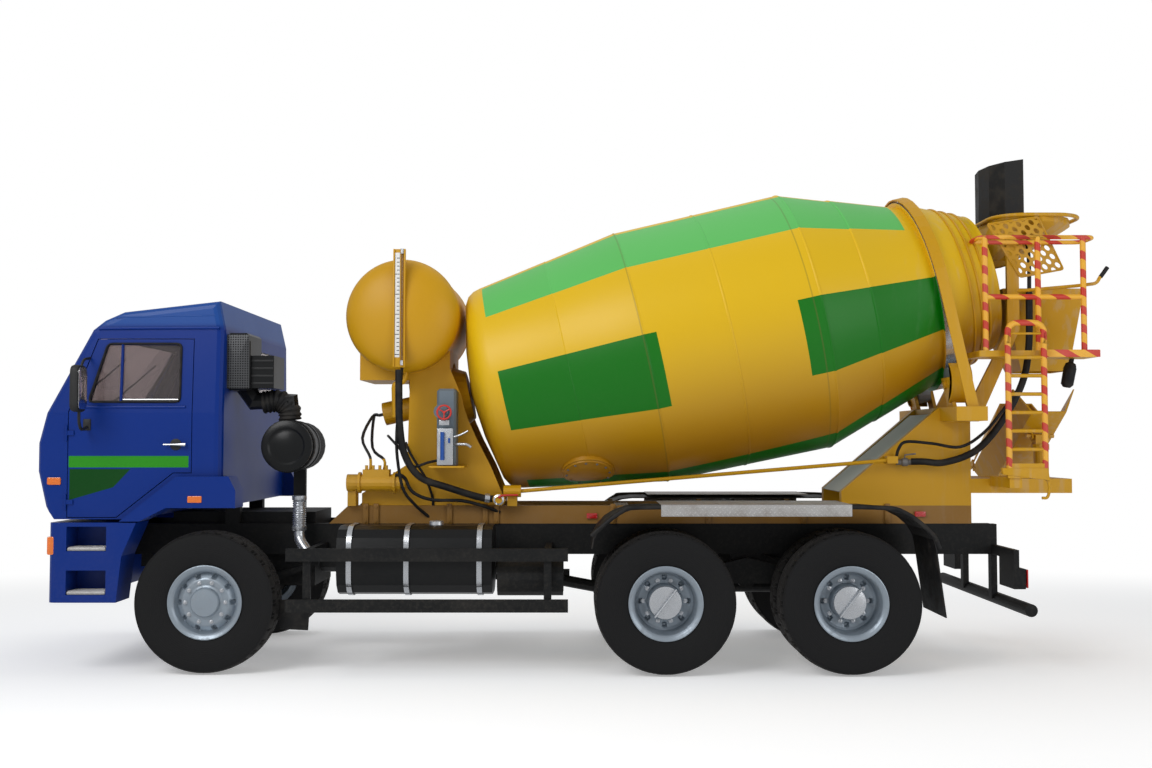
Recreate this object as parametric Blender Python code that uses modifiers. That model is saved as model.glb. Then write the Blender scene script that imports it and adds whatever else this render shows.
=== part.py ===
# Concrete mixer truck with three axles.
# X runs from the front (-) to the rear (+), Y from the left side (-) to the right (+), Z is up.
# Places along X are measured from the front axle, heights from the ground, all in metres.

import math

import bmesh
import bpy
from mathutils import Matrix, Vector

# Whole vehicle
FRONT_AXLE_X = -2.962       # puts the origin under the middle of the whole vehicle
WHEELBASE = 3.60            # front axle to middle axle
BOGIE_SPACING = 1.44        # middle axle to rear axle
TYRE_RADIUS = 0.555         # hub height under load
TYRE_WIDTH = 0.31
FRONT_TRACK = 2.04          # between the middles of the front tyres
TWIN_TRACK = 1.85           # between the middles of the twin pairs
TWIN_SPACING = 0.34         # between the two tyres of a pair
SEAT_GAP = 0.0003           # left between touching pieces
RUNNING_GAP = 0.006         # left between pieces that move past each other
PIN_GAP = 0.001             # left round a pin in its eye
OVERRUN = 0.05              # how far a cutter passes its target
FUSE = 0.004                # how deep a welded piece sinks into what carries it

MIDDLE_AXLE_X = WHEELBASE
REAR_AXLE_X = WHEELBASE + BOGIE_SPACING
HUB_Z = TYRE_RADIUS

# Facets
TYRE_STEPS = 24
DRUM_STEPS = 40
BIG_SIDES = 24
ROUND_SIDES = 16
PIPE_SIDES = 12
SMALL_SIDES = 8
CORNER_SEGMENTS = 3

SIDES = {"left": -1, "right": 1}

# Colours as written: name, red, green, blue, roughness, metallic
PAINTS = {
    "cab_blue": (0.012, 0.075, 0.40, 0.30, 0.0),
    "mixer_yellow": (0.90, 0.50, 0.03, 0.38, 0.0),
    "chassis_black": (0.012, 0.013, 0.015, 0.60, 0.0),
    "rubber_black": (0.016, 0.016, 0.018, 0.85, 0.0),
    "rim_silver": (0.45, 0.50, 0.56, 0.40, 0.7),
    "glass_tint": (0.10, 0.12, 0.13, 0.08, 0.0),
    "trim_grey": (0.20, 0.19, 0.20, 0.75, 0.0),
    "plate_metal": (0.55, 0.57, 0.60, 0.40, 0.9),
    "box_grey": (0.22, 0.30, 0.38, 0.50, 0.1),
}


def clear_scene():
    """Remove what the file opened with."""
    for obj in list(bpy.data.objects):
        bpy.data.objects.remove(obj, do_unlink=True)


clear_scene()

PARTS = bpy.data.collections.new("concrete_mixer_truck")
BENCH = bpy.data.collections.new("cutters")
bpy.context.scene.collection.children.link(PARTS)
bpy.context.scene.collection.children.link(BENCH)

VEHICLE = bpy.data.objects.new("vehicle_frame", None)
PARTS.objects.link(VEHICLE)
VEHICLE.location = (FRONT_AXLE_X, 0, 0)


def paint(name):
    """The material of that name, made on its first use."""
    material = bpy.data.materials.get(name)
    if material is None:
        red, green, blue, roughness, metallic = PAINTS[name]
        material = bpy.data.materials.new(name)
        material.use_nodes = True
        shader = material.node_tree.nodes["Principled BSDF"]
        shader.inputs["Base Color"].default_value = (red, green, blue, 1)
        shader.inputs["Roughness"].default_value = roughness
        shader.inputs["Metallic"].default_value = metallic
        material.diffuse_color = (red, green, blue, 1)
    return material


def on_bench(mesh_or_curve, name="piece"):
    """Put a piece of work on the bench, hidden from renders."""
    obj = bpy.data.objects.new(name, mesh_or_curve)
    BENCH.objects.link(obj)
    obj.hide_render = True
    obj.display_type = "WIRE"
    return obj


def from_bmesh(work):
    """A bench object from a bmesh."""
    mesh = bpy.data.meshes.new("piece")
    work.to_mesh(mesh)
    work.free()
    return on_bench(mesh)


def settle(obj):
    """Apply an object's modifiers and its place, so that its mesh is in vehicle coordinates."""
    bpy.context.view_layer.update()
    graph = bpy.context.evaluated_depsgraph_get()
    mesh = bpy.data.meshes.new_from_object(obj.evaluated_get(graph))
    mesh.transform(obj.matrix_world)
    work = bmesh.new()
    work.from_mesh(mesh)
    bmesh.ops.remove_doubles(work, verts=work.verts, dist=MERGE)
    work.to_mesh(mesh)
    work.free()
    bpy.data.objects.remove(obj, do_unlink=True)
    return on_bench(mesh)


MERGE = 0.00005             # corners closer than this are one


def box(low, high):
    """A box between two corners."""
    work = bmesh.new()
    bmesh.ops.create_cube(work, size=1)
    low, high = Vector(low), Vector(high)
    size = high - low
    bmesh.ops.scale(work, vec=size, verts=work.verts)
    bmesh.ops.translate(work, vec=(low + high) / 2, verts=work.verts)
    return from_bmesh(work)


def rounded_box(low, high, radius, segments=2, along=None):
    """A box whose edges are rounded, all of them or only those along one axis (0, 1 or 2)."""
    obj = box(low, high)
    work = bmesh.new()
    work.from_mesh(obj.data)
    edges = list(work.edges)
    if along is not None:
        edges = [e for e in edges
                 if abs((e.verts[1].co - e.verts[0].co).normalized()[along]) > DIRECTION_SHARE]
    bmesh.ops.bevel(work, geom=edges, offset=radius, segments=segments, profile=HALF_SHARE, affect="EDGES")
    work.to_mesh(obj.data)
    work.free()
    return obj


DIRECTION_SHARE = 0.9       # how straight an edge lies along an axis to count as along it
HALF_SHARE = 0.5


def rod(start, end, radius, sides=ROUND_SIDES, end_radius=None):
    """A cylinder or cone from one point to another."""
    start, end = Vector(start), Vector(end)
    work = bmesh.new()
    bmesh.ops.create_cone(work, cap_ends=True, segments=sides, radius1=radius,
                          radius2=radius if end_radius is None else end_radius,
                          depth=(end - start).length)
    turn = Vector((0, 0, 1)).rotation_difference(end - start).to_matrix().to_4x4()
    bmesh.ops.transform(work, matrix=Matrix.Translation((start + end) / 2) @ turn, verts=work.verts)
    return from_bmesh(work)


def turned(profile, centre, axis, steps, on_flat=False):
    """A solid turned about an axis: the profile's points are (radius, place along the axis),
    from the far end of the axis down its outer side; it ends on the axis or closes on itself.
    On a flat, its facets lie at the radius given and one of them faces down."""
    mesh = bpy.data.meshes.new("profile")
    half_step = math.pi / steps if on_flat else 0
    grow = 1 / math.cos(half_step)
    points = [(radius * grow * math.cos(half_step), radius * grow * math.sin(half_step), along)
              for radius, along in profile]
    count = len(points)
    edges = [(i, (i + 1) % count) for i in range(count)
             if profile[i][0] > 0 or profile[(i + 1) % count][0] > 0]
    mesh.from_pydata(points, edges, [])
    obj = on_bench(mesh)
    screw = obj.modifiers.new("turn", "SCREW")
    screw.steps = steps
    screw.render_steps = steps
    screw.use_merge_vertices = True
    screw.merge_threshold = MERGE
    screw.use_normal_calculate = True
    turn = Vector((0, 0, 1)).rotation_difference(Vector(axis)).to_matrix().to_4x4()
    obj.matrix_world = Matrix.Translation(Vector(centre)) @ turn
    return face_out(settle(obj))


def face_out(obj):
    """Turn every face of a closed solid outwards."""
    work = bmesh.new()
    work.from_mesh(obj.data)
    bmesh.ops.recalc_face_normals(work, faces=work.faces)
    if work.calc_volume(signed=True) < 0:
        bmesh.ops.reverse_faces(work, faces=work.faces)
    work.to_mesh(obj.data)
    work.free()
    return obj


def plate(outline, low, high, across="y"):
    """A flat outline made thick: (x, z) points across Y, (x, y) points across Z, (y, z) across X."""
    curve = bpy.data.curves.new("outline", "CURVE")
    curve.dimensions = "2D"
    curve.fill_mode = "BOTH"
    curve.extrude = (high - low) / 2
    spline = curve.splines.new("POLY")
    spline.points.add(len(outline) - 1)
    for point, (first, second) in zip(spline.points, outline):
        point.co = (first, second, 0, 1)
    spline.use_cyclic_u = True
    obj = on_bench(curve)
    middle = (low + high) / 2
    turns = {
        "z": Matrix.Translation((0, 0, middle)),
        "y": Matrix.Translation((0, middle, 0)) @ Matrix.Rotation(math.pi / 2, 4, "X"),
        "x": Matrix.Translation((middle, 0, 0)) @ Matrix(((0, 0, 1, 0), (1, 0, 0, 0),
                                                         (0, 1, 0, 0), (0, 0, 0, 1))),
    }
    obj.matrix_world = turns[across]
    return face_out(settle(obj))


def tube(points, radius, closed=False, sides_step=1, smooth=False):
    """A round bar or hose along points; sides_step 1 gives six sides, 2 gives eight."""
    curve = bpy.data.curves.new("tube", "CURVE")
    curve.dimensions = "3D"
    curve.bevel_depth = radius
    curve.bevel_resolution = sides_step
    curve.use_fill_caps = True
    route = smooth_route(points) if smooth else points
    spline = curve.splines.new("POLY")
    spline.points.add(len(route) - 1)
    for point, place in zip(spline.points, route):
        point.co = (*place, 1)
    spline.use_cyclic_u = closed
    return face_out(settle(on_bench(curve)))


ROUTE_STEPS = 4


def smooth_route(points):
    """A smooth curve through the points: each stretch eased by its neighbours."""
    places = [Vector(p) for p in points]
    route = []
    for i in range(len(places) - 1):
        before = places[max(i - 1, 0)]
        after = places[min(i + 2, len(places) - 1)]
        start, end = places[i], places[i + 1]
        for step in range(ROUTE_STEPS):
            t = step / ROUTE_STEPS
            lead_in, lead_out = (end - before) / 2, (after - start) / 2
            route.append(start * (2 * t ** 3 - 3 * t ** 2 + 1) + lead_in * (t ** 3 - 2 * t ** 2 + t)
                         + end * (3 * t ** 2 - 2 * t ** 3) + lead_out * (t ** 3 - t ** 2))
    route.append(places[-1])
    return route


def combine(base, others, operation):
    """Boolean the others into the base, one by one, and use them up."""
    for other in others:
        modifier = base.modifiers.new(operation.lower(), "BOOLEAN")
        modifier.operation = operation
        modifier.solver = "EXACT"
        modifier.object = other
        base = settle(base)
        bpy.data.objects.remove(other, do_unlink=True)
    return base


def union(*pieces):
    return combine(pieces[0], pieces[1:], "UNION")


def cut(base, *cutters):
    return combine(base, cutters, "DIFFERENCE")


def overlap(base, other):
    return combine(base, [other], "INTERSECT")


def copy_of(obj):
    return on_bench(obj.data.copy())


def mirrored(obj):
    """A copy on the other side of the vehicle."""
    twin = copy_of(obj)
    twin.data.transform(Matrix.Scale(-1, 4, (0, 1, 0)))
    twin.data.flip_normals()
    return twin


def on_side(obj, side):
    """The piece, drawn for the left side, moved to the side asked for."""
    if side == "left":
        return obj
    twin = mirrored(obj)
    bpy.data.objects.remove(obj, do_unlink=True)
    return twin


def both_sides(obj):
    """The piece and its mirror image."""
    return [obj, mirrored(obj)]


def node(name, obj, finish, pivot=(0, 0, 0)):
    """Hand a finished solid over as a named piece, with its origin on its joint's axis."""
    obj.data.transform(Matrix.Translation(-Vector(pivot)))
    obj.name = name
    obj.data.name = name
    obj.data.materials.clear()
    obj.data.materials.append(paint(finish))
    BENCH.objects.unlink(obj)
    PARTS.objects.link(obj)
    obj.hide_render = False
    obj.display_type = "TEXTURED"
    obj.parent = VEHICLE
    obj.location = pivot
    obj.data.shade_smooth()
    obj.data.set_sharp_from_angle(angle=math.radians(SHARP_DEG))
    return obj


SHARP_DEG = 35


# Frame rails
RAIL_OUTER_Y = 0.43         # outer face of a rail
RAIL_FLANGE = 0.08
RAIL_WEB = 0.012
RAIL_TOP_Z = 1.125
RAIL_DEPTH = 0.255
RAIL_FRONT_X = -1.00
RAIL_REAR_X = 6.38
CROSS_WIDTH = 0.12
CROSS_DEPTH = 0.16
CROSS_MEMBER_X = (RAIL_FRONT_X + CROSS_WIDTH, 1.55, 2.55, 4.32, RAIL_REAR_X - CROSS_WIDTH)

# Cab outline, side view
CAB_HALF_WIDTH = 1.15
CAB_FLOOR_Z = 1.205         # underside at the doors
CAB_ARCH_Z = 1.30           # underside over the wheels
CAB_REAR_X = 0.12
CAB_NOSE_X = -1.33          # front-most line
NOSE_TOP_Z = 1.80
CAB_NOSE_Z = 1.58
NOSE_LOW_X = -1.27          # the front panel bends under here
NOSE_LOW_Z = 1.32
CAB_CHIN_X = -1.185         # front panel's bottom
CAB_BELT_X = -1.27          # windscreen's foot
CAB_BELT_Z = 2.04
CAB_BROW_X = -0.93          # windscreen's head
GUTTER_Z = 2.70
ROOF_TURN_X = -0.838        # the roof's front bends here
ROOF_TURN_Z = 2.775
ROOF_FRONT_X = -0.690
ROOF_FRONT_Z = 2.842
ROOF_REAR_Z = 2.93
CAB_WALL = 0.05
FOOTWELL_REAR_X = -0.56
ARCH_START_X = -0.40
CAB_PIVOT_X = -1.19
CAB_PIVOT_Z = 1.19

# Bumper and steps
BUMPER_FRONT_X = -1.215
BUMPER_REAR_X = -1.04
BUMPER_TOP_Z = 1.18
BUMPER_LOW_Z = 0.56
BUMPER_PROUD = 0.04         # how far the bumper stands out past the cab's side
BUMPER_HALF_WIDTH = CAB_HALF_WIDTH + BUMPER_PROUD
STEP_DEPTH = 0.31
STEP_INNER_Y = BUMPER_HALF_WIDTH - STEP_DEPTH
STEP_REAR_LOW_X = -0.68
STEP_REAR_MIDDLE_X = -0.64
STEP_REAR_TOP_X = -0.53
STEP_MIDDLE_Z = 0.92


def frame_rails():
    """Two channel rails, open inwards, with cross-members, cab supports and hanger feet."""
    low = RAIL_TOP_Z - RAIL_DEPTH
    rail = box((RAIL_FRONT_X, -RAIL_OUTER_Y, low), (RAIL_REAR_X, -RAIL_OUTER_Y + RAIL_FLANGE, RAIL_TOP_Z))
    rails = both_sides(rail)
    cross_z = RAIL_TOP_Z - RAIL_DEPTH / 2
    inner = RAIL_OUTER_Y - RAIL_FLANGE + FUSE
    members = [box((x - CROSS_WIDTH / 2, -inner, cross_z - CROSS_DEPTH / 2),
                   (x + CROSS_WIDTH / 2, inner, cross_z + CROSS_DEPTH / 2)) for x in CROSS_MEMBER_X]
    front_horn = box((BUMPER_REAR_X + SEAT_GAP, -RAIL_OUTER_Y, CAB_FRONT_MOUNT_LOW_Z),
                     (CAB_FRONT_MOUNT_X, -RAIL_OUTER_Y + RAIL_FLANGE, CAB_FLOOR_Z - SEAT_GAP))
    rear_post = box((CAB_REAR_MOUNT_X - CROSS_WIDTH / 2, -RAIL_OUTER_Y, RAIL_TOP_Z - FUSE),
                    (CAB_REAR_MOUNT_X + CROSS_WIDTH / 2, -RAIL_OUTER_Y + RAIL_FLANGE, CAB_ARCH_Z - SEAT_GAP))
    body = union(rails[0], *members, rails[1], *both_sides(front_horn), *both_sides(rear_post))
    return node("frame_rails", body, "chassis_black")


CAB_FRONT_MOUNT_X = -0.90
CAB_FRONT_MOUNT_LOW_Z = 1.00
CAB_REAR_MOUNT_X = 0.02

# Subframe
SUBFRAME_FRONT_X = 0.83
SUBFRAME_SLANT = 0.16
SUBFRAME_REAR_X = 6.22
SUBFRAME_HEIGHT = 0.15
SUBFRAME_TOP_Z = RAIL_TOP_Z + SEAT_GAP + SUBFRAME_HEIGHT
SUBFRAME_CROSS_X = (1.30, 2.20, 3.30, 4.32, 5.60)


def subframe():
    """The ochre frame that carries the mixer, laid on the rails, its front ends slanted."""
    low = RAIL_TOP_Z + SEAT_GAP
    outline = [(SUBFRAME_FRONT_X, low), (SUBFRAME_REAR_X, low), (SUBFRAME_REAR_X, SUBFRAME_TOP_Z),
               (SUBFRAME_FRONT_X + SUBFRAME_SLANT, SUBFRAME_TOP_Z)]
    rail = plate(outline, -RAIL_OUTER_Y, -RAIL_OUTER_Y + RAIL_FLANGE)
    inner = RAIL_OUTER_Y - RAIL_FLANGE + FUSE
    members = [box((x - CROSS_WIDTH / 2, -inner, low + RAIL_WEB),
                   (x + CROSS_WIDTH / 2, inner, SUBFRAME_TOP_Z - RAIL_WEB)) for x in SUBFRAME_CROSS_X]
    rails = both_sides(rail)
    return node("subframe", union(rails[0], *members, rails[1]), "mixer_yellow")


LAMP_RECESS = 0.03
LAMP_WIDTH = 0.34
LAMP_LOW_Z = 0.78
LAMP_HIGH_Z = 0.98
LAMP_INNER_Y = 0.66
TREAD_Z = (0.62, 0.96)
TREAD_RECESS = 0.24
TREAD_OPENING = 0.19
TREAD_FRONT_X = -1.07
TREAD_REAR_X = -0.76
BUMPER_CORNER = 0.06


def bumper_steps():
    """The bumper with a step unit at each end; the steps are recessed into its sides."""
    beam = rounded_box((BUMPER_FRONT_X, -BUMPER_HALF_WIDTH, BUMPER_LOW_Z),
                       (BUMPER_REAR_X, BUMPER_HALF_WIDTH, BUMPER_TOP_Z), BUMPER_CORNER,
                       CORNER_SEGMENTS, along=2)
    outline = [(BUMPER_REAR_X - BUMPER_CORNER, BUMPER_LOW_Z), (STEP_REAR_LOW_X, BUMPER_LOW_Z),
               (STEP_REAR_MIDDLE_X, STEP_MIDDLE_Z), (STEP_REAR_TOP_X, BUMPER_TOP_Z),
               (BUMPER_REAR_X - BUMPER_CORNER, BUMPER_TOP_Z)]
    unit = plate(outline, -BUMPER_HALF_WIDTH, -STEP_INNER_Y)
    recesses = [box((TREAD_FRONT_X, -BUMPER_HALF_WIDTH - OVERRUN, z),
                    (TREAD_REAR_X, -BUMPER_HALF_WIDTH + TREAD_RECESS, z + TREAD_OPENING)) for z in TREAD_Z]
    lamp = box((BUMPER_FRONT_X - OVERRUN, -LAMP_INNER_Y - LAMP_WIDTH, LAMP_LOW_Z),
               (BUMPER_FRONT_X + LAMP_RECESS, -LAMP_INNER_Y, LAMP_HIGH_Z))
    body = union(beam, *both_sides(unit))
    cutters = []
    for cutter in recesses + [lamp]:
        cutters += both_sides(cutter)
    return node("bumper_steps", cut(body, *cutters), "cab_blue")


# Front axle, knuckles and wheels
KINGPIN_INSET = 0.22
KINGPIN_Y = FRONT_TRACK / 2 - KINGPIN_INSET
EYE_RADIUS = 0.05
EYE_HALF_HEIGHT = 0.07
LUG_HEIGHT = 0.05
BEAM_WIDTH = 0.09
BEAM_DEPTH = 0.10
BEAM_DROP = 0.09
SPRING_Y = 0.39
SPRING_WIDTH = 0.08
SPRING_LENGTH = 1.40
SPRING_THICK = 0.075
SPRING_CAMBER = 0.10
SPINDLE_RADIUS = 0.045
KNUCKLE_WEB = 0.03
BRAKE_RADIUS = 0.19
BRAKE_DEPTH = 0.09
BEAM_DROP_INSET = 0.18
BEAM_DROP_Y = KINGPIN_Y - BEAM_DROP_INSET


def leaf_spring(x, z_eye, z_seat, length, y, thick):
    """A leaf pack seen from the side: a bowed bar, thick in the middle, thin at its eyes."""
    stations = [(-length / 2, z_eye, thick * LEAF_END_SHARE),
                (-length / 2 * QUARTER_SHARE, (z_eye + z_seat) / 2, thick), (0, z_seat, thick)]
    stations += [(-along, low, depth) for along, low, depth in stations[1::-1]]
    outline = [(x + along, low) for along, low, depth in stations]
    outline += [(x + along, low + depth) for along, low, depth in reversed(stations)]
    return plate(outline, y - SPRING_WIDTH / 2, y + SPRING_WIDTH / 2)


LEAF_END_SHARE = 0.33       # the leaf pack's thickness at its eyes
QUARTER_SHARE = 0.55        # where the leaf pack steps down, as a share of its half length


def front_axle():
    """A dropped I-beam with kingpin eyes, the two leaf springs on it and their hangers."""
    z = HUB_Z - BEAM_DROP
    end_z = HUB_Z
    half = BEAM_DEPTH / 2
    level = KINGPIN_Y - EYE_RADIUS - 2 * RUNNING_GAP
    end = KINGPIN_Y - EYE_RADIUS * HALF_SHARE
    right = [(BEAM_DROP_Y, z - half), (level, end_z - half), (end, end_z - half), (end, end_z + half),
             (level, end_z + half), (BEAM_DROP_Y - BEAM_DROP, z + half)]
    outline = right + [(-y, up) for y, up in reversed(right)]
    beam = plate(outline, -BEAM_WIDTH / 2, BEAM_WIDTH / 2, across="x")
    eye = rod((0, -KINGPIN_Y, end_z - EYE_HALF_HEIGHT), (0, -KINGPIN_Y, end_z + EYE_HALF_HEIGHT), EYE_RADIUS)
    seat_z = z + half - FUSE
    eye_z = RAIL_TOP_Z - RAIL_DEPTH - SPRING_CAMBER
    spring = leaf_spring(0, eye_z, seat_z, SPRING_LENGTH, -SPRING_Y, SPRING_THICK)
    hangers = [box((x - SPRING_WIDTH / 2, -SPRING_Y - SPRING_WIDTH / 2, eye_z),
                   (x + SPRING_WIDTH / 2, -SPRING_Y + SPRING_WIDTH / 2, RAIL_TOP_Z - RAIL_DEPTH - SEAT_GAP))
               for x in (-SPRING_LENGTH / 2, SPRING_LENGTH / 2)]
    side = union(spring, *hangers)
    return node("front_axle", union(beam, *both_sides(eye), *both_sides(side)), "chassis_black")


def knuckle(side):
    """A forked knuckle round the beam's eye, with its brake and its spindle."""
    out = -KINGPIN_Y
    lug_low = HUB_Z + EYE_HALF_HEIGHT + SEAT_GAP
    upper = rod((0, out, lug_low), (0, out, lug_low + LUG_HEIGHT), EYE_RADIUS)
    lower = rod((0, out, 2 * HUB_Z - lug_low - LUG_HEIGHT), (0, out, 2 * HUB_Z - lug_low), EYE_RADIUS)
    web_y = out - EYE_RADIUS - RUNNING_GAP
    web = box((-EYE_RADIUS, web_y - KNUCKLE_WEB, 2 * HUB_Z - lug_low - LUG_HEIGHT),
              (EYE_RADIUS, web_y, lug_low + LUG_HEIGHT))
    arms = [box((-EYE_RADIUS, web_y - KNUCKLE_WEB, low), (EYE_RADIUS, out, low + LUG_HEIGHT))
            for low in (lug_low, 2 * HUB_Z - lug_low - LUG_HEIGHT)]
    brake_y = web_y - KNUCKLE_WEB + FUSE
    brake = rod((0, brake_y, HUB_Z), (0, brake_y - BRAKE_DEPTH, HUB_Z), BRAKE_RADIUS)
    tip_y = -(FRONT_TRACK / 2 + FRONT_DISC_Y + HUB_BORE_WALL - SEAT_GAP)
    spindle = rod((0, brake_y, HUB_Z), (0, tip_y, HUB_Z), SPINDLE_RADIUS)
    body = on_side(union(web, *arms, upper, lower, brake, spindle), side)
    return node("knuckle_" + side, body, "chassis_black", (0, SIDES[side] * KINGPIN_Y, HUB_Z))


# Tyre and rim section, measured from the hub's axis and the tyre's middle
RIM_LIP_RADIUS = 0.285
RIM_WELL_RADIUS = 0.235
RIM_WALL = 0.012
BEAD_HALF_WIDTH = 0.125
SHOULDER_DROP = 0.028
SHOULDER_INSET = 0.035
SIDEWALL_BULGE_RADIUS = 0.42
DISC_WALL = 0.016
FRONT_DISC_Y = 0.075        # how far the front disc stands outside the tyre's middle
HUB_CAP_RADIUS = 0.12
HUB_CAP_HEIGHT = 0.055
HUB_BORE_WALL = 0.03
TWIN_HUB_RADIUS = 0.14


def tyre_outline(middle):
    """The tyre's outer line from its outer bead to its inner bead."""
    half = TYRE_WIDTH / 2
    return [(RIM_LIP_RADIUS, middle + BEAD_HALF_WIDTH), (SIDEWALL_BULGE_RADIUS, middle + half),
            (TYRE_RADIUS - SHOULDER_DROP, middle + half), (TYRE_RADIUS, middle + half - SHOULDER_INSET),
            (TYRE_RADIUS, middle - half + SHOULDER_INSET), (TYRE_RADIUS - SHOULDER_DROP, middle - half),
            (SIDEWALL_BULGE_RADIUS, middle - half), (RIM_LIP_RADIUS, middle - BEAD_HALF_WIDTH)]


def front_wheel(side):
    """A front wheel: its disc sits near the outside and the brake fits into it from behind."""
    disc = FRONT_DISC_Y
    bore = SPINDLE_RADIUS + PIN_GAP
    profile = ([(0, disc + HUB_CAP_HEIGHT), (HUB_CAP_RADIUS, disc + HUB_CAP_HEIGHT), (HUB_CAP_RADIUS, disc),
                (RIM_WELL_RADIUS, disc), (RIM_WELL_RADIUS + RIM_WALL, BEAD_HALF_WIDTH)]
               + tyre_outline(0)
               + [(RIM_WELL_RADIUS, -BEAD_HALF_WIDTH), (RIM_WELL_RADIUS - RIM_WALL, disc - DISC_WALL),
                  (bore + HUB_BORE_WALL, disc - DISC_WALL), (bore, disc - DISC_WALL),
                  (bore, disc + HUB_BORE_WALL), (0, disc + HUB_BORE_WALL)])
    centre = (0, -FRONT_TRACK / 2, HUB_Z)
    body = on_side(turned(profile, centre, (0, -1, 0), TYRE_STEPS, on_flat=True), side)
    return node("wheel_front_" + side, body, "rubber_black", (0, SIDES[side] * FRONT_TRACK / 2, HUB_Z))


AXLE_STUB_RADIUS = 0.07


def twin_wheel(name, x, side):
    """A pair of tyres on one hub: the outer disc is deep and the hub stands out of it."""
    outer, inner = TWIN_SPACING / 2, -TWIN_SPACING / 2
    disc = outer - BEAD_HALF_WIDTH
    bore = AXLE_STUB_RADIUS + PIN_GAP
    profile = ([(0, outer + HUB_BORE_WALL), (TWIN_HUB_RADIUS - HUB_BORE_WALL, outer + HUB_BORE_WALL),
                (TWIN_HUB_RADIUS, disc + DISC_WALL), (RIM_WELL_RADIUS - RIM_WALL, disc + DISC_WALL),
                (RIM_WELL_RADIUS, outer + BEAD_HALF_WIDTH)]
               + tyre_outline(outer) + [(RIM_LIP_RADIUS, 0)] + tyre_outline(inner)
               + [(RIM_WELL_RADIUS, inner - BEAD_HALF_WIDTH), (RIM_WELL_RADIUS - RIM_WALL, disc - DISC_WALL),
                  (bore, disc - DISC_WALL), (bore, disc), (0, disc)])
    centre = (x, -TWIN_TRACK / 2, HUB_Z)
    body = on_side(turned(profile, centre, (0, -1, 0), TYRE_STEPS, on_flat=True), side)
    return node("wheel_" + name + "_" + side, body, "rubber_black", (x, SIDES[side] * TWIN_TRACK / 2, HUB_Z))


# Rear bogie
HOUSING_RADIUS = 0.085
HOUSING_END_Y = 0.53
BANJO_RADIUS = 0.20
BANJO_HALF_WIDTH = 0.17
NOSE_LENGTH = 0.22
NOSE_RADIUS = 0.09
BOGIE_X = WHEELBASE + BOGIE_SPACING / 2
BOGIE_SPRING_Y = 0.50
BOGIE_SPRING_THICK = 0.12
TRUNNION_Z = 0.66
TRUNNION_RADIUS = 0.07
SPRING_SEAT_Z = HUB_Z + HOUSING_RADIUS - FUSE
BOGIE_SPRING_WIDTH = 0.09
SHAFT_RADIUS = 0.05


def rear_bogie():
    """Both driven axles with their banjos and brakes, carried by leaf packs on one trunnion."""
    pieces = []
    for x in (MIDDLE_AXLE_X, REAR_AXLE_X):
        end = TWIN_TRACK / 2 + TWIN_SPACING / 2 - BEAD_HALF_WIDTH - SEAT_GAP
        pieces.append(rod((x, -end, HUB_Z), (x, end, HUB_Z), AXLE_STUB_RADIUS))
        pieces.append(rod((x, -HOUSING_END_Y, HUB_Z), (x, HOUSING_END_Y, HUB_Z), HOUSING_RADIUS))
        pieces.append(rod((x, -BANJO_HALF_WIDTH, HUB_Z), (x, BANJO_HALF_WIDTH, HUB_Z), BANJO_RADIUS))
        pieces.append(rod((x - BANJO_RADIUS - NOSE_LENGTH, 0, HUB_Z), (x, 0, HUB_Z), NOSE_RADIUS,
                          end_radius=BANJO_RADIUS * HALF_SHARE))
    pieces.append(rod((MIDDLE_AXLE_X, 0, HUB_Z), (REAR_AXLE_X, 0, HUB_Z), SHAFT_RADIUS))
    half = BOGIE_SPACING / 2
    low, top = SPRING_SEAT_Z, TRUNNION_Z + TRUNNION_RADIUS
    outline = [(BOGIE_X - half - BOGIE_SPRING_THICK, low), (BOGIE_X + half + BOGIE_SPRING_THICK, low),
               (BOGIE_X + half, low + BOGIE_SPRING_THICK / 2),
               (BOGIE_X + half * QUARTER_SHARE, low + BOGIE_SPRING_THICK),
               (BOGIE_X, top + BOGIE_SPRING_THICK),
               (BOGIE_X - half * QUARTER_SHARE, low + BOGIE_SPRING_THICK),
               (BOGIE_X - half, low + BOGIE_SPRING_THICK / 2)]
    leaf_y = BOGIE_SPRING_WIDTH / 2
    spring = plate(outline, -BOGIE_SPRING_Y - leaf_y, -BOGIE_SPRING_Y + leaf_y)
    pieces += both_sides(spring)
    pieces.append(rod((BOGIE_X, -BOGIE_SPRING_Y, TRUNNION_Z), (BOGIE_X, BOGIE_SPRING_Y, TRUNNION_Z),
                      TRUNNION_RADIUS))
    bracket = box((BOGIE_X - CROSS_WIDTH, -RAIL_OUTER_Y, TRUNNION_Z),
                  (BOGIE_X + CROSS_WIDTH, -RAIL_OUTER_Y + RAIL_FLANGE, RAIL_TOP_Z - RAIL_DEPTH - SEAT_GAP))
    pieces += both_sides(bracket)
    return node("rear_bogie", union(*pieces), "chassis_black")


# Engine and transmission
ENGINE_FRONT_X = -0.50
ENGINE_REAR_X = 0.70
ENGINE_LOW_Z = 0.60
ENGINE_TOP_Z = 1.22
GEARBOX_REAR_X = 1.35
GEARBOX_RADIUS = 0.17
SHAFT_START_Z = 0.85


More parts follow.
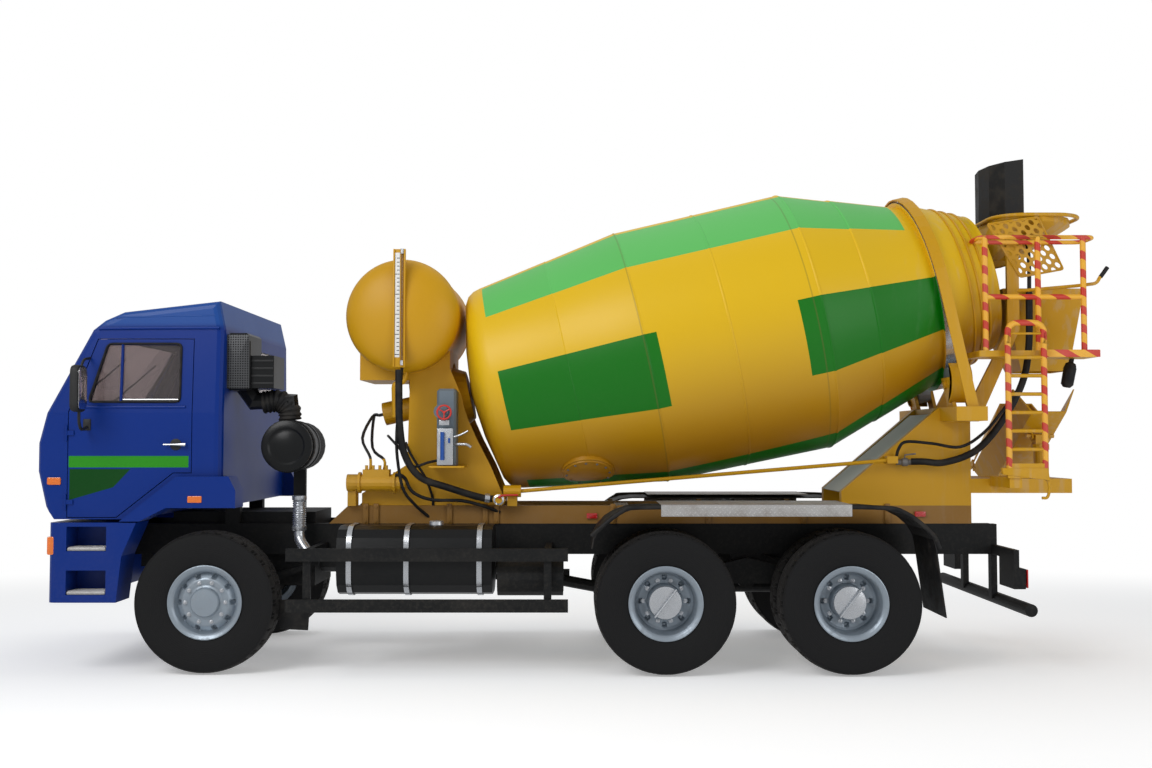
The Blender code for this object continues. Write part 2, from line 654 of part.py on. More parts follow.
def engine():
    """The engine as one plain block, with the transmission and the shaft to the middle axle."""
    half = RAIL_OUTER_Y - RAIL_FLANGE - SEAT_GAP
    block = box((ENGINE_FRONT_X, -half, ENGINE_LOW_Z), (ENGINE_REAR_X, half, ENGINE_TOP_Z))
    case = rod((ENGINE_REAR_X - FUSE, 0, SHAFT_START_Z), (GEARBOX_REAR_X, 0, SHAFT_START_Z), GEARBOX_RADIUS)
    nose_x = MIDDLE_AXLE_X - BANJO_RADIUS - NOSE_LENGTH - SEAT_GAP
    shaft = tube([(GEARBOX_REAR_X - OVERRUN, 0, SHAFT_START_Z),
                  (GEARBOX_REAR_X + CROSS_WIDTH, 0, SHAFT_START_Z),
                  (nose_x - CROSS_WIDTH, 0, HUB_Z), (nose_x, 0, HUB_Z)], SHAFT_RADIUS, sides_step=2)
    return node("engine", union(block, case, shaft), "chassis_black")


# Tanks and boxes hung on the rails
TANK_FRONT_X = 1.02
TANK_REAR_X = 2.24
TANK_OUTER_Y = 1.12
TANK_INNER_Y = 0.56
TANK_LOW_Z = 0.60
TANK_TOP_Z = 1.14
TANK_ROUND = 0.17
STRAP_WIDTH = 0.045
STRAP_PROUD = 0.008
STRAP_SHARES = (0.08, 0.45, 0.92)
TANK_CAP_RADIUS = 0.05
TANK_CAP_HEIGHT = 0.03
TANK_CAP_SHARE = 0.62
TANK_BRACKET_DROP = 0.30
TANK_BRACKET_HEIGHT = 0.10
TANK_BRACKET_LAP = 0.05


def fuel_tank():
    """A rounded tank with its straps, each strap on an L-bracket from the rail."""
    body = rounded_box((TANK_FRONT_X, -TANK_OUTER_Y, TANK_LOW_Z), (TANK_REAR_X, -TANK_INNER_Y, TANK_TOP_Z),
                       TANK_ROUND, CORNER_SEGMENTS, along=0)
    length = TANK_REAR_X - TANK_FRONT_X
    half = STRAP_WIDTH / 2
    bracket_z = TANK_TOP_Z - TANK_BRACKET_DROP
    pieces = []
    for share in STRAP_SHARES:
        x = TANK_FRONT_X + share * length
        pieces.append(rounded_box((x - half, -TANK_OUTER_Y - STRAP_PROUD, TANK_LOW_Z - STRAP_PROUD),
                                  (x + half, -TANK_INNER_Y + STRAP_PROUD, TANK_TOP_Z + STRAP_PROUD),
                                  TANK_ROUND, CORNER_SEGMENTS, along=0))
        pieces.append(box((x - half, -TANK_INNER_Y - TANK_BRACKET_LAP, bracket_z),
                          (x + half, -RAIL_OUTER_Y - SEAT_GAP, bracket_z + TANK_BRACKET_HEIGHT)))
    cap_x = TANK_FRONT_X + TANK_CAP_SHARE * length
    cap_y = -(TANK_OUTER_Y + TANK_INNER_Y) / 2
    pieces.append(rod((cap_x, cap_y, TANK_TOP_Z - TANK_CAP_HEIGHT),
                      (cap_x, cap_y, TANK_TOP_Z + TANK_CAP_HEIGHT), TANK_CAP_RADIUS, PIPE_SIDES))
    return node("fuel_tank", union(body, *pieces), "chassis_black")


AIR_TANK_RADIUS = 0.14
AIR_TANK_FRONT_X = 2.28
AIR_TANK_REAR_X = 2.80
AIR_TANK_Z = 0.73
AIR_TANK_Y = 0.96
AIR_TANK_PITCH = 0.30


def air_tanks():
    """Two air receivers side by side on one bracket."""
    middle = (AIR_TANK_FRONT_X + AIR_TANK_REAR_X) / 2
    tanks = [rod((AIR_TANK_FRONT_X, y, AIR_TANK_Z), (AIR_TANK_REAR_X, y, AIR_TANK_Z), AIR_TANK_RADIUS)
             for y in (-AIR_TANK_Y, -AIR_TANK_Y + AIR_TANK_PITCH)]
    shelf = box((middle - STRAP_WIDTH, -AIR_TANK_Y, AIR_TANK_Z + AIR_TANK_RADIUS - STRAP_WIDTH),
                (middle + STRAP_WIDTH, -RAIL_OUTER_Y - SEAT_GAP, AIR_TANK_Z + AIR_TANK_RADIUS + STRAP_WIDTH))
    return node("air_tanks", union(shelf, *tanks), "chassis_black")


BATTERY_FRONT_X = 1.95
BATTERY_REAR_X = 2.62
BATTERY_LOW_Z = 0.66
BATTERY_TOP_Z = 1.08
BATTERY_OUTER_Y = 1.12
BOX_ROUND = 0.02


def battery_box():
    """The battery box on the right rail."""
    body = rounded_box((BATTERY_FRONT_X, RAIL_OUTER_Y + SEAT_GAP, BATTERY_LOW_Z),
                       (BATTERY_REAR_X, BATTERY_OUTER_Y, BATTERY_TOP_Z), BOX_ROUND, 1)
    return node("battery_box", body, "chassis_black")


SILENCER_FRONT_X = 0.95
SILENCER_REAR_X = 1.85
SILENCER_RADIUS = 0.20
SILENCER_Y = 0.80
SILENCER_Z = 0.80
PIPE_RADIUS = 0.05
PIPE_LENGTH = 0.22


def silencer():
    """The exhaust silencer on the right, with its inlet pipe, outlet and hanger."""
    body = rod((SILENCER_FRONT_X, SILENCER_Y, SILENCER_Z), (SILENCER_REAR_X, SILENCER_Y, SILENCER_Z),
               SILENCER_RADIUS, BIG_SIDES)
    middle = (SILENCER_FRONT_X + SILENCER_REAR_X) / 2
    hanger = box((middle - STRAP_WIDTH, RAIL_OUTER_Y + SEAT_GAP, SILENCER_Z),
                 (middle + STRAP_WIDTH, SILENCER_Y, SILENCER_Z + SILENCER_RADIUS - STRAP_WIDTH))
    inlet = rod((SILENCER_FRONT_X - PIPE_LENGTH, SILENCER_Y, SILENCER_Z),
                (SILENCER_FRONT_X + PIPE_LENGTH / 2, SILENCER_Y, SILENCER_Z), PIPE_RADIUS, PIPE_SIDES)
    outlet = rod((SILENCER_REAR_X - PIPE_RADIUS * 2, SILENCER_Y, SILENCER_Z),
                 (SILENCER_REAR_X - PIPE_RADIUS * 2, SILENCER_Y + SILENCER_RADIUS + PIPE_LENGTH / 2,
                  SILENCER_Z - PIPE_LENGTH), PIPE_RADIUS, PIPE_SIDES)
    return node("silencer", union(body, hanger, inlet, outlet), "chassis_black")


GUARD_FRONT_X = 0.64
GUARD_REAR_X = 2.84
GUARD_LOW_Z = 0.485
GUARD_RAIL_HEIGHT = 0.10
GUARD_UPPER_Z = 0.88
GUARD_OUTER_Y = 1.20
GUARD_THICK = 0.03
GUARD_POST_X = (0.80, 2.68)
GUARD_POST_WIDTH = 0.06


def side_guard(side):
    """Two guard rails on posts, with arms from the frame rail."""
    rails = [box((GUARD_FRONT_X, -GUARD_OUTER_Y, z),
                 (GUARD_REAR_X, -GUARD_OUTER_Y + GUARD_THICK, z + GUARD_RAIL_HEIGHT))
             for z in (GUARD_LOW_Z, GUARD_UPPER_Z)]
    top = GUARD_UPPER_Z + GUARD_RAIL_HEIGHT
    half = GUARD_POST_WIDTH / 2
    posts = [box((x - half, -GUARD_OUTER_Y + GUARD_THICK - FUSE, GUARD_LOW_Z + FUSE),
                 (x + half, -GUARD_OUTER_Y + 2 * GUARD_THICK, top - FUSE)) for x in GUARD_POST_X]
    arms = [box((x - half + FUSE, -GUARD_OUTER_Y + GUARD_THICK, GUARD_UPPER_Z + FUSE),
                (x + half - FUSE, -RAIL_OUTER_Y - SEAT_GAP, top - 2 * FUSE)) for x in GUARD_POST_X]
    body = union(rails[0], *posts, rails[1], *arms)
    return node("side_guard_" + side, on_side(body, side), "chassis_black")


# Air filter behind the cab
FILTER_X = 0.58
FILTER_Z = 1.776
FILTER_RADIUS = 0.20
FILTER_OUTER_Y = 0.93
FILTER_INNER_Y = 0.35
FILTER_POST = 0.05


def air_filter():
    """The round air filter on its post behind the cab, with the elbow up to the intake."""
    canister = rod((FILTER_X, -FILTER_OUTER_Y, FILTER_Z), (FILTER_X, -FILTER_INNER_Y, FILTER_Z),
                   FILTER_RADIUS, BIG_SIDES)
    rim = rod((FILTER_X, -FILTER_OUTER_Y + FILTER_POST, FILTER_Z),
              (FILTER_X, -FILTER_OUTER_Y + 2 * FILTER_POST, FILTER_Z),
              FILTER_RADIUS + STRAP_PROUD * 2, BIG_SIDES)
    post = box((FILTER_X - FILTER_POST, -RAIL_OUTER_Y, RAIL_TOP_Z + SEAT_GAP),
               (FILTER_X + FILTER_POST, -RAIL_OUTER_Y + FILTER_POST, FILTER_Z))
    return node("air_filter", union(canister, rim, post), "chassis_black")


# Mixer drum: an axis that rises to the rear, and its section as stations along that axis
DRUM_TILT_DEG = 12.5
DRUM_X = 3.50               # a point of the axis
DRUM_Z = 2.555
DRUM_WALL = 0.04
MANHOLE_S = -0.70
MANHOLE_DEG = 150           # from the drum's top, towards the left
MANHOLE_RADIUS = 0.22
MANHOLE_SINK = 0.034
MANHOLE_PROUD = 0.035
DRUM_NOSE_S = -1.555
DRUM_DISH_S = -1.50
DRUM_DISH_RADIUS = 0.42
DRUM_KNUCKLE_S = -1.41
DRUM_KNUCKLE_RADIUS = 0.80
DRUM_FRONT_S = -1.31
DRUM_FRONT_RADIUS = 0.885
DRUM_BELLY_S = -0.04
DRUM_BELLY_RADIUS = 1.105
DRUM_BACK_S = 1.40
DRUM_BACK_RADIUS = 1.125
DRUM_RING_S = 2.45
DRUM_RING_RADIUS = 0.84
DRUM_RING_HALF_WIDTH = 0.05
DRUM_CONE_AT_RING = 0.80
DRUM_MOUTH_S = 2.98
DRUM_MOUTH_RADIUS = 0.60

TILT = math.radians(DRUM_TILT_DEG)
DRUM_AXIS = Vector((math.cos(TILT), 0, math.sin(TILT)))
DRUM_UP = Vector((-math.sin(TILT), 0, math.cos(TILT)))


def on_drum(s, up=0.0, y=0.0):
    """A point given by its station on the drum's axis, its height off the axis and its Y."""
    return Vector((DRUM_X, 0, DRUM_Z)) + DRUM_AXIS * s + DRUM_UP * up + Vector((0, y, 0))


def manhole():
    """The round rim of the service hatch in the front cone, square to the cone's wall."""
    cone = math.atan2(DRUM_BELLY_RADIUS - DRUM_FRONT_RADIUS, DRUM_BELLY_S - DRUM_FRONT_S)
    turn = math.radians(MANHOLE_DEG)
    share = (MANHOLE_S - DRUM_FRONT_S) / (DRUM_BELLY_S - DRUM_FRONT_S)
    radius = DRUM_FRONT_RADIUS + share * (DRUM_BELLY_RADIUS - DRUM_FRONT_RADIUS)
    ends = []
    for depth in (-MANHOLE_SINK, MANHOLE_PROUD):
        out = radius + depth * math.cos(cone)
        ends.append(on_drum(MANHOLE_S - depth * math.sin(cone), out * math.cos(turn), -out * math.sin(turn)))
    return rod(*ends, MANHOLE_RADIUS, BIG_SIDES)


def drum():
    """The drum shell: dished front, growing cone, long belly, rear cone with its roller ring, open
    mouth, and the rim of its hatch."""
    ring_low = DRUM_RING_S - DRUM_RING_HALF_WIDTH
    ring_high = DRUM_RING_S + DRUM_RING_HALF_WIDTH
    outer = [(DRUM_MOUTH_RADIUS, DRUM_MOUTH_S), (DRUM_CONE_AT_RING, ring_high), (DRUM_RING_RADIUS, ring_high),
             (DRUM_RING_RADIUS, ring_low), (DRUM_CONE_AT_RING, ring_low), (DRUM_BACK_RADIUS, DRUM_BACK_S),
             (DRUM_BELLY_RADIUS, DRUM_BELLY_S), (DRUM_FRONT_RADIUS, DRUM_FRONT_S),
             (DRUM_KNUCKLE_RADIUS, DRUM_KNUCKLE_S), (DRUM_DISH_RADIUS, DRUM_DISH_S), (0, DRUM_NOSE_S)]
    inner = [(0, DRUM_NOSE_S + DRUM_WALL), (DRUM_KNUCKLE_RADIUS, DRUM_KNUCKLE_S + DRUM_WALL),
             (DRUM_BELLY_RADIUS - DRUM_WALL, DRUM_BELLY_S), (DRUM_BACK_RADIUS - DRUM_WALL, DRUM_BACK_S),
             (DRUM_CONE_AT_RING - DRUM_WALL, DRUM_RING_S), (DRUM_MOUTH_RADIUS - DRUM_WALL, DRUM_MOUTH_S)]
    body = union(turned(outer + inner, on_drum(0), DRUM_AXIS, DRUM_STEPS), manhole())
    return node("drum", body, "mixer_yellow", on_drum(0))


# Rollers
ROLLER_RADIUS = 0.14
ROLLER_WIDTH = 0.11
ROLLER_DEG = 35
ROLLER_AXLE_RADIUS = 0.03
ROLLER_GAP = 0.0004


def roller_place(side):
    """The middle of a roller, under the drum's ring."""
    reach = DRUM_RING_RADIUS + ROLLER_RADIUS + ROLLER_GAP
    angle = math.radians(ROLLER_DEG)
    return on_drum(DRUM_RING_S, -reach * math.cos(angle), SIDES[side] * reach * math.sin(angle))


def roller(side):
    """A support roller, bored for its axle."""
    half = ROLLER_WIDTH / 2
    bore = ROLLER_AXLE_RADIUS + PIN_GAP
    profile = [(bore, half), (ROLLER_RADIUS, half), (ROLLER_RADIUS, -half), (bore, -half)]
    centre = roller_place(side)
    return node("roller_" + side, turned(profile, centre, DRUM_AXIS, BIG_SIDES), "rim_silver", centre)


# Drum gearbox and motor
BOX_FLANGE_RADIUS = 0.30
BOX_BODY_RADIUS = 0.24
BOX_FRONT_S = -2.05
BOX_STEP_S = -1.72
MOTOR_FRONT_S = -2.33
BOX_FLANGE_THICK = 0.04
BOX_CONE = 0.02
MOTOR_RADIUS = 0.10


def drum_gearbox():
    """The planetary gearbox that carries and turns the drum's nose, with its motor in front."""
    nose = DRUM_NOSE_S - SEAT_GAP
    step = BOX_STEP_S - BOX_FLANGE_THICK
    body = turned([(0, nose), (DRUM_DISH_RADIUS / 2, nose), (BOX_FLANGE_RADIUS, BOX_STEP_S),
                   (BOX_FLANGE_RADIUS, step), (BOX_BODY_RADIUS, step), (BOX_BODY_RADIUS, BOX_FRONT_S),
                   (MOTOR_RADIUS, BOX_FRONT_S - BOX_CONE), (MOTOR_RADIUS, MOTOR_FRONT_S), (0, MOTOR_FRONT_S)],
                  on_drum(0), DRUM_AXIS, BIG_SIDES)
    return node("drum_gearbox", body, "mixer_yellow")


# Front pedestal
PEDESTAL_HALF_WIDTH = 0.40
PEDESTAL_PLATE = 0.02
PEDESTAL_FOOT_FRONT_X = 1.10
PEDESTAL_FOOT_REAR_X = 2.28
PEDESTAL_WAIST_X = 1.48
PEDESTAL_WAIST_Z = 1.62
PEDESTAL_HEAD_FRONT_X = 1.50
PEDESTAL_HEAD_REAR_X = 1.84
PEDESTAL_HEAD_Z = 2.42
PEDESTAL_FOOT_HEIGHT = 0.10

# Water tank
WATER_X = 1.455
WATER_Z = 2.86
WATER_RADIUS = 0.47
WATER_HALF_LENGTH = 0.56
WATER_DISH = 0.20
SADDLE_DROP = 0.38
SADDLE_WALL = 0.06


def front_pedestal():
    """Two side plates on the subframe, a cross web round the gearbox, and the tank's saddle."""
    foot = SUBFRAME_TOP_Z + SEAT_GAP
    outline = [(PEDESTAL_FOOT_FRONT_X, foot), (PEDESTAL_FOOT_REAR_X, foot),
               (PEDESTAL_FOOT_REAR_X, foot + PEDESTAL_FOOT_HEIGHT), (PEDESTAL_HEAD_REAR_X, PEDESTAL_HEAD_Z),
               (PEDESTAL_HEAD_FRONT_X, PEDESTAL_HEAD_Z), (PEDESTAL_WAIST_X, PEDESTAL_WAIST_Z),
               (PEDESTAL_FOOT_FRONT_X, foot + PEDESTAL_FOOT_HEIGHT)]
    side = plate(outline, -PEDESTAL_HALF_WIDTH, -PEDESTAL_HALF_WIDTH + PEDESTAL_PLATE)
    base = box((PEDESTAL_FOOT_FRONT_X + FUSE, -PEDESTAL_HALF_WIDTH + FUSE, foot + FUSE),
               (PEDESTAL_FOOT_REAR_X - FUSE, PEDESTAL_HALF_WIDTH - FUSE, foot + PEDESTAL_PLATE + FUSE))
    web = box((BOX_WEB_X, -PEDESTAL_HALF_WIDTH + FUSE, foot + FUSE),
              (BOX_WEB_X + PEDESTAL_PLATE, PEDESTAL_HALF_WIDTH - FUSE, PEDESTAL_HEAD_Z - FUSE))
    flange_space = BOX_FLANGE_RADIUS + RUNNING_GAP
    body_space = BOX_BODY_RADIUS + SEAT_GAP
    step = BOX_STEP_S - BOX_FLANGE_THICK - RUNNING_GAP
    hole = turned([(0, DRUM_FRONT_S), (flange_space, DRUM_FRONT_S), (flange_space, step), (body_space, step),
                   (body_space, MOTOR_FRONT_S), (0, MOTOR_FRONT_S)], on_drum(0), DRUM_AXIS, BIG_SIDES)
    saddle_low = WATER_Z - WATER_RADIUS - SADDLE_WALL
    saddle = box((WATER_X - SADDLE_DROP, -PEDESTAL_HALF_WIDTH + FUSE, saddle_low),
                 (WATER_X + SADDLE_DROP, PEDESTAL_HALF_WIDTH - FUSE, WATER_Z - SADDLE_DROP / 2))
    tank_space = rod((WATER_X, -WATER_HALF_LENGTH, WATER_Z), (WATER_X, WATER_HALF_LENGTH, WATER_Z),
                     WATER_RADIUS + SEAT_GAP, BIG_SIDES)
    drum_space = turned([(0, DRUM_BELLY_S), (DRUM_FRONT_RADIUS + OVERRUN, DRUM_BELLY_S),
                         (DRUM_FRONT_RADIUS + OVERRUN, DRUM_FRONT_S),
                         (DRUM_KNUCKLE_RADIUS + OVERRUN, DRUM_KNUCKLE_S - OVERRUN),
                         (DRUM_DISH_RADIUS, DRUM_NOSE_S - OVERRUN), (0, DRUM_NOSE_S - OVERRUN)],
                        on_drum(0), DRUM_AXIS, BIG_SIDES)
    body = union(base, *both_sides(side), web, saddle)
    return node("front_pedestal", cut(body, hole, tank_space, drum_space), "mixer_yellow")


BOX_WEB_X = 1.56


def water_tank():
    """A lying round tank with dished ends, its level gauge in a channel on the left end."""
    end = WATER_HALF_LENGTH
    rings = [(0, end + WATER_DISH)]
    for share, depth_share in DISH_SHARES:
        rings.append((WATER_RADIUS * share, end + WATER_DISH * depth_share))
    profile = rings + [(radius, -along) for radius, along in reversed(rings)]
    body = turned(profile, (WATER_X, 0, WATER_Z), (0, -1, 0), BIG_SIDES)
    gauge_y = -end - WATER_DISH - GAUGE_STAND
    channel = box((WATER_X - GAUGE_WIDTH / 2, gauge_y, GAUGE_LOW_Z),
                  (WATER_X + GAUGE_WIDTH / 2, gauge_y + GAUGE_DEPTH, GAUGE_HIGH_Z))
    glass = box((WATER_X - GAUGE_SLOT / 2, gauge_y - OVERRUN, GAUGE_LOW_Z + GAUGE_EDGE),
                (WATER_X + GAUGE_SLOT / 2, gauge_y + GAUGE_RECESS, GAUGE_HIGH_Z - GAUGE_EDGE))
    arms = [box((WATER_X - GAUGE_ARM / 2, gauge_y + GAUGE_RECESS * 2, z),
                (WATER_X + GAUGE_ARM / 2, -end, z + GAUGE_ARM))
            for z in (GAUGE_LOW_Z + GAUGE_EDGE, GAUGE_HIGH_Z - GAUGE_EDGE - 2 * GAUGE_ARM)]
    return node("water_tank", union(body, *arms, cut(channel, glass)), "mixer_yellow")


# The dish of a tank's end: share of the tank's radius, share of the dish's depth
DISH_SHARES = ((0.40, 0.93), (0.72, 0.70), (0.92, 0.36), (1.0, 0.0))
GAUGE_STAND = 0.02
GAUGE_WIDTH = 0.10
GAUGE_SLOT = 0.075
GAUGE_DEPTH = 0.035
GAUGE_RECESS = 0.012
GAUGE_EDGE = 0.03
GAUGE_ARM = 0.05
GAUGE_LOW_Z = 2.42
GAUGE_HIGH_Z = 3.39


# Control box
CONTROL_X = 1.75
CONTROL_WIDTH = 0.16
CONTROL_OUTER_Y = 0.62
CONTROL_LOW_Z = 1.60
CONTROL_HIGH_Z = 2.25


def control_box():
    """The grey control and flow box on the left pedestal plate."""
    body = rounded_box((CONTROL_X, -CONTROL_OUTER_Y, CONTROL_LOW_Z),
                       (CONTROL_X + CONTROL_WIDTH, -PEDESTAL_HALF_WIDTH - SEAT_GAP, CONTROL_HIGH_Z),
                       BOX_ROUND, 1)
    wheel_x = CONTROL_X + CONTROL_WIDTH / 4
    wheel = rod((wheel_x, -CONTROL_OUTER_Y - VALVE_DEPTH, VALVE_Z),
                (wheel_x, -CONTROL_OUTER_Y + FUSE, VALVE_Z), VALVE_RADIUS, PIPE_SIDES)
    return node("control_box", union(body, wheel), "box_grey")


VALVE_Z = 2.06
VALVE_RADIUS = 0.06
VALVE_DEPTH = 0.06


# Rear pedestal
REAR_FOOT_FRONT_X = 5.13
REAR_FOOT_REAR_X = 6.22
REAR_FOOT_HEIGHT = 0.12
REAR_BEAM_HALF_LENGTH = 0.91
REAR_HEAD_FRONT_X = 5.96
REAR_HEAD_REAR_X = 6.22
REAR_HEAD_Z = 2.10
REAR_BEAM_DEPTH = 0.12
CHEEK_THICK = 0.03
CHEEK_HALF_WIDTH = 0.08
CHEEK_LENGTH = 0.30
ROLLER_AXLE_PROUD = 0.015
BAND_GAP = 0.02
BAND_THICK = 0.012
BAND_HALF_WIDTH = 0.045
BAND_STEPS = 20
POST_X = 6.96               # the chute's upright post
POST_RADIUS = 0.055
POST_TOP_Z = 1.74
ARM_Z = 1.50
ARM_HEIGHT = 0.12
COLUMN_THICK = 0.04
COLUMN_DEPTH = 0.10
COLUMN_KNEE_X = 6.52
COLUMN_KNEE_Z = 2.75
COLUMN_TOP_Z = 3.58
HOPPER_WALL = 0.012
FUNNEL_HALF_WIDTH = 0.46
COLUMN_Y = FUNNEL_HALF_WIDTH + HOPPER_WALL + SEAT_GAP


def drum_box(s_low, s_high, y_low, y_high, up_low, up_high):
    """A box in the drum's own directions."""
    obj = box((s_low, y_low, up_low), (s_high, y_high, up_high))
    turn = Matrix((DRUM_AXIS, (0, 1, 0), DRUM_UP)).transposed().to_4x4()
    obj.data.transform(Matrix.Translation(on_drum(0)) @ turn)
    return obj


def drum_band():
    """The flat band that keeps the drum on its rollers: an arch over the ring with straight ends."""
    inner = DRUM_RING_RADIUS + BAND_GAP
    outer = inner + BAND_THICK
    down = on_drum(DRUM_RING_S).z - REAR_HEAD_Z + REAR_BEAM_DEPTH
    angles = [math.pi * i / BAND_STEPS for i in range(BAND_STEPS + 1)]
    arch = [(math.cos(angle), math.sin(angle)) for angle in angles]
    outline = ([(outer * a, outer * b) for a, b in arch] + [(-outer, -down), (-inner, -down)]
               + [(inner * a, inner * b) for a, b in reversed(arch)] + [(inner, -down), (outer, -down)])
    band = plate(outline, -BAND_HALF_WIDTH, BAND_HALF_WIDTH, across="x")
    turn = Matrix((DRUM_AXIS, (0, 1, 0), DRUM_UP)).transposed().to_4x4()
    band.data.transform(Matrix.Translation(on_drum(DRUM_RING_S)) @ turn)
    return band


def rear_pedestal():
    """Side frames on the subframe, a head beam with the roller seats, the band over the drum, the
    columns that carry hopper and funnel, and the arm that carries the chute's post."""
    foot = SUBFRAME_TOP_Z + SEAT_GAP
    outline = [(REAR_FOOT_FRONT_X, foot), (REAR_FOOT_REAR_X, foot), (REAR_HEAD_REAR_X, REAR_HEAD_Z),
               (REAR_HEAD_FRONT_X, REAR_HEAD_Z), (REAR_FOOT_FRONT_X, foot + REAR_FOOT_HEIGHT)]
    side = plate(outline, -RAIL_OUTER_Y, -RAIL_OUTER_Y + RAIL_FLANGE)
    beam = box((REAR_HEAD_FRONT_X + FUSE, -REAR_BEAM_HALF_LENGTH, REAR_HEAD_Z - REAR_BEAM_DEPTH),
               (REAR_HEAD_REAR_X - FUSE, REAR_BEAM_HALF_LENGTH, REAR_HEAD_Z - FUSE))
    column = plate([(REAR_HEAD_REAR_X - COLUMN_DEPTH, REAR_HEAD_Z - REAR_BEAM_DEPTH),
                    (REAR_HEAD_REAR_X + COLUMN_DEPTH / 2, REAR_HEAD_Z - REAR_BEAM_DEPTH),
                    (COLUMN_KNEE_X + COLUMN_DEPTH, COLUMN_KNEE_Z),
                    (COLUMN_KNEE_X + COLUMN_DEPTH, COLUMN_TOP_Z), (COLUMN_KNEE_X, COLUMN_TOP_Z),
                    (COLUMN_KNEE_X, COLUMN_KNEE_Z)], -COLUMN_Y - COLUMN_THICK, -COLUMN_Y)
    pieces = [beam] + both_sides(side) + both_sides(column) + [drum_band()]
    for side_name in SIDES:
        centre = roller_place(side_name)
        up = -(DRUM_RING_RADIUS + ROLLER_RADIUS + ROLLER_GAP) * math.cos(math.radians(ROLLER_DEG))
        for end in (-1, 1):
            near = DRUM_RING_S + end * (ROLLER_WIDTH / 2 + RUNNING_GAP)
            far = near + end * CHEEK_THICK
            pieces.append(drum_box(min(near, far), max(near, far),
                                   centre.y - CHEEK_HALF_WIDTH, centre.y + CHEEK_HALF_WIDTH,
                                   up - CHEEK_LENGTH, up + ROLLER_AXLE_RADIUS * 2))
        reach = DRUM_AXIS * (ROLLER_WIDTH / 2 + RUNNING_GAP + CHEEK_THICK + ROLLER_AXLE_PROUD)
        pieces.append(rod(centre - reach, centre + reach, ROLLER_AXLE_RADIUS, PIPE_SIDES))
    post = rod((POST_X, 0, ARM_Z - ARM_HEIGHT / 2), (POST_X, 0, POST_TOP_Z), POST_RADIUS)
    arm = box((REAR_FOOT_REAR_X - FUSE * 2, -RAIL_OUTER_Y + FUSE, ARM_Z - ARM_HEIGHT),
              (POST_X + 2 * POST_RADIUS, RAIL_OUTER_Y - FUSE, ARM_Z))
    return node("rear_pedestal", union(*pieces, arm, post), "mixer_yellow")


# Water pipe and hoses
PIPE_Y = 0.52
PIPE_START_X = 2.44
PIPE_START_Z = 1.40
PIPE_END_X = 5.55
PIPE_END_Z = 1.66
WATER_PIPE_RADIUS = 0.016
FITTING_RADIUS = 0.05
FITTING_LENGTH = 0.14
PIPE_BRACKET = 0.03


def water_pipe():
    """The long pipe from the front fitting to the rear valve, clipped to the pedestals."""
    start, end = (PIPE_START_X, -PIPE_Y, PIPE_START_Z), (PIPE_END_X, -PIPE_Y, PIPE_END_Z)
    line = rod(start, end, WATER_PIPE_RADIUS, SMALL_SIDES)
    fitting = rod((PIPE_START_X - FITTING_LENGTH, -PIPE_Y, PIPE_START_Z),
                  (PIPE_START_X + FUSE, -PIPE_Y, PIPE_START_Z), FITTING_RADIUS, PIPE_SIDES)
    front_clip = box((PIPE_START_X - FITTING_LENGTH + PIPE_BRACKET, -PIPE_Y, SUBFRAME_TOP_Z + SEAT_GAP),
                     (PIPE_START_X - PIPE_BRACKET, -RAIL_OUTER_Y + RAIL_FLANGE / 2,
                      PIPE_START_Z - FITTING_RADIUS / 2))
    rear_clip = box((PIPE_END_X - 2 * PIPE_BRACKET, -PIPE_Y - PIPE_BRACKET, PIPE_END_Z - PIPE_BRACKET),
                    (PIPE_END_X + PIPE_BRACKET, -RAIL_OUTER_Y - SEAT_GAP, PIPE_END_Z + PIPE_BRACKET))
    return node("water_pipe", union(line, fitting, front_clip, rear_clip), "mixer_yellow")


HOSE_RADIUS = 0.03
HOSE_TOP_Y = GAUGE_DEPTH / 2 - WATER_HALF_LENGTH - WATER_DISH - GAUGE_STAND
HOSE_TOP = (WATER_X, HOSE_TOP_Y, GAUGE_LOW_Z - SEAT_GAP)
HOSE_END = (PIPE_START_X - FITTING_LENGTH - SEAT_GAP, -PIPE_Y, PIPE_START_Z)
# Points of the hose's run between its two ends: x, y, z
HOSE_ROUTE = [(WATER_X, HOSE_TOP_Y, 2.36), (WATER_X, HOSE_TOP_Y, 2.26), (1.46, -0.74, 1.95),
              (1.50, -0.70, 1.70), (1.62, -0.65, 1.52), (1.85, -0.59, 1.43),
              (2.12, -PIPE_Y, PIPE_START_Z), (2.22, -PIPE_Y, PIPE_START_Z)]


def water_hose():
    """The main black hose from under the tank's gauge down to the pipe's fitting."""
    body = tube([HOSE_TOP, *HOSE_ROUTE, HOSE_END], HOSE_RADIUS, smooth=True)
    return node("water_hose", body, "rubber_black")


# Hopper, flap and funnel
HOPPER_X = 6.83
HOPPER_RIM_Z = 3.72
HOPPER_RIM_LENGTH = 0.74
HOPPER_RIM_WIDTH = 1.00
HOPPER_COLLAR = 0.05
HOPPER_THROAT_X = 6.52
HOPPER_THROAT_Z = 3.36
HOPPER_THROAT_LENGTH = 0.34
HOPPER_THROAT_WIDTH = 0.62
FLAP_TOP_Z = 4.20
FLAP_THICK = 0.012
FUNNEL_TOP_Z = 3.10
FUNNEL_LOW_Z = 2.42
FUNNEL_FRONT_X = 6.50
FUNNEL_REAR_X = 7.18
FUNNEL_LOW_FRONT_X = 6.74
FUNNEL_LOW_REAR_X = 7.14
FUNNEL_LOW_HALF_WIDTH = 0.20
FUNNEL_LUG_HEIGHT = 0.05
FUNNEL_LUG_LAP = 0.03


